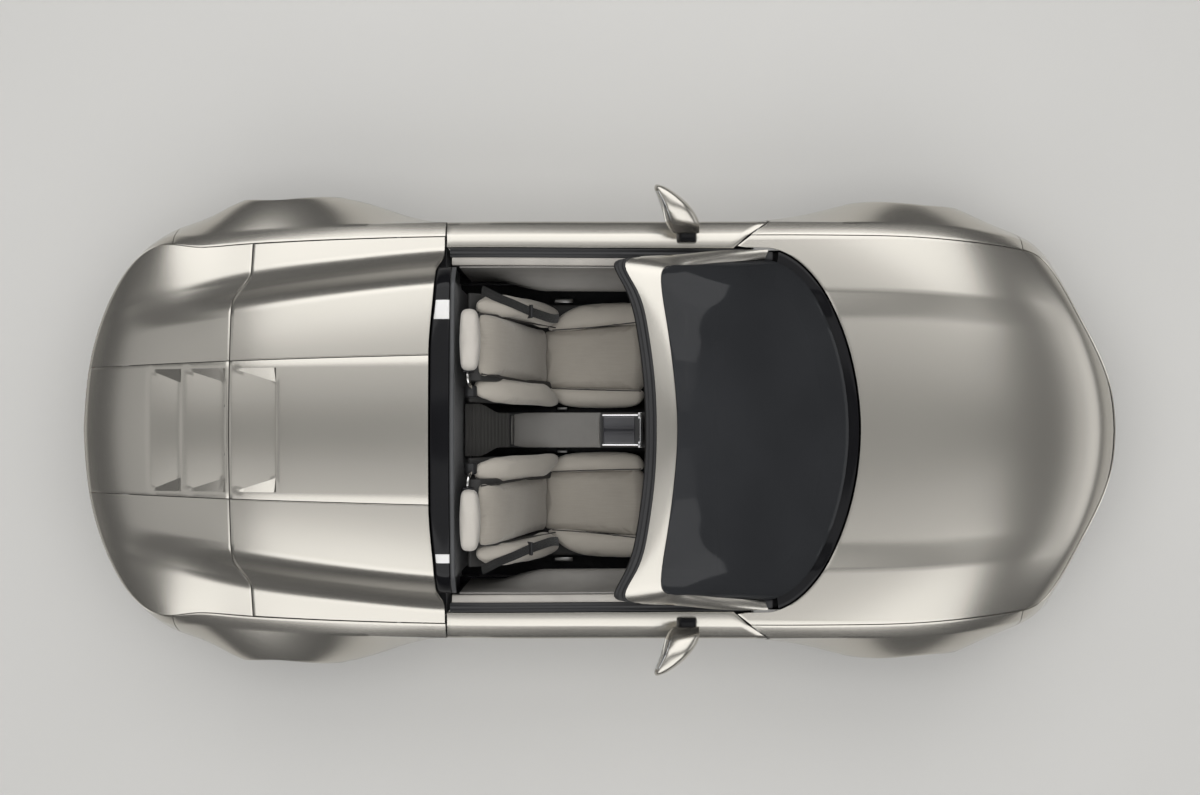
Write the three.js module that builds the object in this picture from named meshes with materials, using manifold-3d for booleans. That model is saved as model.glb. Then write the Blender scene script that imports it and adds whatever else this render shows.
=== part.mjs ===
// An open two-seat sports car: body panels, cabin, wheels, steering, doors and lids.
// Millimetres. +X is forward, +Y is the car's left, +Z is up, and z = 0 is the road.
import * as THREE from "three";
import { mergeVertices } from "three/addons/utils/BufferGeometryUtils.js";
import Module from "manifold-3d";

const wasm = await Module();
wasm.setup();

// ---- Driving dimensions ----

const wheelbase = 2568;
const frontOverhang = 988;
const rearOverhang = 964;
const bodyWidth = 1970; // over the rear flares
const frontFlareInset = 20; // each front flare stands this much inside the rear one
const panelThickness = 10;
const seamGap = 4; // between panels that are fixed to each other
const seatGap = 0.4; // between a piece and what it rests on
const shutGap = 7; // round doors and lids
const noseGap = 16; // between the bonnet's lip and the bumper, which it turns beside
const runGap = 8; // between a moving piece and the structure behind it
const archClearance = 40; // between tyre tread and wheel arch
const wheelInset = 20; // from the flare's lip in to the tyre's outer face
const frontTyre = { radius: 345, width: 255, rim: 254 };
const rearTyre = { radius: 355, width: 305, rim: 260 };
const floorHeight = 130;
const floorThickness = 30;
const sillTop = 250;
const cabinShare = 0.675; // the cabin's width as a share of the body's
const tunnelHalfWidth = 95;
const tunnelTop = 330;
const seatWidth = 466;
const seatClearance = 10; // from a seat to the tunnel
const steeringWheelRadius = 180;
const columnAngle = 25; // degrees down from the horizontal, towards the nose
const louvreDepth = 34;

const length = frontOverhang + wheelbase + rearOverhang;
const frontAxle = length / 2 - frontOverhang;
const rearAxle = frontAxle - wheelbase;
const frontWheelY = bodyWidth / 2 - frontFlareInset - wheelInset - frontTyre.width / 2;
const rearWheelY = bodyWidth / 2 - wheelInset - rearTyre.width / 2;
const cabinHalfWidth = (bodyWidth * cabinShare) / 2;
const seatCentre = tunnelHalfWidth + seatClearance + seatWidth / 2; // from the car's centre plane

// ---- Curves and tables ----

// The tables below are drawn for these axle, nose and tail places and this half width.
// along and across carry a drawn coordinate to the car's own size, and drawnX and drawnY carry it back.
const drawnPlaces = [-2260, -1296, 1272, 2260];
const carPlaces = [-length / 2, rearAxle, frontAxle, length / 2];
const drawnHalfWidth = 985;

function carried(x, from, to) {
  let i = 0;
  while (i < from.length - 2 && x > from[i + 1]) i += 1;
  const share = (x - from[i]) / (from[i + 1] - from[i]);
  return to[i] + share * (to[i + 1] - to[i]);
}

const along = (x) => carried(x, drawnPlaces, carPlaces);
const across = (y) => (y * bodyWidth) / (2 * drawnHalfWidth);
const drawnX = (x) => carried(x, carPlaces, drawnPlaces);
const drawnY = (y) => (y * 2 * drawnHalfWidth) / bodyWidth;

const mix = (a, b, t) => a + (b - a) * t;
const radians = (degrees) => (degrees * Math.PI) / 180;

function smooth(from, to, x) {
  const t = Math.min(1, Math.max(0, (x - from) / (to - from)));
  return t * t * (3 - 2 * t);
}

// A natural cubic spline through (xs, ys), straight beyond its ends.
function spline(xs, ys) {
  const n = xs.length;
  const bend = new Array(n).fill(0);
  const upper = new Array(n).fill(0);
  for (let i = 1; i < n - 1; i += 1) {
    const before = xs[i] - xs[i - 1];
    const after = xs[i + 1] - xs[i];
    const pivot = 2 * (before + after) - before * upper[i - 1];
    const jump = (ys[i + 1] - ys[i]) / after - (ys[i] - ys[i - 1]) / before;
    upper[i] = after / pivot;
    bend[i] = (6 * jump - before * bend[i - 1]) / pivot;
  }
  for (let i = n - 2; i > 0; i -= 1) bend[i] -= upper[i] * bend[i + 1];
  return (x) => {
    let i = 0;
    while (i < n - 2 && x > xs[i + 1]) i += 1;
    const h = xs[i + 1] - xs[i];
    const held = Math.min(xs[n - 1], Math.max(xs[0], x));
    const a = (xs[i + 1] - held) / h;
    const b = (held - xs[i]) / h;
    const curve = ((a ** 3 - a) * bend[i] + (b ** 3 - b) * bend[i + 1]) * (h * h) / 6;
    const slope = (ys[i + 1] - ys[i]) / h;
    const endBend = x < xs[0] ? -bend[1] * h / 6 : bend[n - 2] * h / 6;
    return a * ys[i] + b * ys[i + 1] + curve + (x - held) * (slope + endBend);
  };
}

const column = (rows, at, name) => spline(rows.map((row) => row[at]), rows.map((row) => row[name]));

function table(names, rows) {
  return rows.map((row) => Object.fromEntries(names.map((name, i) => [name, row[i]])));
}

// ---- The body's top surface, z over drawn x and y ----

const noseSweep = 0.0005; // how much the nose's height lines bend back towards the sides, per mm
const tailSweep = 0.0003;

const noseProfile = table(["reach", "z"], [
  [300, 872], [700, 872], [1000, 868], [1300, 856], [1500, 838], [1700, 806],
  [1900, 756], [2050, 700], [2150, 645], [2222, 575],
]);
const tailProfile = table(["reach", "z"], [
  [-2191, 682], [-2110, 740], [-1950, 824], [-1700, 925],
  [-1400, 1015], [-1050, 1075], [-650, 1105], [-300, 1110],
]);
// The front fender's crest: where its crease runs, and how high it stands above the bonnet's own line.
const fenderCrest = table(["x", "y", "rise"], [
  [600, 580, 14], [918, 575, 14], [1366, 567, 13], [1640, 552, 10],
  [1815, 542, 5], [1960, 530, 0], [2222, 500, 0],
]);
const crestWidth = 110; // from the crest in to where the bonnet starts to rise to it
const crestCurve = 1.3; // the power that makes the rise to the crest hollow
const crestFall = 0.1 / 230; // how fast the fender falls outside its crest, as a share of the rise per mm
// The buttress flank: its middle line, half its width, and how far the haunch lies below the deck.
// crown: how far the deck falls from the centre to the flank. fall: the haunch's slope outside it.
const buttress = table(["x", "y", "half", "drop", "crown", "fall"], [
  [-2191, 430, 80, 0, 4, 0], [-1960, 475, 90, 8, 8, 0.05], [-1760, 518, 96, 38, 12, 0.08],
  [-1580, 548, 100, 70, 18, 0.12], [-1400, 576, 100, 90, 22, 0.12], [-1047, 619, 95, 108, 28, 0.12],
  [-650, 656, 92, 120, 30, 0.12], [-300, 668, 92, 125, 30, 0.12],
]);
const crownHalf = 530; // the distance from the centre at which the deck's crown is measured

const noseZ = column(noseProfile, "reach", "z");
const tailZ = column(tailProfile, "reach", "z");
const crestY = column(fenderCrest, "x", "y");
const crestRise = column(fenderCrest, "x", "rise");
const flankY = column(buttress, "x", "y");
const flankHalf = column(buttress, "x", "half");
const flankDrop = column(buttress, "x", "drop");
const deckCrown = column(buttress, "x", "crown");
const haunchFall = column(buttress, "x", "fall");

function frontHeight(x, y) {
  const crest = crestY(x);
  const inside = Math.max(0, (y - crest + crestWidth) / crestWidth) ** crestCurve;
  const rise = y < crest ? inside : 1 - crestFall * (y - crest);
  return noseZ(x + noseSweep * y * y) + crestRise(x) * rise;
}

function rearHeight(x, y) {
  const middle = flankY(x);
  const half = flankHalf(x);
  const outside = smooth(middle - half, middle + half, y);
  const crown = deckCrown(x) * (Math.min(y, middle) / crownHalf) ** 2;
  const fall = haunchFall(x) * Math.max(0, y - middle - half / 2);
  return tailZ(x - tailSweep * y * y) - crown - flankDrop(x) * outside - fall;
}

function topHeight(x, y) {
  const dx = drawnX(x);
  const dy = Math.abs(drawnY(y));
  const front = smooth(-550, 450, dx);
  if (front === 0) return rearHeight(dx, dy);
  if (front === 1) return frontHeight(dx, dy);
  return mix(rearHeight(dx, dy), frontHeight(dx, dy), front);
}

// ---- The body's wall ----

// One row a station, from the middle of the tail round the left side to the middle of the nose.
// x, y: the wall's upper edge in plan. turn: the way its profile faces, in degrees from the nose.
// creaseOut, creaseDrop: the shoulder crease, out from that edge and below it.
// wideOut, wideZ: the widest place. footOut, footZ: the lower edge.
const wallTable = table(
  ["x", "y", "turn", "creaseOut", "creaseDrop", "wideOut", "wideZ", "footOut", "footZ"],
  [
    [-2186, 0, 180, 12, 55, 54, 440, 20, 210],
    [-2158, 290, 170, 12, 55, 50, 440, 18, 210],
    [-2052, 590, 146, 12, 58, 42, 450, 8, 210],
    [-1952, 722, 122, 16, 60, 42, 490, -10, 200],
    [-1845, 776, 102, 32, 44, 70, 560, -20, 190],
    [-1700, 765, 90, 50, 34, 132, 620, 10, 170],
    [-1560, 767, 90, 56, 30, 186, 670, 60, 160],
    [-1441, 773, 90, 56, 28, 222, 695, 90, 150],
    [-1296, 777, 90, 58, 28, 236, 705, 100, 150],
    [-1130, 781, 90, 59, 28, 208, 695, 90, 150],
    [-980, 784, 90, 60, 28, 175, 670, 70, 150],
    [-830, 787, 90, 60, 29, 126, 640, 50, 150],
    [-690, 789, 90, 61, 31, 96, 610, 45, 150],
    [-300, 793, 90, 62, 34, 86, 600, 45, 150],
    [150, 797, 90, 61, 34, 86, 600, 45, 150],
    [600, 801, 90, 58, 31, 86, 610, 45, 150],
    [820, 802, 90, 56, 29, 106, 630, 50, 150],
    [1035, 802, 90, 56, 28, 154, 650, 70, 150],
    [1272, 800, 90, 57, 28, 196, 670, 90, 150],
    [1466, 791, 90, 58, 29, 174, 640, 70, 150],
    [1640, 778, 90, 56, 33, 120, 600, 30, 160],
    [1780, 763, 86, 48, 42, 88, 540, 0, 180],
    [1870, 738, 70, 34, 58, 68, 500, -16, 190],
    [1950, 655, 48, 24, 55, 56, 460, -10, 190],
    [2035, 510, 32, 18, 50, 44, 440, 0, 190],
    [2130, 346, 26, 15, 48, 34, 430, 6, 190],
    [2199, 190, 14, 12, 48, 26, 430, 10, 190],
    [2222, 0, 0, 12, 48, 28, 430, 12, 190],
  ],
);

const wall = {};
{
  const chord = [0];
  for (let i = 1; i < wallTable.length; i += 1) {
    const [a, b] = [wallTable[i - 1], wallTable[i]];
    chord.push(chord[i - 1] + Math.hypot(b.x - a.x, b.y - a.y));
  }
  for (const name of Object.keys(wallTable[0])) {
    wall[name] = spline(chord, wallTable.map((row) => row[name]));
  }
  wall.end = chord.at(-1);
}

// The place along the wall, from 0 at the tail to wall.end at the nose, where its upper edge has this x.
function wallAt(x) {
  let low = 0;
  let high = wall.end;
  for (let i = 0; i < 50; i += 1) {
    const middle = (low + high) / 2;
    if (along(wall.x(middle)) < x) low = middle;
    else high = middle;
  }
  return (low + high) / 2;
}

const creaseRow = 0.2;
const wideRow = 0.6;
const bandCurve = 0.2;
const flareCurve = 1.4; // how much the band above the crease rounds over

// The wall's profile at a place: how far out and how high, for v from 0 at the upper edge to 1 at the foot.
function wallProfile(place, v) {
  const creaseOut = wall.creaseOut(place);
  const top = topHeight(along(wall.x(place)), across(wall.y(place)));
  const creaseZ = top - wall.creaseDrop(place);
  const wideOut = wall.wideOut(place);
  const wideZ = wall.wideZ(place);
  if (v <= creaseRow) {
    const t = v / creaseRow;
    return { out: creaseOut * t, z: mix(top, creaseZ, t * (1 - bandCurve + bandCurve * t)) };
  }
  if (v <= wideRow) {
    const t = (v - creaseRow) / (wideRow - creaseRow);
    return { out: mix(wideOut, creaseOut, (1 - t) ** flareCurve), z: mix(creaseZ, wideZ, t) };
  }
  const t = (v - wideRow) / (1 - wideRow);
  return { out: mix(wideOut, wall.footOut(place), t * t), z: mix(wideZ, wall.footZ(place), t) };
}

// A point of the wall, on the left for side = 1 and on the right for side = -1, sunk in by depth.
function wallPoint(place, v, depth = 0, side = 1, gap = 0) {
  const { out, z } = wallProfile(place, v);
  const turn = radians(wall.turn(place));
  const lean = Math.min(1, v / creaseRow) * (Math.PI / 2);
  const reach = across(out) + gap - depth * Math.sin(lean);
  const x = along(wall.x(place)) + reach * Math.cos(turn);
  const y = across(wall.y(place)) + reach * Math.sin(turn);
  return new THREE.Vector3(x, side * y, z - depth * Math.cos(lean));
}

// The v at which the wall passes a height, below the crease.
function wallRowAtHeight(place, z) {
  let low = creaseRow;
  let high = 1;
  for (let i = 0; i < 40; i += 1) {
    const middle = (low + high) / 2;
    if (wallProfile(place, middle).z > z) low = middle;
    else high = middle;
  }
  return (low + high) / 2;
}

// ---- Solids ----

function closedSolid(points, faces) {
  const volume = faces.reduce((sum, [a, b, c]) => {
    const cross = new THREE.Vector3().crossVectors(points[b], points[c]);
    return sum + points[a].dot(cross);
  }, 0);
  const geometry = new THREE.BufferGeometry();
  const position = new Float32Array(points.flatMap((p) => [p.x, p.y, p.z]));
  geometry.setAttribute("position", new THREE.BufferAttribute(position, 3));
  geometry.setIndex(faces.flatMap(([a, b, c]) => (volume > 0 ? [a, b, c] : [a, c, b])));
  return geometry;
}

// A closed solid between two surfaces over the same grid. Each is a function of a column and a row number.
function slab(outer, inner, columns, rows) {
  const points = [];
  const faces = [];
  const index = (layer, i, j) => (layer * (columns + 1) + i) * (rows + 1) + j;
  for (const surface of [outer, inner]) {
    for (let i = 0; i <= columns; i += 1) {
      for (let j = 0; j <= rows; j += 1) points.push(surface(i, j));
    }
  }
  const quad = (a, b, c, d) => faces.push([a, b, c], [a, c, d]);
  for (let i = 0; i < columns; i += 1) {
    for (let j = 0; j < rows; j += 1) {
      quad(index(0, i, j), index(0, i + 1, j), index(0, i + 1, j + 1), index(0, i, j + 1));
      quad(index(1, i, j), index(1, i, j + 1), index(1, i + 1, j + 1), index(1, i + 1, j));
    }
    quad(index(0, i, 0), index(1, i, 0), index(1, i + 1, 0), index(0, i + 1, 0));
    quad(index(0, i, rows), index(0, i + 1, rows), index(1, i + 1, rows), index(1, i, rows));
  }
  for (let j = 0; j < rows; j += 1) {
    quad(index(0, 0, j), index(0, 0, j + 1), index(1, 0, j + 1), index(1, 0, j));
    quad(index(0, columns, j), index(1, columns, j), index(1, columns, j + 1), index(0, columns, j + 1));
  }
  return closedSolid(points, faces);
}

// A closed solid through a row of sections, each a closed loop of as many points.
function loft(sections) {
  const points = sections.flat();
  const around = sections[0].length;
  const faces = [];
  for (let i = 0; i + 1 < sections.length; i += 1) {
    for (let j = 0; j < around; j += 1) {
      const k = (j + 1) % around;
      const [a, b] = [i * around, (i + 1) * around];
      faces.push([a + j, b + j, b + k], [a + j, b + k, a + k]);
    }
  }
  const last = (sections.length - 1) * around;
  for (let j = 1; j + 1 < around; j += 1) {
    faces.push([0, j, j + 1], [last, last + j + 1, last + j]);
  }
  return closedSolid(points, faces);
}

function manifoldOf(geometry) {
  const bare = geometry.clone();
  bare.deleteAttribute("normal");
  bare.deleteAttribute("uv");
  const merged = mergeVertices(bare, 1e-3);
  const vertProperties = new Float32Array(merged.attributes.position.array);
  const triVerts = new Uint32Array(merged.index.array);
  return new wasm.Manifold(new wasm.Mesh({ numProp: 3, vertProperties, triVerts }));
}

function geometryOf(solid) {
  const mesh = solid.getMesh();
  const geometry = new THREE.BufferGeometry();
  geometry.setAttribute("position", new THREE.BufferAttribute(mesh.vertProperties, 3));
  geometry.setIndex(new THREE.BufferAttribute(mesh.triVerts, 1));
  return geometry;
}

const joined = (pieces) => geometryOf(pieces.map(manifoldOf).reduce((a, b) => a.add(b)));

function cutBy(piece, tools) {
  return geometryOf(tools.map(manifoldOf).reduce((a, b) => a.subtract(b), manifoldOf(piece)));
}

function box(x0, x1, y0, y1, z0, z1) {
  const geometry = new THREE.BoxGeometry(Math.abs(x1 - x0), Math.abs(y1 - y0), Math.abs(z1 - z0));
  return geometry.translate((x0 + x1) / 2, (y0 + y1) / 2, (z0 + z1) / 2);
}

// A cylinder along Y, with its ends at y0 and y1.
function rod(x, z, radius, y0, y1, sides = 16) {
  const geometry = new THREE.CylinderGeometry(radius, radius, Math.abs(y1 - y0), sides);
  return geometry.translate(x, (y0 + y1) / 2, z);
}

// An upright cylinder.
function post(x, y, radius, z0, z1, sides = 12) {
  const geometry = new THREE.CylinderGeometry(radius, radius, z1 - z0, sides).rotateX(Math.PI / 2);
  return geometry.translate(x, y, (z0 + z1) / 2);
}

const even = (n) => Array.from({ length: n + 1 }, (_, i) => i / n);
const bothSides = (y0, y1) => [[y0, y1], [-y1, -y0]];

// ---- Finishes ----

const finish = (color, roughness, metalness) =>
  new THREE.MeshStandardMaterial({ color, roughness, metalness });
const bodyPaint = () => finish(0xb9b5ac, 0.3, 0.8);
const glossBlack = () => finish(0x141418, 0.12, 0.1);
const mattBlack = () => finish(0x232325, 0.75, 0.1);
const darkSteel = () => finish(0x55565a, 0.5, 0.8);
const trimCloth = () => finish(0x8f887c, 0.9, 0);
const darkTrim = () => finish(0x4a4846, 0.8, 0);
const rubber = () => finish(0x1b1b1c, 0.9, 0);
const alloy = () => finish(0x9c9c9e, 0.35, 0.9);
const clearGlass = () => finish(0x35383a, 0.08, 0);
const lampGlass = () => finish(0xd8dadc, 0.1, 0.1);
const redGlass = () => finish(0x8c1414, 0.15, 0.1);

const car = new THREE.Group();

function addNode(name, geometry, material, parent = car) {
  const mesh = new THREE.Mesh(geometry, material);
  mesh.name = name;
  parent.add(mesh);
  return mesh;
}

// ---- Side panels ----

const bumperCut = { front: along(1790), rear: along(-1790) };

// The door's cuts in plan: x for the upper edge and for the shoulder. Below the shoulder they are upright.
const doorFrontCut = (v) => along(mix(600, 700, Math.min(1, v / creaseRow)));
const doorRearCut = () => along(-629);

// The door's slanting front edge above the shoulder passes under the fender's edge as the door opens,
// so the fender is thin there, and the door's edge stands further back and is rolled down.
const thinEdge = 3;
const doorEdgeSetback = 6;
const doorEdgeRoll = 7;

const rowsAboveCrease = [0, 0.5, 1].map((t) => t * creaseRow);

// Rows for a column that ends at lastRow: fixed down to the crease, then evenly spaced.
function rowsDownTo(lastRow, count = 6) {
  const below = even(count).slice(1).map((t) => mix(creaseRow, lastRow, t));
  return [...rowsAboveCrease, ...below];
}

// Columns for a panel that holds a wheel arch: x at the edge and the height where the column ends.
function archColumns(from, to, axle, tyre, steps = 10) {
  const radius = tyre.radius + archClearance;
  const columns = even(2).map((t) => ({ x: mix(from, axle - radius, t), endZ: null }));
  for (let i = steps - 1; i > 0; i -= 1) {
    const angle = (Math.PI * i) / steps;
    columns.push({ x: axle + radius * Math.cos(angle), endZ: tyre.radius + radius * Math.sin(angle) });
  }
  columns.push(...even(1).map((t) => ({ x: mix(axle + radius, to, t), endZ: null })));
  return columns;
}

// A side panel over the columns. edge gives a column its own x at each row, and skin its own thickness.
function sidePanel(columns, side, edge = () => null, skin = () => panelThickness) {
  const rows = columns.map(({ x, endZ }) => {
    const place = wallAt(x);
    return { place, rows: rowsDownTo(endZ === null ? 1 : wallRowAtHeight(place, endZ)) };
  });
  const surface = (depth) => (i, j) => {
    const v = rows[i].rows[j];
    const cut = edge(i, v);
    return wallPoint(cut === null ? rows[i].place : wallAt(cut), v, depth * skin(i), side, shutGap / 2);
  };
  return slab(surface(0), surface(1), columns.length - 1, rows[0].rows.length - 1);
}

function frontFender(side) {
  const [rear, front] = [doorFrontCut(1) + shutGap / 2, bumperCut.front - seamGap / 2];
  const columns = archColumns(rear, front, frontAxle, frontTyre);
  const edge = (i, v) => (i === 0 ? doorFrontCut(v) + shutGap / 2 : null);
  return sidePanel(columns, side, edge, (i) => (i === 0 ? thinEdge : panelThickness));
}

function rearQuarter(side) {
  const columns = archColumns(bumperCut.rear + seamGap / 2, doorRearCut() - shutGap / 2, rearAxle, rearTyre);
  return sidePanel(columns, side);
}

// ---- Nose and tail walls ----

// The wall from the left cut round the middle to the right cut. t runs from -1 to 1.
function roundPoint(isNose, t, v, depth, gap) {
  const middle = isNose ? wall.end : 0;
  const cut = isNose ? wallAt(bumperCut.front + seamGap / 2) : wallAt(bumperCut.rear - seamGap / 2);
  return wallPoint(mix(middle, cut, Math.abs(t)), v, depth, t < 0 ? -1 : 1, gap);
}

function roundPanel(isNose, places, depthOut, depthIn, gap, rowList) {
  const surface = (depth) => (i, j) => roundPoint(isNose, places[i], rowList[j], depth, gap);
  return slab(surface(depthOut), surface(depthIn), places.length - 1, rowList.length - 1);
}

const grilleSpan = [-0.22, 0.22];
const grilleRows = [0.5, 0.92];
const headlampSpan = [0.62, 0.86];
const headlampRows = [0.22, 0.42];
const tailLampSpan = [-0.84, 0.84];
const tailLampRows = [0.3, 0.38];
const lampDepth = 24;
const lampGap = 2.5; // all round a lamp or grille

const rowsBetween = ([a, b], count) => even(count).map((t) => mix(a, b, t));

// Places round a bumper from one cut to the other, closest together at the corners.
const bumperPlaces = even(18).map((t) => {
  const share = 2 * t - 1;
  return Math.sign(share) * (1 - (1 - Math.abs(share)) ** 1.4);
});

// The hole for a lamp or grille, wider than it by the seam on every side.
function roundHole(isNose, span, rows, columns) {
  const wallLength = 1200;
  const wallHeight = 480;
  const wider = [span[0] - lampGap / wallLength, span[1] + lampGap / wallLength];
  const taller = [rows[0] - lampGap / wallHeight, rows[1] + lampGap / wallHeight];
  const [from, to] = [-30, lampDepth + 30];
  return roundPanel(isNose, rowsBetween(wider, columns), from, to, shutGap / 2, rowsBetween(taller, 2));
}

const mirrored = (span) => [-span[1], -span[0]];

function frontBumper() {
  const shell = roundPanel(true, bumperPlaces, 0, panelThickness, shutGap / 2, rowsDownTo(1, 4));
  return cutBy(shell, [
    roundHole(true, grilleSpan, grilleRows, 6),
    roundHole(true, headlampSpan, headlampRows, 4),
    roundHole(true, mirrored(headlampSpan), headlampRows, 4),
  ]);
}

function rearBumper() {
  const shell = roundPanel(false, bumperPlaces, 0, panelThickness, shutGap / 2, rowsDownTo(1, 4));
  return cutBy(shell, [roundHole(false, tailLampSpan, tailLampRows, 14)]);
}

const lamp = (isNose, span, rows, columns) =>
  roundPanel(isNose, rowsBetween(span, columns), 0, lampDepth, shutGap / 2, rowsBetween(rows, 2));

// ---- Top panels ----

const topPoint = (x, y, depth) => new THREE.Vector3(x, y, topHeight(x, y) - depth);

// A panel of the top surface over a four-sided plan, each side a function of 0 to 1 that gives [x, y].
// near and far run across the car, left and right run along it.
function topPanel(near, far, left, right, columns, rows, bias = (t) => t) {
  const corner = [near(0), near(1), far(0), far(1)];
  const plan = (u, v) => [0, 1].map((k) => {
    const between = mix(near(u)[k], far(u)[k], v) + mix(left(v)[k], right(v)[k], u);
    const flat = mix(mix(corner[0][k], corner[1][k], u), mix(corner[2][k], corner[3][k], u), v);
    return between - flat;
  });
  const surface = (depth) => (i, j) => {
    const [x, y] = plan(i / columns, bias(j / rows));
    return topPoint(x, y, depth);
  };
  return slab(surface(0), surface(panelThickness), columns, rows);
}

// The wall's upper edge in plan, set in by inset, on either side.
function edgePlan(place, side, inset = 0) {
  const point = wallPoint(place, 0, 0, side, -inset);
  return [point.x, point.y];
}

// The bonnet's rear edge: half a superellipse round the windscreen's foot.
const screenFoot = { centre: 680, reach: 390, halfWidth: 744, power: 1.9 };

function screenFootPoint(t, grow = 0) {
  const angle = (Math.PI / 2) * t;
  const { centre, reach, halfWidth, power } = screenFoot;
  const x = along(centre) + (reach + grow) * Math.abs(Math.cos(angle)) ** (2 / power);
  const y = Math.sign(t) * (across(halfWidth) + grow) * Math.abs(Math.sin(angle)) ** (2 / power);
  return [x, y];
}

const hoodCorner = along(1850);
const hoodInnerCorner = 752; // how far from the centre plane the bonnet's rear edge leaves the pillar

// The bonnet's rear edge round the windscreen's foot, for t from 1 at the left door to -1 at the right.
function hoodRear(t) {
  const side = Math.sign(t) || 1;
  const start = edgePlan(wallAt(doorFrontCut(0) + shutGap / 2), side, shutGap / 2);
  const inner = [start[0] + 12, side * across(hoodInnerCorner)];
  const share = Math.abs(t);
  if (share > 0.95) return [0, 1].map((k) => mix(inner[k], start[k], (share - 0.95) / 0.05));
  const foot = screenFootPoint(side, shutGap);
  if (share > 0.9) return [0, 1].map((k) => mix(foot[k], inner[k], (share - 0.9) / 0.05));
  return screenFootPoint(t / 0.9, shutGap);
}

function hoodShell() {
  const startPlace = wallAt(doorFrontCut(0) + shutGap / 2);
  const cornerPlace = wallAt(hoodCorner);
  const noseInset = noseGap - shutGap / 2;
  const rear = (u) => hoodRear(1 - 2 * u);
  const front = (u) => {
    const share = Math.abs(1 - 2 * u);
    const inset = mix(noseInset, shutGap / 2, share ** 2);
    return edgePlan(mix(wall.end, cornerPlace, share), u > 0.5 ? -1 : 1, inset);
  };
  const sideEdge = (side) => (v) => edgePlan(mix(startPlace, cornerPlace, v), side, shutGap / 2);
  return topPanel(rear, front, sideEdge(1), sideEdge(-1), 16, 12);
}

// The deck's cross seam, the strip's seams and the deck's front edge behind the cabin, in plan.
const deckCutX = (y) => along(-1500 + 60 * smooth(520, 650, Math.abs(drawnY(y))));
function deckFrontX(y) {
  const dy = Math.abs(drawnY(y));
  return along(-681 + 20 * smooth(300, 640, dy) + 28 * smooth(640, 720, dy));
}
const stripHalf = (x) => across(mix(264, 297, (drawnX(x) + 2150) / 1460));

const tailCorner = along(-1850);

function deckSide(side) {
  const rearPlace = wallAt(deckCutX(across(773)) + shutGap);
  const frontPlace = wallAt(deckFrontX(across(790)));
  const outer = (v) => edgePlan(mix(frontPlace, rearPlace, v), side, shutGap / 2);
  const strip = (v) => {
    const x = mix(deckFrontX(across(297)), deckCutX(0) + shutGap, v);
    return [x, side * (stripHalf(x) + seamGap / 2)];
  };
  const front = (u) => {
    const y = mix(outer(0)[1], strip(0)[1], u);
    return [deckFrontX(y), y];
  };
  const rear = (u) => {
    const y = mix(outer(1)[1], strip(1)[1], u);
    return [deckCutX(y) + shutGap, y];
  };
  return topPanel(front, rear, outer, strip, 11, 7);
}

function tailSide(side) {
  const frontPlace = wallAt(deckCutX(across(773)));
  const cornerPlace = wallAt(tailCorner);
  const outer = (v) => edgePlan(mix(frontPlace, cornerPlace, v), side, seamInset);
  const rear = (u) => edgePlan(mix(cornerPlace, tailStripPlace(), u), side, seamInset);
  const strip = (v) => {
    const x = mix(deckCutX(0), rear(1)[0], v);
    return [x, side * mix(stripHalf(deckCutX(0)) + seamGap / 2, Math.abs(rear(1)[1]), v)];
  };
  const front = (u) => {
    const y = mix(outer(0)[1], strip(0)[1], u);
    return [deckCutX(y), y];
  };
  return topPanel(front, rear, outer, strip, 9, 8);
}

// Fixed tail panels run out to a seam's width from the wall's first row.
const seamInset = seamGap;

// The place on the tail where the strip's seam meets the edge.
function tailStripPlace() {
  let low = 0;
  let high = wallAt(tailCorner);
  for (let i = 0; i < 40; i += 1) {
    const middle = (low + high) / 2;
    if (across(wall.y(middle)) < across(264)) low = middle;
    else high = middle;
  }
  return low;
}

// ---- The centre strip and its louvres ----

const louvres = table(["front", "rear"], [[-1298, -1484], [-1516, -1704], [-1712, -1866]]);
const louvreHalf = 250;
const louvreWall = 56; // how far a louvre's side walls lean in at its front end
const louvreStep = 9;

// How much of its depth a louvre has at x: nothing at its rear end, all of it at the foot of its front step.
function louvreShare(dx) {
  const here = louvres.find(({ front, rear }) => dx > rear && dx <= front);
  return here ? Math.min(1, (dx - here.rear) / (here.front - louvreStep - here.rear)) : 0;
}

// How far the louvres sink the strip.
function louvreSink(x, y) {
  const dx = drawnX(x);
  const share = louvreShare(dx);
  if (share === 0) return 0;
  const { front } = louvres.find((louvre) => dx > louvre.rear && dx <= louvre.front);
  const inside = Math.min(1, Math.max(0, (louvreHalf - Math.abs(drawnY(y))) / (louvreWall * share)));
  return louvreDepth * share * inside * Math.min(1, (front - dx) / louvreStep);
}

// A stretch of the strip between rows given as functions of y.
function stripPanel(rowXs, halfInset) {
  const columnY = (i, x) => {
    const edge = stripHalf(x) - halfInset;
    const wallY = across(louvreHalf);
    const inner = across(louvreHalf - Math.max(louvreStep, louvreWall * louvreShare(drawnX(x))));
    return [-edge, -wallY, -inner, -inner / 2, 0, inner / 2, inner, wallY, edge][i];
  };
  const surface = (depth) => (i, j) => {
    const roughX = rowXs[j](0);
    const y = columnY(i, roughX);
    const x = rowXs[j](y);
    return new THREE.Vector3(x, y, topHeight(x, y) - louvreSink(x, y) - depth);
  };
  return slab(surface(0), surface(panelThickness), 8, rowXs.length - 1);
}

const louvreRows = ({ front, rear }) =>
  [front, front - louvreStep, mix(front, rear, 0.5), rear].map((x) => () => along(x));

function deckCentre() {
  const rows = [
    (y) => deckFrontX(y),
    ...[-800, -950, -1100, -1200].map((x) => () => along(x)),
    ...louvreRows(louvres[0]),
    () => deckCutX(0) + shutGap,
  ];
  return stripPanel(rows, seamGap / 2);
}

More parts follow.
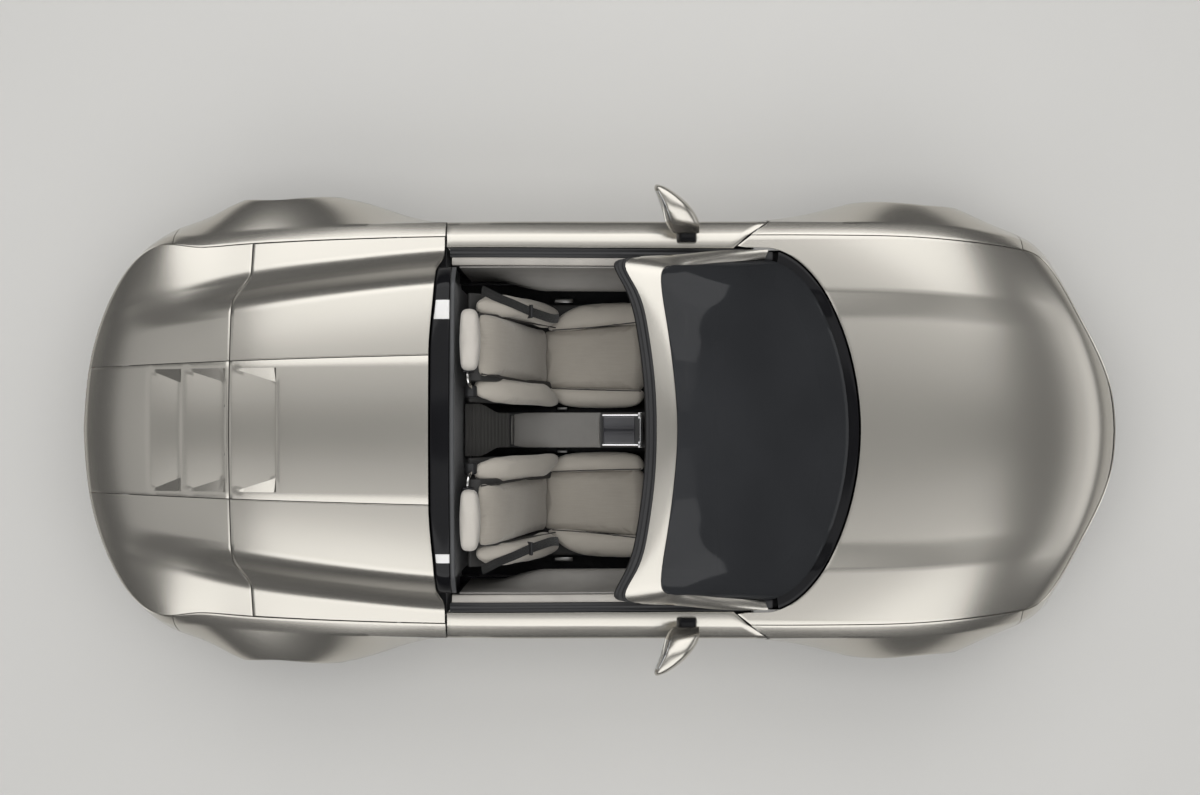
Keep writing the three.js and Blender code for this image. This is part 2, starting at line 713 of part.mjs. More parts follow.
function tailCentre() {
  const tailX = (y) => {
    let low = 0;
    let high = tailStripPlace() * 1.2;
    for (let i = 0; i < 40; i += 1) {
      const middle = (low + high) / 2;
      if (across(wall.y(middle)) < Math.abs(y)) low = middle;
      else high = middle;
    }
    return along(wall.x(low)) + seamInset;
  };
  const rows = [
    () => deckCutX(0),
    ...louvreRows(louvres[1]),
    ...louvreRows(louvres[2]),
    ...[-1960, -2050, -2110].map((x) => () => along(x)),
    (y) => mix(along(-2110), tailX(y), 0.6),
    tailX,
  ];
  return stripPanel(rows, seamGap / 2);
}

// ---- Sills and doors ----

function rowsBelow(place, topZ, count) {
  return even(count).map((t) => mix(wallRowAtHeight(place, topZ), 1, t));
}

function sill(side) {
  const places = even(8).map((t) => wallAt(mix(doorRearCut() + seamGap, doorFrontCut(1) - seamGap, t)));
  const rows = places.map((place) => rowsBelow(place, sillTop, 2));
  const outer = (i, j) => wallPoint(places[i], rows[i][j], 0, side, shutGap / 2);
  const inner = (i, j) => outer(i, j).setY(side * sillFace);
  return slab(outer, inner, 8, 2);
}

const sillFace = across(815); // the flat face where a sill meets the tub
const hingeSetback = 140; // from the door's front edge back to its pin
const doorPin = { x: doorFrontCut(1) - shutGap / 2 - hingeSetback, y: across(858), radius: 7 };
const doorTopInner = across(750);
const doorInnerFace = cabinHalfWidth + runGap;
const doorBottom = sillTop + shutGap;
const doorFrontThickness = 45;

// How far back the door reaches at a distance from the centre plane, so that it swings clear.
function doorRearX(y) {
  const swing = doorPin.x - (doorRearCut() + shutGap / 2);
  return doorPin.x - Math.sqrt(swing ** 2 - (doorPin.y - Math.min(y, doorPin.y)) ** 2);
}

function doorShell(side) {
  const columns = 8;
  const outerRows = 7;
  const rolled = (v) => 1 - smooth(creaseRow, creaseRow + 0.15, v);
  const frontX = (v) => doorFrontCut(v) - shutGap / 2 - doorEdgeSetback * rolled(v);
  const columnX = (i, v, y) => mix(doorRearX(y), frontX(v), i / columns);
  const roll = (i, v) => (i === columns && v <= creaseRow ? doorEdgeRoll : 0);
  const outer = (i, j) => {
    if (j === 0) {
      const x = columnX(i, 0, doorTopInner);
      const rim = wallPoint(wallAt(x), 0);
      return new THREE.Vector3(x, side * doorTopInner, rim.z + 4 - roll(i, 0));
    }
    const roughPlace = wallAt(columnX(i, 0, doorPin.y));
    const lastRow = wallRowAtHeight(roughPlace, doorBottom);
    const v = rowsDownTo(lastRow, outerRows - 3)[j - 1];
    const rearY = wallPoint(wallAt(doorRearCut()), v, 0, 1, shutGap / 2).y;
    const point = wallPoint(wallAt(columnX(i, v, rearY)), v, 0, side, shutGap / 2);
    return point.setZ(point.z - roll(i, v));
  };
  const inner = (i, j) => {
    const front = smooth(doorPin.x - 200, doorPin.x + hingeSetback - 20, columnX(i, 1, doorPin.y));
    const y = mix(doorInnerFace, across(880) - doorFrontThickness, front);
    const skin = outer(i, j);
    const x = mix(columnX(0, 0, y), skin.x, i / columns);
    const z = mix(outer(i, 0).z - 46, doorBottom + 4, j / outerRows);
    return new THREE.Vector3(x, side * Math.min(y, Math.abs(skin.y) - 12), z);
  };
  return slab(outer, inner, columns, outerRows);
}

const hingeHeights = [370, 610];
const hingeLeaf = { thickness: 12, halfWidth: 13 };
const hingePillar = { x0: 615, x1: 690, y0: across(640), y1: across(700), top: 780 };

// The slot in the door that its body-side hinge leaf stands in, open to the front and the inside.
function hingeSlot(side, z) {
  const half = hingeLeaf.thickness / 2 + runGap;
  const [near, far] = [side * (doorInnerFace - 60), side * (doorPin.y + hingeLeaf.halfWidth + 3)];
  return box(doorPin.x - 24, doorPin.x + hingeSetback + 30, near, far, z - half, z + half);
}

function doorHingePin(side, z, radius, half) {
  return post(doorPin.x, side * doorPin.y, radius, z - half, z + half);
}

function door(side) {
  const hollowed = cutBy(doorShell(side), hingeHeights.map((z) => hingeSlot(side, z)));
  const half = hingeLeaf.thickness / 2 + runGap + 5;
  return joined([hollowed, ...hingeHeights.map((z) => doorHingePin(side, z, doorPin.radius, half))]);
}

// A leaf from the hinge pillar to the pin, with its eye round the pin.
function doorHingeLeaf(side, z) {
  const from = { x: along(hingePillar.x0) + 20, y: hingePillar.y1 - 20 };
  const run = { x: from.x - doorPin.x, y: from.y - doorPin.y };
  const reach = Math.hypot(run.x, run.y);
  const half = hingeLeaf.thickness / 2;
  const arm = box(0, reach, -hingeLeaf.halfWidth, hingeLeaf.halfWidth, -half, half);
  arm.rotateZ(Math.atan2(side * run.y, run.x)).translate(doorPin.x, side * doorPin.y, z);
  const eye = post(doorPin.x, side * doorPin.y, hingeLeaf.halfWidth, z - half, z + half);
  return cutBy(joined([arm, eye]), [doorHingePin(side, z, doorPin.radius + seatGap, half + 1)]);
}

// ---- Mirrors ----

// Sections of a door mirror from its foot out to its tip: middle x and z, half length, half height, by y.
const mirrorRows = table(["y", "x", "z", "halfX", "halfZ"], [
  [800, 352, 925, 46, 14], [830, 348, 950, 66, 34], [880, 335, 968, 68, 50], [930, 305, 976, 56, 52],
  [968, 268, 980, 40, 42], [988, 240, 982, 22, 26],
]);

function mirror(side) {
  const around = even(11).slice(1).map((t) => 2 * Math.PI * t);
  const sections = mirrorRows.map(({ y, x, z, halfX, halfZ }) => around.map((angle) => {
    const reach = along(x) + halfX * Math.cos(angle);
    return new THREE.Vector3(reach, side * across(y), z + halfZ * Math.sin(angle));
  }));
  const footTop = box(along(312), along(392), side * across(770), side * across(822), 880, 936);
  return { head: loft(sections), foot: footTop };
}

// A mirror stands on the door's top, so its foot is cut to the door's surface.
function seatedMirror(side) {
  const { head, foot } = mirror(side);
  return cutBy(joined([head, foot]), [doorShell(side).translate(0, 0, seatGap)]);
}

// ---- Windscreen and its frame ----

// The frame from the middle of the header out to the pillar's foot.
// glass: its edge along the glass. outer: its edge along the roof opening and the door.
const frameRows = table(["glassX", "glassY", "glassZ", "outerX", "outerY", "outerZ"], [
  [300, 0, 1207, 221, 0, 1209],
  [287, 210, 1203, 213, 200, 1205],
  [260, 417, 1187, 187, 400, 1190],
  [240, 560, 1166, 140, 560, 1170],
  [246, 630, 1148, 100, 655, 1142],
  [330, 655, 1096, 250, 693, 1094],
  [450, 671, 1022, 420, 716, 1016],
  [560, 686, 953, 550, 732, 948],
  [675, 700, 890, 690, 738, 898],
]);
const headerRows = 4; // rows 0 to 4 run along the header, the rest down the pillar
const frameDepth = 34;
const glassThickness = 6;

const framePoints = frameRows.map((row) => ({
  glass: new THREE.Vector3(along(row.glassX), across(row.glassY), row.glassZ),
  outer: new THREE.Vector3(along(row.outerX), across(row.outerY), row.outerZ),
}));
const onSide = (point, side) => new THREE.Vector3(point.x, side * point.y, point.z);
const sunk = (point, depth) => new THREE.Vector3(point.x, point.y, point.z - depth);

const pillarFoot = { z: 800, x0: 645, x1: 715, y0: 694, y1: 738 };

function windscreenFrame() {
  const section = ({ glass, outer }) => [glass, outer, sunk(outer, frameDepth), sunk(glass, frameDepth)];
  const half = framePoints.map(section);
  const left = half.map((loop) => loop.map((p) => onSide(p, 1)));
  const right = half.slice(1).reverse().map((loop) => loop.map((p) => onSide(p, -1)));
  const feet = bothSides(across(pillarFoot.y0), across(pillarFoot.y1)).map(([y0, y1]) =>
    box(along(pillarFoot.x0), along(pillarFoot.x1), y0, y1, pillarFoot.z, 868));
  return joined([loft([...right, ...left]), ...feet]);
}

// The glass: it runs along the header, down the pillars and round the screen's foot.
function windscreen() {
  const clear = new THREE.Vector3(3, 0, 0);
  const header = framePoints.slice(0, headerRows + 1);
  const topHalf = (points, side) => points.map((p) => onSide(p.glass, side).add(clear));
  const topRow = [...topHalf(header.slice(1).reverse(), 1), ...topHalf(header, -1)];
  const pillar = framePoints.slice(headerRows);
  const pillarClear = (side) => new THREE.Vector3(0.4, -0.8 * side, 0);
  const sideRow = (side) => pillar.map((p) => onSide(p.glass, side).add(pillarClear(side)));
  const columns = topRow.length - 1;
  const rows = pillar.length - 1;
  const foot = even(columns).map((t) => {
    const [x, y] = screenFootPoint(1 - 2 * t, screenInset);
    return new THREE.Vector3(x, y, topHeight(x, y) + 2);
  });
  const [left, right] = [sideRow(1), sideRow(-1)];
  left[0] = topRow[0];
  right[0] = topRow[columns];
  foot[0] = left[rows];
  foot[columns] = right[rows];
  const surface = (depth) => (i, j) => {
    const [u, v] = [i / columns, j / rows];
    const downGlass = topRow[i].clone().lerp(foot[i], v);
    const acrossGlass = left[j].clone().lerp(right[j], u);
    const flatTop = topRow[0].clone().lerp(topRow[columns], u);
    const flatFoot = foot[0].clone().lerp(foot[columns], u);
    const point = downGlass.add(acrossGlass).sub(flatTop.lerp(flatFoot, v));
    const bulge = 14 * Math.sin(Math.PI * v) * Math.sin(Math.PI * u);
    return point.add(new THREE.Vector3(bulge * 0.4 - depth * 0.35, 0, bulge * 0.9 - depth * 0.94));
  };
  return slab(surface(0), surface(glassThickness), columns, rows);
}

const screenInset = -46; // the glass's foot, in from the bonnet's rear edge
const cowlInset = -150;
const cowlDrop = 12;

// The black cowl between the glass's foot and the bonnet, on feet that stand on the tub.
const cowlEnd = 0.9; // how far round the screen's foot it reaches, where 1 is the door

function cowl() {
  const surface = (depth) => (i, j) => {
    const [x, y] = screenFootPoint(cowlEnd * (1 - i / 8), mix(cowlInset, -2, j / 2));
    return new THREE.Vector3(x, y, topHeight(x, y) - cowlDrop - depth);
  };
  const foot = ([y0, y1]) => box(along(960), along(990), y0, y1, scuttleTop + seatGap, 850);
  const feet = bothSides(300, 330).map(foot);
  return joined([slab(surface(0), surface(8), 16, 2), ...feet]);
}

// ---- The tub, the floor and the underside ----

const floorTop = floorHeight + floorThickness;
const cabinFront = along(1000);
const toeBoardThickness = 30;
const footwellHalfWidth = across(500);
const wellOuter = across(735); // the outer end of the wall behind the front wheels, and of the pillars' feet
const rearWallHalf = across(600);
const rearWallWide = across(760);
const wheelWellRear = along(860);
const wellWallThickness = 30;
const cabinRear = along(-590);
const rearWallThickness = 50;
const rearWallTop = 1035;
const rearShoulderTop = 850; // the top of the wider part behind the rear wall
const scuttleTop = 790;
const beamTop = sillTop - 10;

function floorTub() {
  const rearFace = cabinRear - rearWallThickness;
  const beamOuter = sillFace - seatGap;
  const toeFront = cabinFront + toeBoardThickness;
  const centred = (x0, x1, half, z0, z1) => box(x0, x1, -half, half, z0, z1);
  const well = footwellHalfWidth;
  const pieces = [
    centred(rearFace - 50, wheelWellRear, rearWallWide, floorHeight, floorTop),
    centred(wheelWellRear - 10, toeFront, well, floorHeight, floorTop),
    centred(cabinRear - 10, cabinFront + 10, tunnelHalfWidth, floorTop - 10, tunnelTop),
    centred(cabinFront, toeFront, well, floorTop - 10, scuttleTop),
    centred(wheelWellRear - 30, cabinFront + 10, well, scuttleTop - 20, scuttleTop),
    centred(rearFace, cabinRear, rearWallHalf, floorTop - 10, rearWallTop),
    centred(rearFace - 50, rearFace + 5, rearWallWide, floorTop - 10, rearShoulderTop),
  ];
  for (const side of [-1, 1]) {
    const wide = (x0, x1, y0, y1, z0, z1) => box(x0, x1, side * y0, side * y1, z0, z1);
    const { x0, y0, y1 } = hingePillar;
    pieces.push(
      wide(along(-880), wheelWellRear, cabinHalfWidth, beamOuter, floorHeight, beamTop),
      wide(wheelWellRear - 10, cabinFront + 10, well - 20, well, floorTop - 10, scuttleTop),
      wide(wheelWellRear - 30, wheelWellRear, well - 20, wellOuter, floorTop - 10, scuttleTop),
      wide(along(700), wheelWellRear - 20, wellOuter - 45, wellOuter, floorTop - 10, pillarFoot.z - seatGap),
      wide(along(x0), wheelWellRear - 20, y0, y1, floorTop - 10, hingePillar.top),
      ...hingeHeights.map((z) => doorHingeLeaf(side, z)),
    );
  }
  return joined(pieces);
}

function undertray() {
  const top = floorHeight - seatGap;
  const flat = (x0, x1, half) => box(along(x0), along(x1), -half, half, top - 12, top);
  const ramp = new THREE.Shape([[-1690, top], [-1690, top - 12], [-2165, 190], [-2165, 202]].map(([x, z]) =>
    new THREE.Vector2(along(x), z)));
  const trayHalf = across(490);
  const diffuser = new THREE.ExtrudeGeometry(ramp, { depth: 2 * trayHalf, bevelEnabled: false });
  diffuser.rotateX(Math.PI / 2).translate(0, trayHalf, 0);
  const finCorners = [[-1700, top - 2], [-2160, 196], [-2160, 146], [-1800, top - 12]];
  const finOutline = new THREE.Shape(finCorners.map(([x, z]) => new THREE.Vector2(along(x), z)));
  const fins = [-300, -100, 100, 300].map((y) => {
    const solid = new THREE.ExtrudeGeometry(finOutline, { depth: 8, bevelEnabled: false });
    return solid.rotateX(Math.PI / 2).translate(0, y + 4, 0);
  });
  return joined([
    flat(-1700, 1990, trayHalf), flat(-840, 830, across(800)), flat(1700, 1960, across(600)),
    diffuser, ...fins,
  ]);
}

// ---- Subframes, power unit and luggage space ----

const armSpan = 25; // half the width of a suspension arm
const frontBeam = { x0: 1880, x1: 1940, half: across(560), z0: 400, z1: 470 };
const rearBeam = { x0: -2060, x1: -1990, half: across(560), z0: 400, z1: 480 };
const rails = { inner: across(400), outer: across(460) };
const armRoot = { front: across(500), rear: across(480) };
const kingpinInset = 60; // from the wheel's middle plane in to the steering axis
const uprightLow = 110; // an upright's lower joint below the axle
const uprightHigh = 128;
const armHalf = 60; // half the length of the block that carries the suspension arms
const railDepth = 60;

const crossBeam = ({ x0, x1, half, z0, z1 }) => box(along(x0), along(x1), -half, half, z0, z1);
const railBox = (x0, x1, side, z0, z1) => box(x0, x1, side * rails.inner, side * rails.outer, z0, z1);

function suspensionArms(axle, tyre, pinY, rootY) {
  const pieces = [];
  for (const side of [-1, 1]) {
    for (const z of [tyre.radius - uprightLow - seatGap - 26, tyre.radius + uprightHigh + seatGap]) {
      pieces.push(box(axle - armSpan, axle + armSpan, side * (rootY - 20), side * pinY, z, z + 26));
      pieces.push(post(axle, side * pinY, armSpan, z, z + 26));
    }
    const [z0, z1] = [tyre.radius - uprightLow - 30, tyre.radius + uprightHigh + 40];
    pieces.push(box(axle - armHalf, axle + armHalf, side * (rootY - 60), side * rootY, z0, z1));
  }
  return pieces;
}

function frontSubframe() {
  const low = frontTyre.radius - uprightLow - 30;
  const beamX = along(frontBeam.x0);
  const pieces = suspensionArms(frontAxle, frontTyre, frontPinY, armRoot.front);
  const { front: root } = armRoot;
  pieces.push(box(frontAxle - armHalf, frontAxle + armHalf, -root, root, low, low + railDepth));
  for (const side of [-1, 1]) {
    const railRear = cabinFront + toeBoardThickness + seatGap;
    pieces.push(railBox(railRear, beamX + 10, side, low, low + railDepth));
    pieces.push(railBox(beamX - 60, beamX + 10, side, low, frontBeam.z1));
  }
  pieces.push(crossBeam(frontBeam));
  return joined(pieces);
}

function rearSubframe() {
  const low = rearTyre.radius - uprightLow - 30;
  const beamX = along(rearBeam.x1);
  const pieces = suspensionArms(rearAxle, rearTyre, rearPinY, armRoot.rear);
  const { rear: root } = armRoot;
  pieces.push(box(rearAxle - armHalf, rearAxle + armHalf, -root, root, low, low + 40));
  for (const side of [-1, 1]) {
    const railFront = cabinRear - rearWallThickness - 50 - seatGap;
    pieces.push(railBox(beamX - 10, railFront, side, low, low + railDepth));
    pieces.push(railBox(beamX - 10, beamX + 60, side, low, rearBeam.z1));
  }
  pieces.push(crossBeam(rearBeam));
  return joined(pieces);
}

function powerUnit() {
  const low = rearTyre.radius - uprightLow - 30 + 40 + seatGap;
  return box(along(-1560), along(-860), -across(330), across(330), low, 620);
}

const luggage = { x0: 1120, x1: 1840, half: across(440), z0: 520, z1: 700, wall: 8 };

// The front luggage space: an open box that hangs between the front subframe's rails.
function luggageTub() {
  const { x0, x1, half, z0, z1, wall: side } = luggage;
  const outer = box(along(x0), along(x1), -half, half, z0, z1);
  const inside = box(along(x0) + side, along(x1) - side, -half + side, half - side, z0 + side, z1 + 50);
  const legFoot = frontBeam.z1 + seatGap;
  const leg = ([y0, y1]) => box(along(x1) - 30, along(x1) - 2, y0, y1, legFoot, z0 + side);
  const legs = bothSides(across(410), across(430)).map(leg);
  return joined([cutBy(outer, [inside]), ...legs]);
}

const stowage = { x0: -1765, half: across(600), z0: 690, wallTop: 790, wall: 8 };

// The tray behind the cabin that the folded roof lies in.
function stowageTray() {
  const front = cabinRear - rearWallThickness - 50 - seatGap;
  const { x0, half, z0, wallTop, wall: side } = stowage;
  const outer = box(along(x0), front, -half, half, z0, wallTop);
  const inside = box(along(x0) + side, front - side, -half + side, half - side, z0 + side, wallTop + 50);
  return cutBy(outer, [inside]);
}

// ---- Cabin ----

function extrudedAcross(points, y0, y1) {
  const shape = new THREE.Shape(points.map(([x, z]) => new THREE.Vector2(x, z)));
  const solid = new THREE.ExtrudeGeometry(shape, { depth: y1 - y0, bevelEnabled: false });
  return solid.rotateX(Math.PI / 2).translate(0, y1, 0);
}

function dashboard() {
  const half = across(632);
  const back = wheelWellRear - wellWallThickness - seatGap;
  const profile = [
    [0, 480], [0, 845], [-270, 872], [-325, 845], [-335, 770], [-270, 650], [-190, 560], [-70, 480],
  ].map(([x, z]) => [back + x, z]);
  const body = extrudedAcross(profile, -half, half);
  const shelf = (depth) => (i, j) => {
    const [x, y] = screenFootPoint(0.8 - (1.6 * i) / 16, cowlInset - 12);
    return new THREE.Vector3(mix(along(800), x, j), y, 842 - depth);
  };
  return cutBy(joined([body, slab(shelf(0), shelf(8), 16, 1)]), [columnSolid(seatGap)]);
}

const seatBase = { x0: -226, x1: 195 };

// A seat: its cushion and back in one profile, with side bolsters and a headrest on two stems.
const bolsterWidth = 75;
const headrestHalf = 120;

function seat(middle) {
  const half = seatWidth / 2;
  const profile = [
    [190, 330], [195, 372], [150, 388], [-120, 352], [-215, 350], [-262, 420], [-392, 900], [-470, 985],
    [-530, 985], [-548, 950], [-500, 700], [-400, 330], [-330, 250], [120, 250],
  ];
  const bolster = [
    [120, 380], [60, 412], [-60, 410], [-170, 430], [-225, 560],
    [-330, 860], [-440, 900], [-420, 700], [-300, 340], [100, 330],
  ];
  const headrest = [[-478, 1010], [-486, 1095], [-520, 1120], [-560, 1105], [-562, 1010]];
  const pieces = [extrudedAcross(profile, middle - half, middle + half)];
  for (const side of [-1, 1]) {
    const edges = [middle + side * half, middle + side * (half - bolsterWidth)].sort((a, b) => a - b);
    const railY = middle + side * 170;
    pieces.push(extrudedAcross(bolster, ...edges));
    pieces.push(post(-515, middle + side * 60, 7, 975, 1060));
    pieces.push(box(-330, 120, railY - 20, railY + 20, floorTop + seatGap, 260));
  }
  pieces.push(extrudedAcross(headrest, middle - headrestHalf, middle + headrestHalf));
  return joined(pieces);
}

// The console's sloping top, where the control box stands.
const consoleSlope = { x0: -60, z0: 500, x1: 200, z1: 560 };
const consoleBase = tunnelTop + seatGap;

function centreConsole() {
  const { x0, z0, x1, z1 } = consoleSlope;
  const profile = [
    [420, consoleBase], [440, 560], [495, 640], [470, 660], [x1, z1], [x0, z0], [-340, 500], [-520, 620],
    [-580, 620], [-580, consoleBase],
  ];
  return extrudedAcross(profile, -80, 80);
}

// The metal-framed control box on the console, between the seats and the dashboard.
function controlBox() {
  const { x0, z0, x1, z1 } = consoleSlope;
  const under = (x) => mix(z0, z1, (x - x0) / (x1 - x0)) + seatGap;
  const [rear, front, height] = [10, 186, 44];
  const [rearTop, frontTop] = [under(rear) + height, under(front) + height + 20];
  const profile = [[rear, under(rear)], [front, under(front)], [front, frontTop], [rear, rearTop]];
  return extrudedAcross(profile, -74, 74);
}

// ---- Steering ----

const hubToWheelWell = 508;
const wheelHub = { x: wheelWellRear - hubToWheelWell, y: seatCentre, z: 772 };
const columnDown = radians(columnAngle);
const columnLength = 260;

const columnTilt = -(Math.PI / 2 - columnDown); // turns +Z to point up the column to the driver

function steeringWheel() {
  const rim = new THREE.TorusGeometry(steeringWheelRadius, 15, 6, 24);
  const hub = new THREE.CylinderGeometry(46, 40, 44, 12).rotateX(Math.PI / 2).translate(0, 0, -8);
  const spoke = (angle) => {
    const arm = new THREE.BoxGeometry(steeringWheelRadius, 26, 10).translate(steeringWheelRadius / 2, 0, -4);
    return arm.rotateZ(radians(angle));
  };
  return joined([rim, hub, ...[90, 180, 270].map(spoke)]); // local X points up the wheel
}

// The column's tube, which stands in a hole in the dashboard. grow makes it fatter and longer for that hole.
function columnSolid(grow = 0) {
  const tube = new THREE.CylinderGeometry(34 + grow, 34 + grow, columnLength + grow, 20).rotateX(Math.PI / 2);
  tube.translate(0, 0, -30 - seatGap - (columnLength + grow) / 2);
  return tube.rotateY(columnTilt).translate(wheelHub.x, wheelHub.y, wheelHub.z);
}

// ---- Wheels and uprights ----

const frontPinY = frontWheelY - kingpinInset;
const rearPinY = rearWheelY - kingpinInset;
const discThickness = 28;
const wheelSides = 24;

// A turned solid round the Y axis from (radius, y) points that close on themselves.
// Each radius is that of its facets' middles, and one row of facets faces straight down.
function turned(points, sides) {
  const half = Math.PI / sides;
  const outline = [...points, points[0]].map(([r, y]) => new THREE.Vector2(r / Math.cos(half), y));
  return new THREE.LatheGeometry(outline, sides).rotateY(half);
}

function tyreSolid({ radius, width, rim }) {
  const half = width / 2;
  const shoulder = 16;
  return turned([
    [rim + seatGap, -half + 22], [rim + 22, -half + 4], [mix(rim, radius, 0.55), -half],
    [radius - shoulder, -half + 8], [radius, -half + 8 + shoulder],
    [radius, half - 8 - shoulder], [radius - shoulder, half - 8],
    [mix(rim, radius, 0.55), half], [rim + 22, half - 4], [rim + seatGap, half - 22],
  ], wheelSides);
}

// A rim: its barrel, ten spokes, the hub, and the brake disc. side is 1 on the left.
function rimSolid({ width, rim }, hubFace, side) {
  const half = width / 2;
  const barrel = turned([
    [rim, -half + 24], [rim, half - 24], [rim - 10, half - 12],
    [rim - 22, half - 14], [rim - 14, -half + 12], [rim - 6, -half + 12],
  ], wheelSides);
  const hub = [[0.01, hubFace], [70, hubFace], [70, hubFace + 30], [62, half - 30], [0.01, half - 30]];
  const centre = turned(hub, 12);
  const discFace = hubFace + 6;
  const discBack = discFace + discThickness;
  const discEdge = rim - 62;
  const discOutline = [[60, discFace], [discEdge, discFace], [discEdge, discBack], [60, discBack]];
  const disc = turned(discOutline, wheelSides);
  const spokes = Array.from({ length: 10 }, (_, i) => {
    const spoke = box(-11, 11, half - 62, half - 34, 50, rim - 14);
    return spoke.rotateY((2 * Math.PI * i) / 10);
  });
  const solid = joined([barrel, centre, disc, ...spokes]);
  return side > 0 ? solid : solid.rotateZ(Math.PI);
}

// An upright that carries a wheel, with its brake caliper behind or in front of the axle.
function uprightSolid({ rim }, hubFace, caliperSide) {
  const inner = -kingpinInset;
  const pieces = [
    post(0, inner, armSpan - 3, -uprightLow, uprightHigh),
    box(-30, 30, inner, hubFace - seatGap - 20, -70, 80),
    rod(0, 0, 55, inner, hubFace - seatGap),
  ];
  const discRim = rim - 62;
  const discFace = hubFace + 6;
  const clear = 8;
  const reach = [caliperSide * 120, caliperSide * (discRim + clear + 16)];
  const outerFace = discFace + discThickness + clear;
  pieces.push(box(0, reach[0] + caliperSide * 10, inner + 4, discFace - clear - 18, -24, 24));
  pieces.push(box(reach[0], reach[1], discFace - clear - 22, discFace - clear, -62, 62));
  pieces.push(box(caliperSide * (discRim + clear), reach[1], discFace - clear - 22, outerFace + 16, -50, 50));
  pieces.push(box(reach[0] + caliperSide * 12, reach[1], outerFace, outerFace + 16, -50, 50));
  return joined(pieces);
}

const hubFaceFromMiddle = -12; // the face where a wheel bolts on, from the wheel's middle plane

// ---- Bulkhead trim ----

const trimRear = (y) => deckFrontX(y) + shutGap;
const trimFront = along(-577);

function bulkheadTrim() {
  const half = across(658);
  const columns = 20;
  const surface = (depth) => (i, j) => {
    const y = mix(-half, half, i / columns);
    const x = mix(trimRear(y), trimFront, j / 2);
    return topPoint(x, y, depth);
  };
  const footTop = topHeight(cabinRear - 25, across(485)) - 6;
  const footBase = rearWallTop + seatGap;
  const foot = ([y0, y1]) => box(cabinRear - 40, cabinRear - 10, y0, y1, footBase, footTop);
  const feet = bothSides(across(470), across(500)).map(foot);
  return joined([slab(surface(0), surface(12), columns, 2), ...feet]);
}

// ---- Hinges of the lids, and the brackets that carry the panels ----

const plate = (points, y0, y1) => extrudedAcross(points, Math.min(y0, y1), Math.max(y0, y1));
const leafThickness = 12;

const hoodLip = edgePlan(wall.end, 1, noseGap - shutGap / 2)[0];
const hoodPin = { x: hoodLip - 3, z: topHeight(hoodLip, 0) - 14 };
const hoodLeafY = 60;

function hoodLeaf(side) {
  const { x, z } = hoodPin;
  const under = topHeight(x - 95, hoodLeafY) - panelThickness / 2;
  const points = [[x + 3, z - 12], [x + 3, z + 2], [x - 80, under], [x - 110, under], [x - 40, z - 12]];
  return plate(points, side * hoodLeafY, side * (hoodLeafY + leafThickness));
}

function bumperLeaf(side) {
  const { x, z } = hoodPin;
  const skin = wallPoint(wall.end, 0.17, panelThickness / 2, 1, shutGap / 2);
  const points = [[x - 12, z - 44], [x - 12, z - 6], [x + 5, z - 6], [skin.x, skin.z], [skin.x, z - 44]];
  const near = hoodLeafY + leafThickness + seatGap;
  return plate(points, side * near, side * (near + leafThickness));
}

const deckPin = { x: deckCutX(0) + shutGap + 2, z: topHeight(deckCutX(0) + shutGap + 2, 0) - 1 };
const deckLeafDepth = { top: 48, foot: 74 };

// A plate under the lid at its pin, from y outwards.
function lidLeaf(y) {
  const { x, z } = deckPin;
  const under = topHeight(x + 40, y) - panelThickness / 2;
  const points = [
    [x - 8, z - deckLeafDepth.foot], [x - 8, z - deckLeafDepth.top], [x + 26, under], [x + 60, under],
    [x + 30, z - deckLeafDepth.foot],
  ];
  return plate(points, y, y + Math.sign(y) * leafThickness);
}

// The plate beside it under the fixed panel.
function tailLeaf(y) {
  const { x, z } = deckPin;
  const from = y + Math.sign(y) * (leafThickness + seatGap);
  const under = topHeight(x - 40, y) - panelThickness / 2;
  const points = [
    [x + 8, z - deckLeafDepth.foot], [x + 8, z - deckLeafDepth.top], [x - 28, under - 2], [x - 60, under],
    [x - 40, z - deckLeafDepth.foot],
  ];
  return plate(points, from, from + Math.sign(y) * leafThickness);
}

const stripLeafY = 80;
const sideLeafY = 400;

// A block from a side panel's lower edge in to the tub's side beam.
function sideBracket(x, side) {
  const place = wallAt(x);
  const skin = wallPoint(place, wallRowAtHeight(place, 200), panelThickness / 2, 1, shutGap / 2);
  return box(x - 20, x + 20, side * sillFace, side * skin.y, 180, 220);
}

function bumperBrackets(isNose, y, z0, z1) {
  const beam = isNose ? along(frontBeam.x1) + seatGap : along(rearBeam.x0) - seatGap;
  let place = isNose ? wall.end : 0;
  while (Math.abs(wallPoint(place, wideRow, 0).y) < y) place += isNose ? -2 : 2;
  const skin = wallPoint(place, wideRow, panelThickness / 2, 1, shutGap / 2);
  return bothSides(y - 20, y + 20).map(([y0, y1]) => box(beam, skin.x, y0, y1, z0, z1));
}

// A lamp's arm back over the beam, and its foot on the beam's top.
function lampArm(isNose, t, v) {
  const beam = isNose ? frontBeam : rearBeam;
  const back = roundPoint(isNose, t, v, lampDepth - 6, shutGap / 2);
  const middle = (along(beam.x0) + along(beam.x1)) / 2;
  const half = 15;
  const footY = Math.sign(back.y) * Math.min(Math.abs(back.y), beam.half - half);
  const [y0, y1] = [Math.min(back.y, footY) - half, Math.max(back.y, footY) + half];
  return [
    box(middle, back.x, back.y - half, back.y + half, back.z - 8, back.z + 8),
    box(middle - half, middle + half, y0, y1, back.z - 8, back.z + 8),
    box(middle - half, middle + half, footY - half, footY + half, beam.z1 + seatGap, back.z),
  ];
}

function grilleArm() {
  const back = roundPoint(true, 0, 0.6, lampDepth - 6, shutGap / 2);
  return box(along(frontBeam.x1) + seatGap, back.x, -20, 20, 420, 460);
}

function tailFoot(x, y, halfY) {
  const top = topHeight(x, y) - panelThickness / 2;
  return box(x - 15, x + 15, y - halfY, y + halfY, stowage.wallTop + seatGap, top);
}

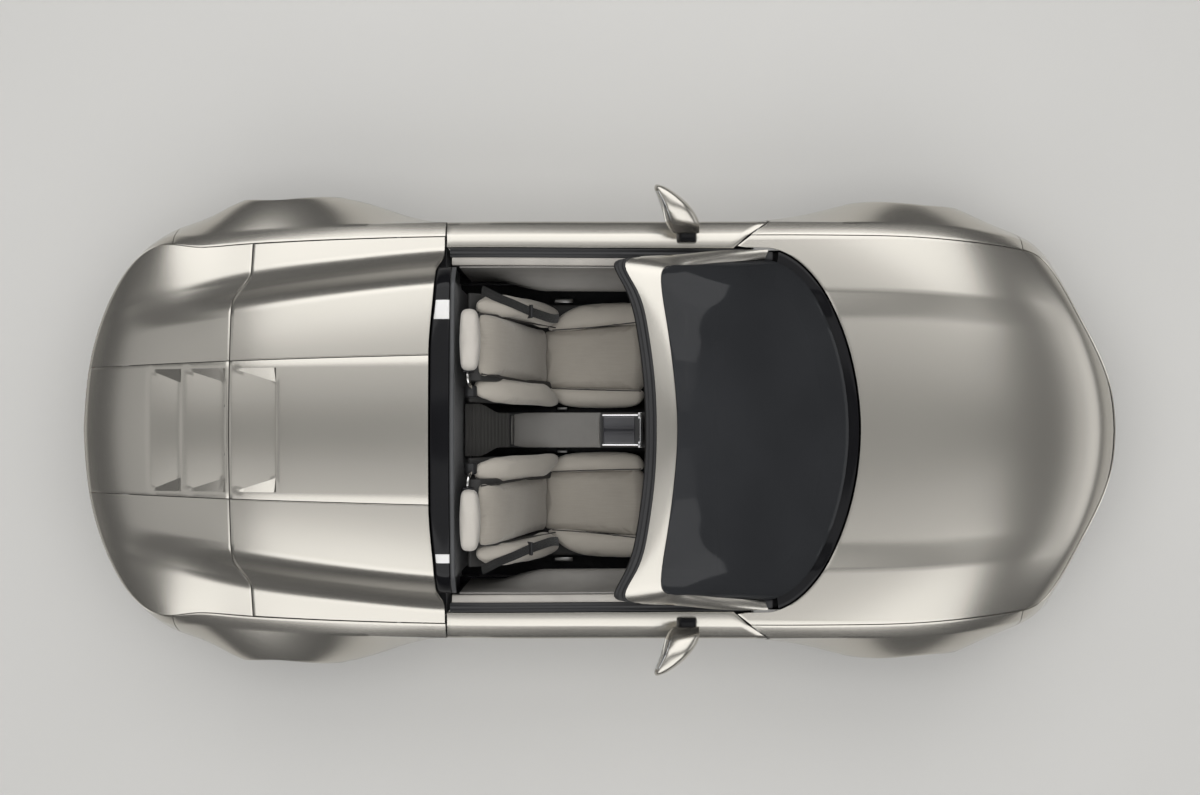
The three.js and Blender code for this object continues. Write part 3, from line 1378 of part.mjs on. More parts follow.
const trayRearX = along(stowage.x0) + stowage.wall / 2;
const traySideY = stowage.half - stowage.wall / 2;
const louvreFlankY = across(louvreHalf) + 8;

// ---- The car ----

const sides = [["left", 1], ["right", -1]];

addNode("floor_tub", floorTub(), darkSteel());
addNode("undertray", undertray(), mattBlack());
addNode("front_subframe", frontSubframe(), darkSteel());
addNode("rear_subframe", rearSubframe(), darkSteel());
addNode("power_unit", powerUnit(), darkSteel());
addNode("luggage_tub", luggageTub(), mattBlack());
addNode("stowage_tray", stowageTray(), mattBlack());

for (const [name, side] of sides) {
  const fender = joined([frontFender(side), sideBracket(along(780), side)]);
  addNode("front_fender_" + name, fender, bodyPaint());
  const quarter = joined([rearQuarter(side), sideBracket(along(-780), side)]);
  addNode("rear_quarter_" + name, quarter, bodyPaint());
  addNode("sill_" + name, sill(side), bodyPaint());
  const tail = [tailSide(side), tailLeaf(side * sideLeafY), tailFoot(trayRearX + 15, side * traySideY, 4)];
  addNode("tail_panel_" + name, joined(tail), bodyPaint());
  const span = side > 0 ? headlampSpan : mirrored(headlampSpan);
  const middle = (span[0] + span[1]) / 2;
  const headlamp = joined([lamp(true, span, headlampRows, 4), ...lampArm(true, middle, 0.32)]);
  addNode("headlamp_" + name, headlamp, lampGlass());
}
addNode("tail_panel_centre", joined([
  tailCentre(), tailLeaf(stripLeafY), tailLeaf(-stripLeafY),
  tailFoot(trayRearX, louvreFlankY, 4), tailFoot(trayRearX, -louvreFlankY, 4),
]), bodyPaint());
addNode("front_bumper", joined([
  frontBumper(), bumperLeaf(1), bumperLeaf(-1), ...bumperBrackets(true, 345, 415, 450),
]), bodyPaint());
addNode("rear_bumper", joined([rearBumper(), ...bumperBrackets(false, 210, 420, 455)]), bodyPaint());
addNode("front_grille", joined([lamp(true, grilleSpan, grilleRows, 6), grilleArm()]), mattBlack());
const tailLamp = joined([lamp(false, tailLampSpan, tailLampRows, 14), ...lampArm(false, 0, 0.34)]);
addNode("tail_lamp", tailLamp, redGlass());

addNode("windscreen_frame", windscreenFrame(), bodyPaint());
addNode("windscreen", windscreen(), clearGlass());
addNode("cowl", cowl(), glossBlack());
addNode("bulkhead_trim", bulkheadTrim(), glossBlack());
addNode("dashboard", dashboard(), darkTrim());
addNode("steering_column", columnSolid(), mattBlack());
addNode("centre_console", centreConsole(), darkTrim());
addNode("control_box", controlBox(), alloy());
addNode("driver_seat", seat(seatCentre), trimCloth());
addNode("passenger_seat", seat(-seatCentre), trimCloth());

const wheel = addNode("steering_wheel", steeringWheel(), darkTrim());
wheel.position.set(wheelHub.x, wheelHub.y, wheelHub.z);
wheel.rotation.y = columnTilt;

addNode("hood", joined([hoodShell(), hoodLeaf(1), hoodLeaf(-1)]), bodyPaint());
addNode("deck_panel_centre", joined([deckCentre(), lidLeaf(stripLeafY), lidLeaf(-stripLeafY)]), bodyPaint());
for (const [name, side] of sides) {
  addNode("deck_panel_" + name, joined([deckSide(side), lidLeaf(side * sideLeafY)]), bodyPaint());
  addNode("door_" + name, door(side), bodyPaint());
  addNode("mirror_" + name, seatedMirror(side), bodyPaint());
}

const corners = [
  { name: "front", axle: frontAxle, tyre: frontTyre, wheelY: frontWheelY },
  { name: "rear", axle: rearAxle, tyre: rearTyre, wheelY: rearWheelY },
];
for (const { name, axle, tyre, wheelY } of corners) {
  for (const [sideName, side] of sides) {
    const corner = new THREE.Group();
    corner.position.set(axle, side * wheelY, tyre.radius);
    car.add(corner);
    const behind = name === "front" ? -1 : 1;
    const upright = uprightSolid(tyre, hubFaceFromMiddle, behind * side);
    if (side < 0) upright.rotateZ(Math.PI);
    addNode(`${name}_knuckle_${sideName}`, upright, darkSteel(), corner);
    addNode(`${name}_rim_${sideName}`, rimSolid(tyre, hubFaceFromMiddle, side), alloy(), corner);
    addNode(`${name}_tyre_${sideName}`, tyreSolid(tyre), rubber(), corner);
  }
}

export default car;
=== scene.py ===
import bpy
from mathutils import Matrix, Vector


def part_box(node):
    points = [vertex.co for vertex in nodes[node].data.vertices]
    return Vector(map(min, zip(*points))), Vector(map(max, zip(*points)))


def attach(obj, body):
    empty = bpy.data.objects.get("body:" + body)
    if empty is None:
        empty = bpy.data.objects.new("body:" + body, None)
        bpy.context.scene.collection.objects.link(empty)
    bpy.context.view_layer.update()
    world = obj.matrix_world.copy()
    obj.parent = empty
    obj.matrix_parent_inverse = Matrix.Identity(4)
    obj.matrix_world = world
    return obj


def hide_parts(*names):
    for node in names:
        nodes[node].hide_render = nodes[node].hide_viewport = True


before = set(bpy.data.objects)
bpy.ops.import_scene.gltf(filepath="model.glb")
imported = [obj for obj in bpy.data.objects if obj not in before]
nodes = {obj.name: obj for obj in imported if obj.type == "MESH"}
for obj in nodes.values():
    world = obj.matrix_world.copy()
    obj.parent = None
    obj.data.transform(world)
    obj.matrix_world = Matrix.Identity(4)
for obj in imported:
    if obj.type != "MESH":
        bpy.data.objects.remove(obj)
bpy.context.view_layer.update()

import math

import bmesh
import bpy
import numpy as np
from mathutils import Vector

bpy.ops.object.select_all(action="DESELECT")
mm = 0.001  # lengths below are in millimetres, and meshes are in metres
sideNames = {1: "left", -1: "right"}


# curves

def mix(a, b, t):
    return a + (b - a) * t


def smooth(low, high, x):
    t = np.clip((x - low) / (high - low), 0, 1)
    return t * t * (3 - 2 * t)


def curveThrough(xs, ys):
    # natural cubic spline, straight beyond its ends
    xs, ys = np.array(xs, float), np.array(ys, float)
    n, h = len(xs), np.diff(xs)
    system, jumps = np.eye(n), np.zeros(n)
    for i in range(1, n - 1):
        system[i, i - 1 : i + 2] = h[i - 1], 2 * (h[i - 1] + h[i]), h[i]
        jumps[i] = 6 * ((ys[i + 1] - ys[i]) / h[i] - (ys[i] - ys[i - 1]) / h[i - 1])
    bend = np.linalg.solve(system, jumps)

    def at(x):
        x = np.asarray(x, float)
        i = np.clip(np.searchsorted(xs, x) - 1, 0, n - 2)
        held = np.clip(x, xs[0], xs[-1])
        a, b = (xs[i + 1] - held) / h[i], (held - xs[i]) / h[i]
        y = a * ys[i] + b * ys[i + 1] + ((a**3 - a) * bend[i] + (b**3 - b) * bend[i + 1]) * h[i] ** 2 / 6
        slope = (ys[i + 1] - ys[i]) / h[i] + np.where(x < xs[0], -bend[1] * h[i] / 6, bend[-2] * h[i] / 6)
        return y + (x - held) * slope

    return at


# the body's shape

noseZ = curveThrough(
    [300, 700, 1000, 1300, 1500, 1700, 1900, 2050, 2150, 2222],
    [872, 872, 868, 856, 838, 806, 756, 700, 645, 575])
tailZ = curveThrough(
    [-2191, -2110, -1950, -1700, -1400, -1050, -650, -300],
    [682, 740, 824, 925, 1015, 1075, 1105, 1110])
crest = {"x": [600, 918, 1366, 1640, 1815, 1960, 2222], "y": [580, 575, 567, 552, 542, 530, 500],
         "rise": [14, 14, 13, 10, 5, 0, 0]}
crestY, crestRise = [curveThrough(crest["x"], crest[name]) for name in ("y", "rise")]
crestShape = {"width": 110, "curve": 1.3, "fall": 0.1 / 230}
flank = {"x": [-2191, -1960, -1760, -1580, -1400, -1047, -650, -300],
         "y": [430, 475, 518, 548, 576, 619, 656, 668],
         "half": [80, 90, 96, 100, 100, 95, 92, 92],
         "drop": [0, 8, 38, 70, 90, 108, 120, 125],
         "crown": [4, 8, 12, 18, 22, 28, 30, 30],
         "fall": [0, 0.05, 0.08, 0.12, 0.12, 0.12, 0.12, 0.12]}
flankY, flankHalf, flankDrop, deckCrown, haunchFall = [
    curveThrough(flank["x"], flank[name]) for name in ("y", "half", "drop", "crown", "fall")]
crownHalf = 530
meeting = (-550, 450)  # the rear's height passes into the front's between these
sweep = {"nose": 0.0005, "tail": 0.0003}


def frontHeight(x, y):
    crestAt = crestY(x)
    inside = np.clip((y - crestAt + crestShape["width"]) / crestShape["width"], 0, None) ** crestShape["curve"]
    rise = np.where(y < crestAt, inside, 1 - crestShape["fall"] * (y - crestAt))
    return noseZ(x + sweep["nose"] * y * y) + crestRise(x) * rise


def rearHeight(x, y):
    middle, half = flankY(x), flankHalf(x)
    outside = smooth(middle - half, middle + half, y)
    crown = deckCrown(x) * (np.minimum(y, middle) / crownHalf) ** 2
    fall = haunchFall(x) * np.maximum(0, y - middle - half / 2)
    return tailZ(x - sweep["tail"] * y * y) - crown - flankDrop(x) * outside - fall


def topHeight(x, y):
    x, y = np.broadcast_arrays(np.asarray(x, float), np.abs(np.asarray(y, float)))
    return mix(rearHeight(x, y), frontHeight(x, y), smooth(*meeting, x))


# one row a station, from the middle of the tail round the left side to the middle of the nose
wallNames = ["x", "y", "turn", "creaseOut", "creaseDrop", "wideOut", "wideZ", "footOut", "footZ"]
wallRows = [
    [-2186, 0, 180, 12, 55, 54, 440, 20, 210],
    [-2158, 290, 170, 12, 55, 50, 440, 18, 210],
    [-2052, 590, 146, 12, 58, 42, 450, 8, 210],
    [-1952, 722, 122, 16, 60, 42, 490, -10, 200],
    [-1845, 776, 102, 32, 44, 70, 560, -20, 190],
    [-1700, 765, 90, 50, 34, 132, 620, 10, 170],
    [-1560, 767, 90, 56, 30, 186, 670, 60, 160],
    [-1441, 773, 90, 56, 28, 222, 695, 90, 150],
    [-1296, 777, 90, 58, 28, 236, 705, 100, 150],
    [-1130, 781, 90, 59, 28, 208, 695, 90, 150],
    [-980, 784, 90, 60, 28, 175, 670, 70, 150],
    [-830, 787, 90, 60, 29, 126, 640, 50, 150],
    [-690, 789, 90, 61, 31, 96, 610, 45, 150],
    [-300, 793, 90, 62, 34, 86, 600, 45, 150],
    [150, 797, 90, 61, 34, 86, 600, 50, 150],
    [600, 801, 90, 58, 31, 86, 610, 60, 150],
    [820, 802, 90, 56, 29, 106, 630, 62, 150],
    [1035, 802, 90, 56, 28, 154, 650, 74, 150],
    [1272, 800, 90, 57, 28, 196, 670, 90, 150],
    [1466, 791, 90, 58, 29, 174, 640, 70, 150],
    [1640, 778, 90, 56, 33, 120, 600, 30, 160],
    [1780, 763, 86, 48, 42, 88, 540, 0, 180],
    [1870, 738, 70, 34, 58, 68, 500, -16, 190],
    [1950, 655, 48, 24, 55, 56, 460, -10, 190],
    [2035, 510, 32, 18, 50, 44, 440, 0, 190],
    [2130, 346, 26, 15, 48, 34, 430, 6, 190],
    [2199, 190, 14, 12, 48, 26, 430, 10, 190],
    [2222, 0, 0, 12, 48, 28, 430, 12, 190],
]
wallTable = np.array(wallRows, float)
wallChord = np.concatenate([[0], np.cumsum(np.hypot(np.diff(wallTable[:, 0]), np.diff(wallTable[:, 1])))])
wall = {name: curveThrough(wallChord, wallTable[:, i]) for i, name in enumerate(wallNames)}
wallEnd = wallChord[-1]
creaseRow, wideRow, bandCurve, flareCurve = 0.2, 0.6, 0.2, 1.4


def halving(low, high, isBelow, steps=40):
    for _ in range(steps):
        middle = (low + high) / 2
        below = isBelow(middle)
        low, high = np.where(below, middle, low), np.where(below, high, middle)
    return (low + high) / 2


def wallAt(x):
    # the place along the wall where its upper edge has this x
    x = np.asarray(x, float)
    return halving(np.zeros_like(x), np.full_like(x, wallEnd), lambda s: wall["x"](s) < x)


def wallProfile(place, v):
    creaseOut, wideOut, wideZ = wall["creaseOut"](place), wall["wideOut"](place), wall["wideZ"](place)
    top = topHeight(wall["x"](place), wall["y"](place))
    creaseZ = top - wall["creaseDrop"](place)
    t = v / creaseRow
    upperOut, upperZ = creaseOut * t, mix(top, creaseZ, t * (1 - bandCurve + bandCurve * t))
    t = (v - creaseRow) / (wideRow - creaseRow)
    middleOut, middleZ = mix(wideOut, creaseOut, np.clip(1 - t, 0, 1) ** flareCurve), mix(creaseZ, wideZ, t)
    t = (v - wideRow) / (1 - wideRow)
    lowerOut, lowerZ = mix(wideOut, wall["footOut"](place), t * t), mix(wideZ, wall["footZ"](place), t)
    out = np.where(v <= creaseRow, upperOut, np.where(v <= wideRow, middleOut, lowerOut))
    return out, np.where(v <= creaseRow, upperZ, np.where(v <= wideRow, middleZ, lowerZ))


def wallPoint(place, v, side=1, gap=0.0, depth=0.0):
    place, v = np.broadcast_arrays(np.asarray(place, float), np.asarray(v, float))
    out, z = wallProfile(place, v)
    turn = np.radians(wall["turn"](place))
    lean = np.minimum(1, v / creaseRow) * np.pi / 2
    reach = out + gap - depth * np.sin(lean)
    x, y = wall["x"](place) + reach * np.cos(turn), wall["y"](place) + reach * np.sin(turn)
    return np.stack([x, side * y, z - depth * np.cos(lean)], -1)


def rowAtHeight(place, z):
    place, z = np.broadcast_arrays(np.asarray(place, float), np.asarray(z, float))
    low, high = np.full_like(place, creaseRow), np.ones_like(place)
    return halving(low, high, lambda v: wallProfile(place, v)[1] > z)


def topPoint(x, y, depth=0.0):
    return np.stack(np.broadcast_arrays(x, y, topHeight(x, y) - depth), -1)


# mesh helpers

def pick(obj):
    bpy.ops.object.select_all(action="DESELECT")
    obj.select_set(True)
    bpy.context.view_layer.objects.active = obj
    return obj


def named(obj, name):
    obj.name = obj.data.name = name
    return obj


def settled(obj):
    # the place goes into the mesh
    pick(obj)
    bpy.ops.object.transform_apply(location=True, rotation=True, scale=True)
    return obj


def withModifier(obj, kind, **settings):
    pick(obj)
    modifier = obj.modifiers.new(kind.title(), kind)
    for key, value in settings.items():
        setattr(modifier, key, value)
    bpy.ops.object.modifier_apply(modifier=modifier.name)
    return obj


def smoothed(obj, degrees=32):
    pick(obj)
    bpy.ops.object.shade_smooth_by_angle(angle=math.radians(degrees))
    return obj


def edited(obj, *steps):
    # mesh tools run one after another in edit mode, each on everything
    pick(obj)
    bpy.ops.object.mode_set(mode="EDIT")
    for step in steps:
        bpy.ops.mesh.select_all(action="SELECT")
        step()
    bpy.ops.object.mode_set(mode="OBJECT")
    return obj


def weld(distance=1e-5):
    bpy.ops.mesh.remove_doubles(threshold=distance)


def closeHoles():
    bpy.ops.mesh.fill_holes(sides=0)


def turnOutwards():
    bpy.ops.mesh.normals_make_consistent(inside=False)


def facing(obj, outward):
    # turns an open sheet so that its faces look the given way
    normals = sum((f.normal * f.area for f in obj.data.polygons), Vector())
    return edited(obj, bpy.ops.mesh.flip_normals) if normals.dot(Vector(outward)) < 0 else obj


def joined(name, pieces):
    pick(pieces[0])
    for piece in pieces:
        piece.select_set(True)
    bpy.ops.object.join()
    return named(bpy.context.object, name)


def gridSheet(name, shape, columns, rows, outward):
    # a grid whose points take their places from shape(u, v), in millimetres
    bpy.ops.mesh.primitive_grid_add(x_subdivisions=columns, y_subdivisions=rows, size=1)
    obj = named(bpy.context.object, name)
    flat = np.zeros(len(obj.data.vertices) * 3)
    obj.data.vertices.foreach_get("co", flat)
    u, v = flat.reshape(-1, 3)[:, 0] + 0.5, flat.reshape(-1, 3)[:, 1] + 0.5
    obj.data.vertices.foreach_set("co", (shape(u, v) * mm).ravel())
    obj.data.update()
    return facing(obj, outward)


def sampled(grid):
    # rows of points as a shape(u, v) for a sheet with as many columns and rows
    grid = np.array(grid, float)
    rows, columns = grid.shape[0] - 1, grid.shape[1] - 1
    return lambda u, v: grid[np.rint(v * rows).astype(int), np.rint(u * columns).astype(int)]


def loft(name, rings):
    # closed rings of points joined one after another
    rings = np.array(rings, float)
    rings = np.concatenate([rings, rings[:, :1]], axis=1)
    sheet = gridSheet(name, sampled(rings), rings.shape[1] - 1, rings.shape[0] - 1, (0, 0, 1))
    return edited(sheet, weld, closeHoles, turnOutwards)


def rounded(obj, edge, segments, degrees):
    # edges sharper than the angle get a small round
    return withModifier(obj, "BEVEL", width=edge * mm, segments=segments, limit_method="ANGLE",
                        angle_limit=math.radians(degrees))


def block(name, low, high, edge=0.0, segments=3):
    bpy.ops.mesh.primitive_cube_add(size=mm, location=[(a + b) / 2 * mm for a, b in zip(low, high)])
    obj = named(bpy.context.object, name)
    obj.scale = [abs(b - a) for a, b in zip(low, high)]
    settled(obj)
    return smoothed(rounded(obj, edge, segments, 30) if edge else obj)


def sideBlock(name, side, xs, ys, zs, edge=0.0, segments=3):
    # a block on one side of the car; ys are distances from the middle
    near, far = sorted([side * ys[0], side * ys[1]])
    return block(name, (xs[0], near, zs[0]), (xs[1], far, zs[1]), edge, segments)


def prism(name, outline, axis, low, high, edge=0.0, segments=3):
    # an outline square to an axis, pushed from low to high along it
    bpy.ops.mesh.primitive_circle_add(vertices=len(outline), radius=1, fill_type="NGON")
    obj = named(bpy.context.object, name)
    for vertex, point in zip(obj.data.vertices, outline):
        place = list(point)
        place.insert(axis, low)
        vertex.co = Vector(place) * mm
    push = [0, 0, 0]
    push[axis] = (high - low) * mm
    edited(obj, lambda: bpy.ops.mesh.extrude_region_move(TRANSFORM_OT_translate={"value": push}), turnOutwards)
    return smoothed(rounded(obj, edge, segments, 25) if edge else obj)


def spun(name, outline, centre, axis, steps=48):
    # a closed outline of (radius, along) points turned about an axis through the centre
    bpy.ops.mesh.primitive_circle_add(vertices=len(outline), radius=1, fill_type="NOTHING")
    obj = named(bpy.context.object, name)
    axis, centre = Vector(axis).normalized(), Vector(centre) * mm
    across = axis.orthogonal().normalized()
    for vertex, (radius, along) in zip(obj.data.vertices, outline):
        vertex.co = centre + across * (radius * mm) + axis * (along * mm)
    edited(obj, lambda: bpy.ops.mesh.spin(steps=steps, angle=2 * math.pi, center=centre, axis=axis),
           lambda: weld(1e-6), turnOutwards)
    return smoothed(obj)


def tube(name, points, radius, resolution=4):
    curve = bpy.data.curves.new(name, "CURVE")
    curve.dimensions = "3D"
    spline = curve.splines.new("NURBS")
    spline.points.add(len(points) - 1)
    for made, point in zip(spline.points, points):
        made.co = (*(np.asarray(point, float) * mm), 1)
    spline.use_endpoint_u, spline.order_u, spline.resolution_u = True, 4, 6
    curve.bevel_depth, curve.bevel_resolution, curve.use_fill_caps = radius * mm, resolution, True
    obj = bpy.data.objects.new(name, curve)
    bpy.context.scene.collection.objects.link(obj)
    pick(obj)
    bpy.ops.object.convert(target="MESH")
    return smoothed(edited(named(bpy.context.object, name), weld, turnOutwards), 60)


def cutOut(obj, cutter):
    withModifier(obj, "BOOLEAN", object=cutter, operation="DIFFERENCE", solver="EXACT")
    bpy.data.objects.remove(cutter)
    return obj


def sheetMetal(obj, thickness, edge, cutters=()):
    # gives a skin its thickness inwards, cuts it and rounds its edges
    withModifier(obj, "SOLIDIFY", thickness=thickness * mm, offset=-1)
    for cutter in cutters:
        cutOut(obj, cutter)
    return smoothed(rounded(obj, edge, 2, 60), 24)


def pieces(obj, body, slot, *replaced, material=None):
    obj.data.materials.clear()
    obj.data.materials.append(material)
    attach(obj, body)
    if replaced:
        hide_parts(*replaced)


# finishes

class Signal:
    # a shader socket that takes part in sums; each sum adds its Math node
    def __init__(self, finish, socket):
        self.finish, self.socket = finish, socket

    def sum(self, operation, first, second):
        return self.finish.node("ShaderNodeMath", {0: first, 1: second}, operation=operation)

    def __add__(self, other): return self.sum("ADD", self, other)
    def __radd__(self, other): return self.sum("ADD", other, self)
    def __sub__(self, other): return self.sum("SUBTRACT", self, other)
    def __rsub__(self, other): return self.sum("SUBTRACT", other, self)
    def __mul__(self, other): return self.sum("MULTIPLY", self, other)
    def __rmul__(self, other): return self.sum("MULTIPLY", other, self)


class Finish:
    def __init__(self, name, **constants):
        self.material = bpy.data.materials.new(name)
        self.material.use_nodes = True
        self.tree = self.material.node_tree
        self.shader = self.tree.nodes["Principled BSDF"]
        for key, value in constants.items():
            self.shader.inputs[key.replace("_", " ").title().replace("Ior", "IOR")].default_value = value

    def node(self, kind, values=None, output=0, **settings):
        made = self.tree.nodes.new(kind)
        for key, value in settings.items():
            setattr(made, key, value)
        for key, value in (values or {}).items():
            self.feed(made.inputs[key], value)
        return Signal(self, made.outputs[output])

    def feed(self, socket, value):
        if isinstance(value, Signal):
            self.tree.links.new(value.socket, socket)
        else:
            socket.default_value = value

    def give(self, name, value):
        self.feed(self.shader.inputs[name], value)

    def place(self):
        return self.node("ShaderNodeTexCoord", output="Object")

    def axes(self):
        split = self.node("ShaderNodeSeparateXYZ", {0: self.place()})
        return [Signal(self, out) for out in split.socket.node.outputs]

    def noise(self, scale, detail=3, roughness=0.5, at=None):
        values = {"Vector": at or self.place(), "Scale": scale, "Detail": detail, "Roughness": roughness}
        return self.node("ShaderNodeTexNoise", values)

    def blendOf(self, factor, a, b):
        return self.node("ShaderNodeMix", {0: factor, 6: a, 7: b}, output=2, data_type="RGBA")

    def remap(self, value, low, high, newLow, newHigh):
        return self.node("ShaderNodeMapRange", {0: value, 1: low, 2: high, 3: newLow, 4: newHigh})

    def bump(self, height, strength, distance):
        self.give("Normal", self.node("ShaderNodeBump", {"Height": height, "Strength": strength, "Distance": distance}))


def opaque(color):
    return (*color, 1)


def shade(color, factor):
    return (*[min(1, c * factor) for c in color], 1)


paint = {"color": (0.56, 0.535, 0.485), "metal": 0.95, "roughness": 0.25, "flake": 420, "peel": 90, "dustTop": 0.34}


def bodyPaintFinish():
    finish = Finish("bodyPaint", metallic=paint["metal"], coat_weight=0.25, coat_roughness=0.12)
    flake = finish.noise(paint["flake"], 2)
    cloud = finish.noise(1.4, 1)
    tint = finish.blendOf(finish.remap(flake, 0.1, 0.9, 0, 1), shade(paint["color"], 0.95), shade(paint["color"], 1.05))
    tint = finish.blendOf(finish.remap(cloud, 0.1, 0.9, 0, 0.15), tint, shade(paint["color"], 0.9))
    height = finish.axes()[2]
    low = finish.remap(height + finish.noise(9, 4) * 0.05, 0.2, paint["dustTop"], 0.3, 0)
    finish.give("Base Color", finish.blendOf(low, tint, opaque((0.3, 0.28, 0.24))))
    finish.give("Roughness",
                finish.remap(cloud, 0, 1, paint["roughness"] - 0.03, paint["roughness"] + 0.03) + low * 0.5)
    finish.bump(finish.noise(paint["peel"], 2), 0.012, 0.002)
    return finish.material


def plasticFinish(name, color, roughness, grain=700, depth=0.12, coat=0.0, shine=0.5):
    finish = Finish(name, coat_weight=coat, coat_roughness=0.05, specular_ior_level=shine)
    cloud = finish.noise(6, 4)
    finish.give("Base Color",
                finish.blendOf(finish.remap(cloud, 0.3, 0.7, 0, 1), shade(color, 0.85), shade(color, 1.12)))
    finish.give("Roughness", finish.remap(cloud, 0.3, 0.7, roughness * 0.92, min(1, roughness * 1.08)))
    if depth:
        finish.bump(finish.node("ShaderNodeTexVoronoi", {"Vector": finish.place(), "Scale": grain}), depth, 0.0006)
    return finish.material


def metalFinish(name, color, roughness, metal=1.0, brushed=0.0, grime=0.2):
    finish = Finish(name, metallic=metal)
    cloud = finish.noise(22, 5, 0.6)
    dirty = finish.remap(cloud, 0.42, 0.75, 0, grime)
    finish.give("Base Color", finish.blendOf(dirty, opaque(color), shade(color, 0.4)))
    finish.give("Roughness", finish.remap(cloud, 0.3, 0.7, roughness * 0.85, min(1, roughness * 1.2)))
    if brushed:
        finish.bump(finish.noise(400, 2), brushed, 0.0004)
    return finish.material


bodyPaint = bodyPaintFinish()
glossBlack = plasticFinish("glossBlack", (0.005, 0.005, 0.006), 0.1, depth=0, coat=0.0, shine=0.25)
mattBlack = plasticFinish("mattBlack", (0.018, 0.018, 0.019), 0.62)
rubberSeal = plasticFinish("rubberSeal", (0.013, 0.013, 0.014), 0.5, 300, 0.05)
chrome = metalFinish("chrome", (0.72, 0.71, 0.69), 0.12, grime=0.05)
print("finishes made")


# panels of the body

seam = {"fixed": 3.0, "shut": 4.6, "long": 3.8, "lid": 3.4}
cuts = {"bumper": 1790, "doorRear": -629, "doorFrontUpper": 618, "doorFrontLower": 700}
arches = {"front": (1272, 345, 40), "rear": (-1296, 355, 40)}  # axle, height of the hub, room round the tyre
archColumns = {"before": 6, "over": 40, "after": 5}
archEdge = {"reach": 1.5, "turnedIn": 18}
sideMetal = (3.5, 1.2)  # thickness and rounding of the outer panels


def doorFrontCut(v):
    return mix(cuts["doorFrontUpper"], cuts["doorFrontLower"], np.minimum(1, np.asarray(v) / creaseRow))


bandRows, sideRows = 6, 20


def rowShare(j, lastRow):
    # rows above the crease are even, and those below it crowd towards it
    below = (j - bandRows) / (sideRows - bandRows)
    return np.where(j <= bandRows, creaseRow * j / bandRows, mix(creaseRow, lastRow, np.clip(below, 0, 1) ** 1.25))


def archStations(start, end, axle, radius, hubZ):
    # x and the height where the panel ends, for each column; None is the panel's foot
    steps = archColumns["over"]
    stations = [(x, None) for x in np.linspace(start, axle - radius, archColumns["before"] + 1)]
    angles = np.pi * (1 - np.arange(0, steps + 1) / steps)
    stations += [(axle + (radius - 0.5) * math.cos(a), hubZ + radius * math.sin(a)) for a in angles]
    stations += [(x, None) for x in np.linspace(axle + radius, end, archColumns["after"] + 1)]
    return stations


def sidePanel(name, side, stations, edgeX=None):
    xs = np.array([x for x, _ in stations])
    place = wallAt(xs)
    last = np.array([1.0 if z is None else float(rowAtHeight(p, z)) for p, (_, z) in zip(place, stations)])
    columns = len(stations) - 1

    def shape(u, v):
        i, j = np.rint(u * columns).astype(int), np.rint(v * sideRows)
        row = rowShare(j, last[i])
        at = place[i]
        if edgeX is not None:
            before = archColumns["before"]
            at = np.where(i <= before, wallAt(mix(edgeX(row), xs[before], i / before)), at)
        return wallPoint(at, row, side, seam["long"] / 2)

    return gridSheet(name, shape, columns, sideRows, (0, side, 0))


def archLip(obj, axle, radius, hubZ, side):
    # the arch's edge is turned in towards the wheel
    pick(obj)
    mesh = bmesh.new()
    mesh.from_mesh(obj.data)
    for face in mesh.faces:
        face.select = False
    for edge in mesh.edges:
        places = [v.co / mm for v in edge.verts]
        reach = [math.hypot(p.x - axle, p.z - hubZ) for p in places]
        edge.select = edge.is_boundary and all(
            abs(r - radius) < archEdge["reach"] and p.z > hubZ - 2 for r, p in zip(reach, places))
    mesh.select_flush(False)
    mesh.to_mesh(obj.data)
    mesh.free()
    bpy.ops.object.mode_set(mode="EDIT")
    bpy.ops.mesh.extrude_edges_move(TRANSFORM_OT_translate={"value": (0, -side * archEdge["turnedIn"] * mm, 0)})
    bpy.ops.object.mode_set(mode="OBJECT")


def fenderEdge(row):
    return doorFrontCut(row) + seam["shut"] / 2


sidePanels = {"fender": ("front", float(fenderEdge(1)), cuts["bumper"] - seam["fixed"] / 2, fenderEdge),
              "quarter": ("rear", -cuts["bumper"] + seam["fixed"] / 2, cuts["doorRear"] - seam["shut"] / 2, None)}
for side, sideName in sideNames.items():
    for stem, (end, start, stop, edgeX) in sidePanels.items():
        axle, hubZ, clear = arches[end]
        stations = archStations(start, stop, axle, hubZ + clear, hubZ)
        panel = sidePanel(stem + "_" + sideName, side, stations, edgeX)
        archLip(panel, axle, hubZ + clear, hubZ, side)
        sheetMetal(panel, *sideMetal)
        pieces(panel, "body", "body_paint", f"{end}_{stem}_{sideName}", material=bodyPaint)
print("side panels made")


# nose and tail

def roundShare(t):
    # stations crowd towards the corners
    return np.sign(t) * (1 - (1 - np.abs(t)) ** 1.4)


def roundSheet(name, isNose, columns, rows, span=(-1, 1), rowSpan=(0, 1), gap=None, depth=0.0, crowd=True):
    middle = wallEnd if isNose else 0
    cut = float(wallAt(cuts["bumper"] + seam["fixed"] / 2 if isNose else -cuts["bumper"] - seam["fixed"] / 2))
    gap = seam["long"] / 2 if gap is None else gap

    def shape(u, v):
        t = mix(span[0], span[1], u)
        t = roundShare(t) if crowd else t
        row = mix(rowSpan[0], rowSpan[1], v)
        if rowSpan == (0, 1):
            row = np.where(v <= 0.25, v / 0.25 * creaseRow, mix(creaseRow, 1, (v - 0.25) / 0.75))
        return wallPoint(mix(middle, cut, np.abs(t)), row, np.where(t < 0, -1, 1), gap, depth)

    return gridSheet(name, shape, columns, rows, (1 if isNose else -1, 0, 0))


lampPlan = {"headlamp": ((0.62, 0.86), (0.22, 0.42)), "grille": ((-0.22, 0.22), (0.5, 0.92)),
            "tail": ((-0.84, 0.84), (0.3, 0.38))}


cutterSize = {"wider": 0.004, "above": 30, "thick": 70}


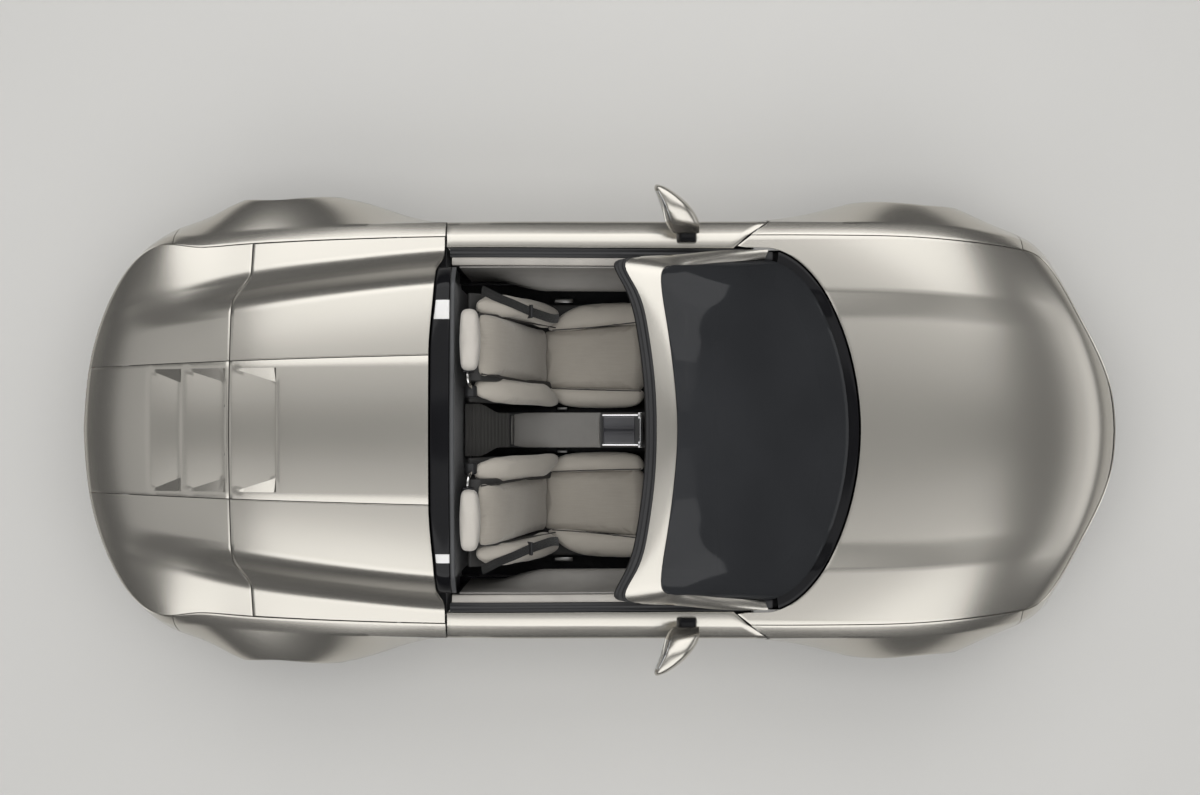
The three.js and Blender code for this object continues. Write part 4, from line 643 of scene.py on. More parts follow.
def roundCutter(isNose, span, rows, columns=16):
    span, rows = [(low - cutterSize["wider"], high + cutterSize["wider"]) for low, high in (span, rows)]
    sheet = roundSheet("cutter", isNose, columns, 4, span, rows, crowd=False, depth=-cutterSize["above"])
    return withModifier(sheet, "SOLIDIFY", thickness=cutterSize["thick"] * mm, offset=-1)


def minus(span):
    return (-span[1], -span[0])


roundMetal = {"columns": 120, "rows": 32, "thick": 4, "edge": 1.2}
noseCuts = [lampPlan["headlamp"], (minus(lampPlan["headlamp"][0]), lampPlan["headlamp"][1]), lampPlan["grille"]]
for name, isNose, node in (("nose_skin", True, "front_bumper"), ("tail_skin", False, "rear_bumper")):
    skin = roundSheet(name, isNose, roundMetal["columns"], roundMetal["rows"])
    cutters = [roundCutter(True, *cut) for cut in noseCuts] if isNose else [roundCutter(False, *lampPlan["tail"],
        columns=80)]
    sheetMetal(skin, roundMetal["thick"], roundMetal["edge"], cutters)
    pieces(skin, "body", "body_paint", node, material=bodyPaint)
print("nose and tail made")


# top panels

def patch(near, far, left, right):
    # a four-sided plan; near and far run across the car, left and right along it
    corners = near(0.0), near(1.0), far(0.0), far(1.0)

    def plan(u, v):
        u2, v2 = np.asarray(u)[:, None], np.asarray(v)[:, None]
        between = mix(near(u), far(u), v2) + mix(left(v), right(v), u2)
        flat = mix(mix(corners[0], corners[1], u2), mix(corners[2], corners[3], u2), v2)
        return between - flat

    return plan


def pair(x, y):
    return np.stack(np.broadcast_arrays(np.asarray(x, float), np.asarray(y, float)), -1)


def edgePlan(place, side, inset=0.0):
    return wallPoint(place, 0.0, side, -inset)[..., :2]


screenFoot = {"centre": 680, "reach": 390, "halfWidth": 744, "power": 1.9}


def screenFootPoint(t, grow=0.0):
    t = np.asarray(t, float)
    angle = np.pi / 2 * t
    x = screenFoot["centre"] + (screenFoot["reach"] + grow) * np.abs(np.cos(angle)) ** (2 / screenFoot["power"])
    y = np.sign(t) * (screenFoot["halfWidth"] + grow) * np.abs(np.sin(angle)) ** (2 / screenFoot["power"])
    return pair(x, y)


hood = {"corner": 1850, "innerCorner": 751, "rearCorner": 558, "noseGap": 13, "gap": 5.0, "columns": 120, "rows": 84,
        "crestColumn": 22, "crestLimits": (0.06, 0.42), "arcShare": 0.9, "innerShare": 0.95}
lidMetal = (8, 1.4)
hoodInset = seam["long"] / 2


def hoodRear(t):
    t = np.asarray(t, float)
    side = np.where(t < 0, -1.0, 1.0)
    share = np.abs(t)
    start = edgePlan(wallAt(fenderEdge(0.0)), 1, hoodInset)
    start = pair(start[0], side * start[1])
    inner = pair(hood["rearCorner"], side * hood["innerCorner"])
    foot = screenFootPoint(side, hood["gap"])
    arcEnd, innerEnd = hood["arcShare"], hood["innerShare"]
    arc = screenFootPoint(t / arcEnd, hood["gap"])
    s = share[..., None]
    along = np.where(s > arcEnd, mix(foot, inner, (s - arcEnd) / (innerEnd - arcEnd)), arc)
    return np.where(s > innerEnd, mix(inner, start, (s - innerEnd) / (1 - innerEnd)), along)


def hoodFront(u):
    share = np.abs(1 - 2 * np.asarray(u, float))
    corner = float(wallAt(hood["corner"]))
    inset = mix(hood["noseGap"] - hoodInset, hoodInset, share**2)
    side = np.where(np.asarray(u) > 0.5, -1.0, 1.0)
    return wallPoint(mix(wallEnd, corner, share), 0.0, side, -inset)[..., :2]


def hoodSide(side):
    start, corner = float(wallAt(fenderEdge(0.0))), float(wallAt(hood["corner"]))
    return lambda v: edgePlan(mix(start, corner, np.asarray(v, float)), side, hoodInset)


hoodPlan = patch(lambda u: hoodRear(1 - 2 * np.asarray(u, float)), hoodFront, hoodSide(1), hoodSide(-1))


def hoodShape(u, v):
    # the columns are drawn to the fender's crest, so that its crease falls on one of them
    columns, rows, crestColumn = hood["columns"], hood["rows"], hood["crestColumn"]
    half = columns // 2
    fine = np.linspace(0, 0.5, 401)
    i, j = np.rint(u * columns).astype(int), np.rint(v * rows).astype(int)
    newU = np.zeros_like(u)
    for row in range(rows + 1):
        plan = hoodPlan(fine, np.full_like(fine, row / rows))
        past = np.abs(plan[:, 1]) - crestY(plan[:, 0])
        at = float(np.clip(np.interp(0, -past, fine), *hood["crestLimits"]))
        here = j == row
        share = np.minimum(i[here], columns - i[here])
        beyond = mix(at, 0.5, (share - crestColumn) / (half - crestColumn))
        moved = np.where(share <= crestColumn, at * share / crestColumn, beyond)
        newU[here] = np.where(i[here] <= half, moved, 1 - moved)
    plan = hoodPlan(newU, v)
    return topPoint(plan[:, 0], plan[:, 1])


hoodSkin = gridSheet("hood_skin", hoodShape, hood["columns"], hood["rows"], (0, 0, 1))
sheetMetal(hoodSkin, *lidMetal)
pieces(hoodSkin, "hood", "body_paint", "hood", material=bodyPaint)


def deckCutX(y):
    return -1500 + 60 * smooth(520, 650, np.abs(y))


def deckFrontX(y):
    return -681 + 20 * smooth(300, 640, np.abs(y)) + 28 * smooth(640, 720, np.abs(y))


def stripHalf(x):
    return mix(264, 297, (np.asarray(x, float) + 2150) / 1460)


tailCorner, deckSheet = float(wallAt(-1850)), (90, 60)


def deckSidePlan(side):
    rearPlace, frontPlace = float(wallAt(deckCutX(773) + seam["lid"])), float(wallAt(deckFrontX(790)))

    def outer(v):
        return edgePlan(mix(frontPlace, rearPlace, np.asarray(v, float)), side, hoodInset)

    def strip(v):
        x = mix(deckFrontX(297), deckCutX(0) + seam["lid"], np.asarray(v, float))
        return pair(x, side * (stripHalf(x) + seam["fixed"] / 2))

    def front(u):
        y = mix(outer(0.0)[1], strip(0.0)[1], np.asarray(u, float))
        return pair(deckFrontX(y), y)

    def rear(u):
        y = mix(outer(1.0)[1], strip(1.0)[1], np.asarray(u, float))
        return pair(deckCutX(y) + seam["lid"], y)

    return patch(front, rear, outer, strip)


tailStripPlace = float(halving(0.0, tailCorner, lambda s: wall["y"](s) < 264))
tailInset = seam["fixed"] - hoodInset


def tailSidePlan(side):
    frontPlace = float(wallAt(deckCutX(773)))

    def outer(v):
        return edgePlan(mix(frontPlace, tailCorner, np.asarray(v, float)), side, tailInset)

    def rear(u):
        return edgePlan(mix(tailCorner, tailStripPlace, np.asarray(u, float)), side, tailInset)

    def strip(v):
        v = np.asarray(v, float)
        end = rear(1.0)
        return pair(mix(deckCutX(0), end[0], v), side * mix(stripHalf(deckCutX(0)) + seam["fixed"] / 2, abs(end[1]), v))

    def front(u):
        y = mix(outer(0.0)[1], strip(0.0)[1], np.asarray(u, float))
        return pair(deckCutX(y), y)

    return patch(front, rear, outer, strip)


def topSheet(name, plan, columns, rows):
    def shape(u, v):
        at = plan(u, v)
        return topPoint(at[:, 0], at[:, 1])
    return gridSheet(name, shape, columns, rows, (0, 0, 1))


deckPanels = [("deck_skin_", deckSidePlan, "deck_lid", "deck_panel_"),
              ("tail_side_", tailSidePlan, "body", "tail_panel_")]
for side, sideName in sideNames.items():
    for stem, plan, body, node in deckPanels:
        panel = sheetMetal(topSheet(stem + sideName, plan(side), *deckSheet), *lidMetal)
        pieces(panel, body, "body_paint", node + sideName, material=bodyPaint)

louvres = {"places": [(-1298, -1484), (-1516, -1704), (-1712, -1866)], "half": 250, "wall": 56, "step": 9, "depth": 34}
stripColumns, stripMetal = 30, (5, 0.9)


def louvreShare(x):
    # how much of its depth a louvre has at x: all of it at the foot of its front step
    share = np.zeros_like(x)
    for front, rear in louvres["places"]:
        here = (x > rear) & (x <= front)
        share = np.where(here, np.minimum(1, (x - rear) / (front - louvres["step"] - rear)), share)
    return share


def louvreSink(x, y):
    share = louvreShare(x)
    step = np.ones_like(x)
    for front, rear in louvres["places"]:
        step = np.where((x > rear) & (x <= front), np.minimum(1, (front - x) / louvres["step"]), step)
    inside = np.clip((louvres["half"] - np.abs(y)) / np.maximum(1e-6, louvres["wall"] * share), 0, 1)
    return np.where(share > 0, louvres["depth"] * share * inside * step, 0)


def stripSheet(name, xRows):
    # xRows: functions of y, one for each row; the columns follow the louvres' leaning side walls
    half, columns = louvres["half"], stripColumns

    def shape(u, v):
        i, j = np.rint(u * columns).astype(int), np.rint(v * (len(xRows) - 1)).astype(int)
        rough = np.array([float(row(0.0)) for row in xRows])[j]
        edge = stripHalf(rough) - seam["fixed"] / 2
        inner = half - np.maximum(louvres["step"], louvres["wall"] * louvreShare(rough))
        k = np.minimum(i, columns - i)
        reach = np.where(k == 0, edge, np.where(k == 1, half, inner * (1 - (k - 2) / (columns / 2 - 2))))
        y = np.where(i <= columns / 2, -reach, reach)
        x = np.zeros_like(y)
        for k, row in enumerate(xRows):
            x = np.where(j == k, row(y), x)
        return np.stack([x, y, topHeight(x, y) - louvreSink(x, y)], -1)

    return gridSheet(name, shape, columns, len(xRows) - 1, (0, 0, 1))


def straightRows(*xs):
    return [lambda y, x=x: x + 0 * np.asarray(y, float) for x in xs]


def louvreRows(front, rear):
    return straightRows(front, *np.linspace(front - louvres["step"], rear, 8))


deckRows = [deckFrontX] + straightRows(*np.linspace(-725, -1275, 18)) + louvreRows(*louvres["places"][0])
deckRows += straightRows(deckCutX(0) + seam["lid"])
strip = sheetMetal(stripSheet("deck_strip", deckRows), *stripMetal)
pieces(strip, "deck_lid", "body_paint", "deck_panel_centre", material=bodyPaint)


def tailEdgeX(y):
    y = np.asarray(y, float)
    place = halving(np.zeros_like(y), np.full_like(y, tailStripPlace * 1.2), lambda s: wall["y"](s) < np.abs(y))
    return wall["x"](place) + tailInset


tailRows = straightRows(deckCutX(0)) + louvreRows(*louvres["places"][1]) + louvreRows(*louvres["places"][2])
tailRows += straightRows(*np.linspace(-1880, -2110, 12))
tailRows += [lambda y, t=t: mix(-2110, tailEdgeX(y), t) for t in (0.25, 0.5, 0.75, 1.0)]
strip = sheetMetal(stripSheet("tail_strip", tailRows), *stripMetal)
pieces(strip, "body", "body_paint", "tail_panel_centre", material=bodyPaint)
print("bonnet and deck made")


# doors and mirrors

door = {"pin": (556.5, 858), "reach": 1182, "flangeY": 746, "flangeFront": 548, "height": 257, "columns": 60,
        "rows": 24,
        "gap": 3.5, "rolled": 6, "stepBack": 5,
        "card": [(672, -24), (668, -150), (646, -235), (616, -288), (607, -335), (614, -420), (640, -520), (664, -606)]}
trimStrip = plasticFinish("trimStrip", (0.36, 0.34, 0.31), 0.55, 500, 0.08)
doorTrim = plasticFinish("doorTrim", (0.26, 0.25, 0.235), 0.6, 420, 0.16)


def doorRearX(y):
    return door["pin"][0] - np.sqrt(door["reach"] ** 2 - (door["pin"][1] - np.minimum(np.abs(y), door["pin"][1])) ** 2)


def doorFrontX(v):
    rolled = 1 - smooth(0.2, 0.35, v)
    return doorFrontCut(v) - door["gap"] - door["rolled"] * rolled


def rimPoint(x, y, side):
    # the door's top follows the body's upper edge at the same x
    x = np.asarray(x, float)
    edge = wall["y"](wallAt(x))
    return np.stack(np.broadcast_arrays(x, side * np.asarray(y, float), topHeight(x, edge)), -1)


def doorSkin(side):
    lastRow = rowAtHeight(wallAt(np.linspace(-640, 690, door["columns"] + 1)), door["height"])

    def shape(u, v):
        i, j = np.rint(u * door["columns"]).astype(int), np.rint(v * door["rows"]).astype(int)
        row = np.where(j <= 2, 0, rowShare(np.maximum(0, j - 2) * sideRows / (door["rows"] - 2), lastRow[i]))
        front = np.where(j <= 1, door["flangeFront"], doorFrontX(row))
        rearY = np.where(j <= 2, 800, 858)
        x = mix(doorRearX(rearY), front, u)
        skin = wallPoint(wallAt(x), row, side)
        rim = rimPoint(x, door["flangeY"], side) + np.stack([0 * x, 0 * x, np.where(j == 0, -16.0, 3.0)], -1)
        atFront = i == door["columns"]
        skin[:, 2] -= np.where(atFront & (row <= creaseRow), door["stepBack"], 0.0)
        # the front edge steps back at its foot, clear of the pillar when the door stands open
        skin[:, 0] -= np.where(atFront, door["stepBack"] * (1 - smooth(380, 430, skin[:, 2])), 0.0)
        return np.where((j <= 1)[:, None], rim, skin)

    return gridSheet("door_skin_" + sideNames[side], shape, door["columns"], door["rows"], (0, side, 0.3))


def alongDoor(name, side, start, end, section, columns=56):
    # a closed section of (y, z below the rim) points, drawn along the door's top
    xs = np.linspace(start, end, columns + 1)
    rings = [[rimPoint(x, y, side) + np.array([0, 0, z]) for y, z in section] for x in xs]
    return loft(name, rings)


def doorCard(side):
    # the lining bulges into an armrest along most of its length
    rows = curveThrough(np.linspace(0, 1, len(door["card"])), [y for y, _ in door["card"]])
    drops = curveThrough(np.linspace(0, 1, len(door["card"])), [z for _, z in door["card"]])

    def shape(u, v):
        x = mix(-575, 668, u)
        swell = smooth(-520, -230, x) * (1 - smooth(400, 520, x))
        y = mix(671 - 4 * np.sin(np.pi * v), rows(v), swell)
        return np.stack([x, side * y, rimPoint(x, y, 1)[:, 2] + drops(v)], -1)

    return gridSheet("door_card_" + sideNames[side], shape, 70, 40, (0, -side, 0))


core = {"rear": -606, "front": 640, "stations": 31, "rows": 9, "top": (70, 200), "foot": 264, "behindSkin": 8,
        "innerY": 678}


def doorCore(side):
    # the door's inside, closed from the card's back to the skin; its top drops where the hinge is
    rings = []
    for x in np.linspace(core["rear"], core["front"], core["stations"]):
        rim = rimPoint(x, door["flangeY"], 1)[2]
        heights = np.linspace(rim - mix(*core["top"], smooth(550, 600, x)), core["foot"], core["rows"])
        at = wallAt(x)
        outer = side * (np.abs(wallPoint(at, rowAtHeight(at, heights), side)[:, 1]) - core["behindSkin"])
        rings.append([(x, y, z) for y, z in zip(outer, heights)])
        rings[-1] += [(x, side * core["innerY"], z) for z in heights[::-1]]
    return loft("door_core_" + sideNames[side], rings)


pull = {"radius": 6, "line": [(230, 662, -170), (236, 640, -176), (262, 626, -180), (330, 624, -182), (398, 628, -180),
                              (424, 642, -176), (430, 664, -170)]}
doorTop = {"door_seal_": (-612, 590, rubberSeal, "matt_black",
                          [(745, -14), (743, -1), (737, 2), (731, -2), (726, 2), (719, 2), (714, -3), (706, -4),
                           (706, -22),
                           (745, -22)]),
           "door_strip_": (-604, 560, trimStrip, "dark_trim",
                           [(705, -22), (704, -5), (698, -1), (684, -3), (675, -9), (673, -20), (680, -26)])}


def doorPull(side):
    points = [rimPoint(x, y, side) + np.array([0, 0, z]) for x, y, z in pull["line"]]
    return tube("door_pull_" + sideNames[side], points, pull["radius"])


def doorHandle(side):
    # a flush bar in the skin, which swings out at its front end
    def shape(u, v):
        x = mix(-520, -345, u)
        row = rowAtHeight(wallAt(x), mix(806, 782, v))
        return wallPoint(wallAt(x), row, side, 2.2)

    return gridSheet("door_handle_" + sideNames[side], shape, 24, 5, (0, side, 0))


for side, sideName in sideNames.items():
    body = "door_" + sideName
    pieces(sheetMetal(doorSkin(side), *sideMetal), body, "body_paint", body, material=bodyPaint)
    for stem, (rear, front, rubber, slotName, section) in doorTop.items():
        strip = alongDoor(stem + sideName, side, rear, front, section)
        pieces(smoothed(strip, 40), body, slotName, body, material=rubber)
    pieces(sheetMetal(doorCard(side), -6, 1), body, "dark_trim", body, material=doorTrim)
    pieces(smoothed(doorCore(side), 40), body, "matt_black", body, material=mattBlack)
    pieces(doorPull(side), body, "alloy", body, material=chrome)
    pieces(sheetMetal(doorHandle(side), 5, 1), body, "body_paint", body, material=bodyPaint)

mirror = {"rows": [(800, 346, 925, 58, 14), (830, 333, 950, 72, 34), (860, 321, 961, 74, 46), (897, 303, 971, 67, 53),
                   (930, 282, 976, 56, 50), (960, 258, 980, 41, 41), (988, 233, 982, 21, 26)], "around": 40,
                   "stations": 34, "root": 802, "tip": 975, "tipLength": 17,
          "glassHalf": 0.95, "glassFrom": 846, "glassTo": 962,
          "foot": [(308, 868), (318, 900), (330, 926), (388, 928), (396, 905), (394, 868)]}
mirrorTable = np.array(mirror["rows"], float)
mirrorCurve = [curveThrough(mirrorTable[:, 0], mirrorTable[:, k]) for k in range(1, 5)]
mirrorGlass = metalFinish("mirrorGlass", (0.86, 0.87, 0.88), 0.03, grime=0.0)


def mirrorRing(y, side, grow=0.0, angles=None):
    angles = np.linspace(0, 2 * np.pi, mirror["around"], endpoint=False) if angles is None else angles
    x, z, halfX, halfZ = [float(curve(y)) for curve in mirrorCurve]
    close = math.sqrt(max(0.0, 1 - max(0.0, (y - mirror["tip"]) / mirror["tipLength"]) ** 2))
    cosine = np.cos(angles)
    blunt = np.where(cosine < 0, 0.82, 1.0)  # the side with the glass is flatter
    reach = np.sign(cosine) * np.abs(cosine) ** 0.8 * (halfX * close + grow) * blunt
    return np.stack([x + reach, side * y + 0 * angles, z + np.sin(angles) * (halfZ * close + grow)], -1)


for side, sideName in sideNames.items():
    body = "door_" + sideName
    ys = np.concatenate([np.linspace(mirror["root"], mirror["tip"], mirror["stations"]),
                         mirror["tip"] + mirror["tipLength"] * np.sin(np.linspace(0.2, 1.5, 8))])
    shell = smoothed(loft("mirror_shell_" + sideName, [mirrorRing(y, side) for y in ys]), 50)
    pieces(shell, body, "body_paint", "mirror_" + sideName, material=bodyPaint)
    angles = np.pi + mirror["glassHalf"] * np.linspace(-1, 1, 14)
    across = [mirrorRing(y, side, 1.2, angles) for y in np.linspace(mirror["glassFrom"], mirror["glassTo"], 24)]
    glass = gridSheet("mirror_glass_" + sideName, sampled(across), 13, 23, (-1, 0, 0))
    pieces(sheetMetal(glass, 2, 0.6), body, "alloy", "mirror_" + sideName, material=mirrorGlass)
    foot = prism("mirror_foot_" + sideName, mirror["foot"], 1, *sorted([side * 768, side * 826]), edge=7)
    pieces(foot, body, "gloss_black", "mirror_" + sideName, material=glossBlack)
print("doors and mirrors made")


# windscreen and the frame round it

screenFrame = {
    "rows": [(300, 0, 1207, 221, 0, 1209), (287, 210, 1203, 213, 200, 1205), (260, 417, 1187, 187, 400, 1190),
             (240, 560, 1166, 140, 560, 1170), (246, 630, 1148, 100, 655, 1142), (330, 655, 1096, 250, 693, 1094),
             (450, 671, 1022, 420, 716, 1016), (560, 686, 953, 550, 732, 948), (675, 700, 890, 690, 738, 898)],
    "depth": 30, "steps": 64, "crown": 5, "header": 4}
frameTable = np.array(screenFrame["rows"], float)
frameChord = np.concatenate([[0], np.cumsum(np.linalg.norm(np.diff(frameTable[:, 3:], axis=0), axis=1))])
frameCurve = [curveThrough(np.concatenate([-frameChord[:0:-1], frameChord]),
                           np.concatenate([frameTable[:0:-1, k] * (-1 if k in (1, 4) else 1),
                                           frameTable[:, k]])) for k in range(6)]


def framePoint(s, edge):
    # edge 0 is the glass's side and 1 the outer side; s is negative on the right
    return np.stack([frameCurve[k + 3 * edge](s) for k in range(3)], -1)


def frameRing(s):
    glassEdge, outerEdge = framePoint(s, 0), framePoint(s, 1)
    section = [(t, screenFrame["crown"] * math.sin(math.pi * t) - (2.0 if t in (0, 1) else 0)) for t in np.linspace(0,
        1, 7)]
    section += [(t, -screenFrame["depth"] * share) for t, share in ((0.97, 0.5), (0.88, 1), (0.12, 1), (0.02, 0.5))]
    return [mix(glassEdge, outerEdge, t) + np.array([0, 0, rise]) for t, rise in section]


frameEnd = frameChord[-1]
frameSteps = np.linspace(-frameEnd, frameEnd, 2 * screenFrame["steps"] + 1)
frameSkin = loft("windscreen_surround", [frameRing(s) for s in frameSteps])
pieces(smoothed(frameSkin, 50), "body", "body_paint", "windscreen_frame", material=bodyPaint)
for side, sideName in sideNames.items():
    foot = sideBlock("pillar_foot_" + sideName, side, (648, 712), (697, 735), (800, 872), 8)
    pieces(foot, "body", "matt_black", "windscreen_frame", material=mattBlack)

headerSeal = {"end": 0.98, "stations": 81, "profile": [
    (2, -6), (-3, -1), (-9, 0), (-15, -6), (-20, -5), (-27, -4), (-33, -9), (-40, -10), (-45, -18), (-44, -32),
    (0, -32)]}


def headerSealRing(s):
    # the seal lies against the rear edge of the header, towards the cabin
    outer, glassEdge = framePoint(s, 1), framePoint(s, 0)
    away = (outer - glassEdge) * np.array([1, 1, 0])
    away = away / np.linalg.norm(away)
    pillarWay = np.array([-1.0, -np.sign(s) * 0.25, 0])
    inward = mix(away, pillarWay, smooth(frameChord[3], frameChord[5], abs(s)))
    inward = inward / np.linalg.norm(inward)
    return [outer - inward * a + np.array([0, 0, z]) for a, z in headerSeal["profile"]]


sealEnd = frameChord[5] * headerSeal["end"]
sealRings = [headerSealRing(s) for s in np.linspace(-sealEnd, sealEnd, headerSeal["stations"])]
pieces(smoothed(loft("header_seal", sealRings), 40), "body", "matt_black", "windscreen_frame", material=rubberSeal)

screen = {"inset": -46, "bulge": 14, "thick": 5, "columns": 72, "rows": 48, "overFoot": 2, "offHeader": 3.0,
          "offPillar": (0.4, 0.8)}


def tintedGlass(name, color, alpha, roughness=0.03):
    finish = Finish(name, roughness=roughness, ior=1.5, specular_ior_level=0.22)
    smear = finish.noise(2.2, 4, 0.6)
    finish.give("Base Color", finish.blendOf(finish.remap(smear, 0.35, 0.7, 0, 1), opaque(color), shade(color, 1.25)))
    finish.give("Alpha", finish.remap(smear, 0.3, 0.7, alpha - 0.01, alpha + 0.01))
    finish.give("Roughness", finish.remap(smear, 0.4, 0.8, roughness, roughness + 0.05))
    return finish.material


screenGlass = tintedGlass("screenGlass", (0.022, 0.023, 0.025), 0.86)


def screenShape(u, v):
    # bounded by the header, the two pillars and the arc of the screen's foot
    headerEnd, pillarEnd = frameChord[screenFrame["header"]], frameEnd
    across, down = 1 - 2 * u, v[:, None]
    top = framePoint(across * headerEnd, 0) + np.array([screen["offHeader"], 0, 0])
    footPlan = screenFootPoint(np.append(across, [1.0, -1.0]), screen["inset"])
    foot = topPoint(footPlan[:, 0], footPlan[:, 1], -screen["overFoot"])
    foot, footCorners = foot[:-2], foot[-2:]
    sides = []
    for way, footCorner in zip((1, -1), footCorners):
        pillarIn = np.array([screen["offPillar"][0], -way * screen["offPillar"][1], 0])
        line = framePoint(way * mix(headerEnd, pillarEnd, v), 0) + pillarIn
        sides.append(line + (footCorner - (framePoint(way * pillarEnd, 0) + pillarIn)) * down)
    corners = [framePoint(headerEnd, 0), framePoint(-headerEnd, 0)]
    flat = mix(mix(*corners, u[:, None]), mix(*footCorners, u[:, None]), down)
    surface = mix(top, foot, down) + mix(*sides, u[:, None]) - flat
    swell = screen["bulge"] * np.sin(np.pi * u) * np.sin(np.pi * v)
    return surface + np.stack([0.4 * swell, 0 * swell, 0.9 * swell], -1)


glass = gridSheet("windscreen_glass", screenShape, screen["columns"], screen["rows"], (0.3, 0, 1))
sheetMetal(glass, screen["thick"], 0.8)
pieces(glass, "body", "glass", "windscreen", material=screenGlass)

cowlPlan = {"inset": -150, "drop": 12, "end": 0.9, "thick": 6}


def cowlShape(u, v):
    plan = screenFootPoint(cowlPlan["end"] * (1 - 2 * u), mix(cowlPlan["inset"], -1, v))
    return topPoint(plan[:, 0], plan[:, 1], cowlPlan["drop"])


cowl = gridSheet("scuttle_cover", cowlShape, 90, 10, (0, 0, 1))
sheetMetal(cowl, cowlPlan["thick"], 1)
pieces(cowl, "body", "gloss_black", "cowl", material=glossBlack)
for side, sideName in sideNames.items():
    leg = sideBlock("scuttle_leg_" + sideName, side, (962, 988), (302, 328), (792, 850), 3)
    pieces(leg, "body", "gloss_black", "cowl", material=mattBlack)
print("windscreen made")


# bulkhead cover, sills, lamps, grille and arch liners

bulkhead = {"half": 657, "rear": 8, "strip": -597, "front": -577, "gap": 1.5, "thick": 10, "swell": 5, "drop": 3,
            "paintedReflectionSpans": {1: (441, 518), -1: (494, 530)}, "reflectionRear": 12, "reflectionLift": 1.4}
edgeStrip = plasticFinish("edgeStrip", (0.05, 0.051, 0.053), 0.4, 300, 0.05)
# the bright plates on the black cover are painted reflections of the side softboxes, so they sit at different places on
# the two sides
paintedReflection = metalFinish("paintedReflection", (0.66, 0.655, 0.645), 0.36, metal=0.35, grime=0.03)
bulkheadMetal, reflectionMetal = (bulkhead["thick"], 2), (2.5, 0.8)


def bulkheadSheet(name, columns, rows, rear, front, half=(-bulkhead["half"], bulkhead["half"]), lift=0.0):
    # a strip across the car from rear(y) to front
    def shape(u, v):
        y = mix(half[0], half[1], u)
        swell = bulkhead["swell"] * np.sin(np.pi * v) ** 0.7
        return topPoint(mix(rear(y), front, v), y) + np.stack([0 * y, 0 * y, swell - bulkhead["drop"] + lift], -1)

    return gridSheet(name, shape, columns, rows, (0, 0, 1))


coverFront = bulkhead["strip"] - bulkhead["gap"]
cover = bulkheadSheet("bulkhead_cover", 80, 12, lambda y: deckFrontX(y) + bulkhead["rear"], coverFront)
pieces(sheetMetal(cover, *bulkheadMetal), "body", "gloss_black", "bulkhead_trim", material=glossBlack)
edge = bulkheadSheet("bulkhead_edge", 80, 6, lambda y: bulkhead["strip"] + 0 * y, bulkhead["front"])
pieces(sheetMetal(edge, *bulkheadMetal), "body", "dark_trim", "bulkhead_trim", material=edgeStrip)
for side, sideName in sideNames.items():
    # bright plates laid on the gloss black cover: painted reflections of the softboxes
    half = [side * y for y in bulkhead["paintedReflectionSpans"][side]]
    plate = bulkheadSheet("bulkhead_painted_reflection_" + sideName, 8, 12, lambda y: deckFrontX(y) + bulkhead["reflectionRear"],
                          coverFront, half, bulkhead["reflectionLift"])
    pieces(sheetMetal(plate, *reflectionMetal), "body", "alloy", "bulkhead_trim", material=paintedReflection)
    foot = sideBlock("bulkhead_foot_" + sideName, side, (-616, -588), (472, 498), (1036, 1066), 2)
    pieces(foot, "body", "matt_black", "bulkhead_trim", material=mattBlack)

sillPlan = {"rear": -625, "front": 696, "top": 249, "innerY": 818}


def sillShape(side):
    # its upper and lower edges tuck in under the floor
    def shape(u, v):
        place = wallAt(mix(sillPlan["rear"], sillPlan["front"], u))
        row = mix(rowAtHeight(place, sillPlan["top"]), 1.0, np.clip((v - 0.1) / 0.7, 0, 1))
        point = wallPoint(place, row, side)
        tucked = ((v < 0.05) | (v > 0.9))[:, None]
        return np.where(tucked, point * np.array([1, 0, 1]) + np.array([0, side * sillPlan["innerY"], 0]), point)

    return shape


for side, sideName in sideNames.items():
    sill = gridSheet("sill_cover_" + sideName, sillShape(side), 40, 16, (0, side, 0))
    pieces(sheetMetal(sill, 3, 1.5), "body", "body_paint", "sill_" + sideName, material=bodyPaint)


def lampFinish():
    finish = Finish("headlampGlass", coat_weight=1.0, coat_roughness=0.02)
    ribs = finish.node("ShaderNodeTexWave", {"Vector": finish.place(), "Scale": 60}, bands_direction="Y")
    ribShare = finish.remap(ribs, 0.3, 0.7, 0, 1)
    finish.give("Base Color", finish.blendOf(ribShare, opaque((0.33, 0.34, 0.35)), opaque((0.62, 0.63, 0.64))))
    finish.give("Roughness", finish.remap(finish.noise(5, 3), 0.3, 0.7, 0.03, 0.08))
    finish.bump(ribs, 0.25, 0.001)
    return finish.material


def redLampFinish():
    finish = Finish("tailLampGlass", coat_weight=1.0, coat_roughness=0.03)
    cells = finish.node("ShaderNodeTexVoronoi", {"Vector": finish.place(), "Scale": 160})
    cellShare = finish.remap(cells, 0.0, 0.6, 0, 1)
    finish.give("Base Color", finish.blendOf(cellShare, opaque((0.16, 0.005, 0.006)), opaque((0.32, 0.012, 0.012))))
    finish.give("Roughness", finish.remap(cells, 0.0, 0.6, 0.08, 0.16))
    finish.bump(cells, 0.2, 0.001)
    return finish.material


headlampGlass, tailLampGlass = lampFinish(), redLampFinish()
for side, sideName in sideNames.items():
    span, rows = noseCuts[0 if side > 0 else 1]
    bowl = roundSheet("headlamp_bowl_" + sideName, True, 20, 8, span, rows, crowd=False, depth=16)
    pieces(sheetMetal(bowl, 4, 1), "body", "gloss_black", "headlamp_" + sideName, material=glossBlack)
    lens = roundSheet("headlamp_lens_" + sideName, True, 28, 10, span, rows, crowd=False, gap=seam["shut"] / 2 - 3)
    pieces(sheetMetal(lens, 4, 1.2), "body", "lamp_glass", "headlamp_" + sideName, material=headlampGlass)
redLens = roundSheet("tail_lamp_lens", False, 110, 8, *lampPlan["tail"], crowd=False, gap=seam["shut"] / 2 - 5)
pieces(sheetMetal(redLens, 6, 1.5), "body", "red_glass", "tail_lamp", material=tailLampGlass)
span, rows = lampPlan["grille"]
grilleBack = roundSheet("grille_back", True, 40, 8, span, rows, crowd=False, depth=20)
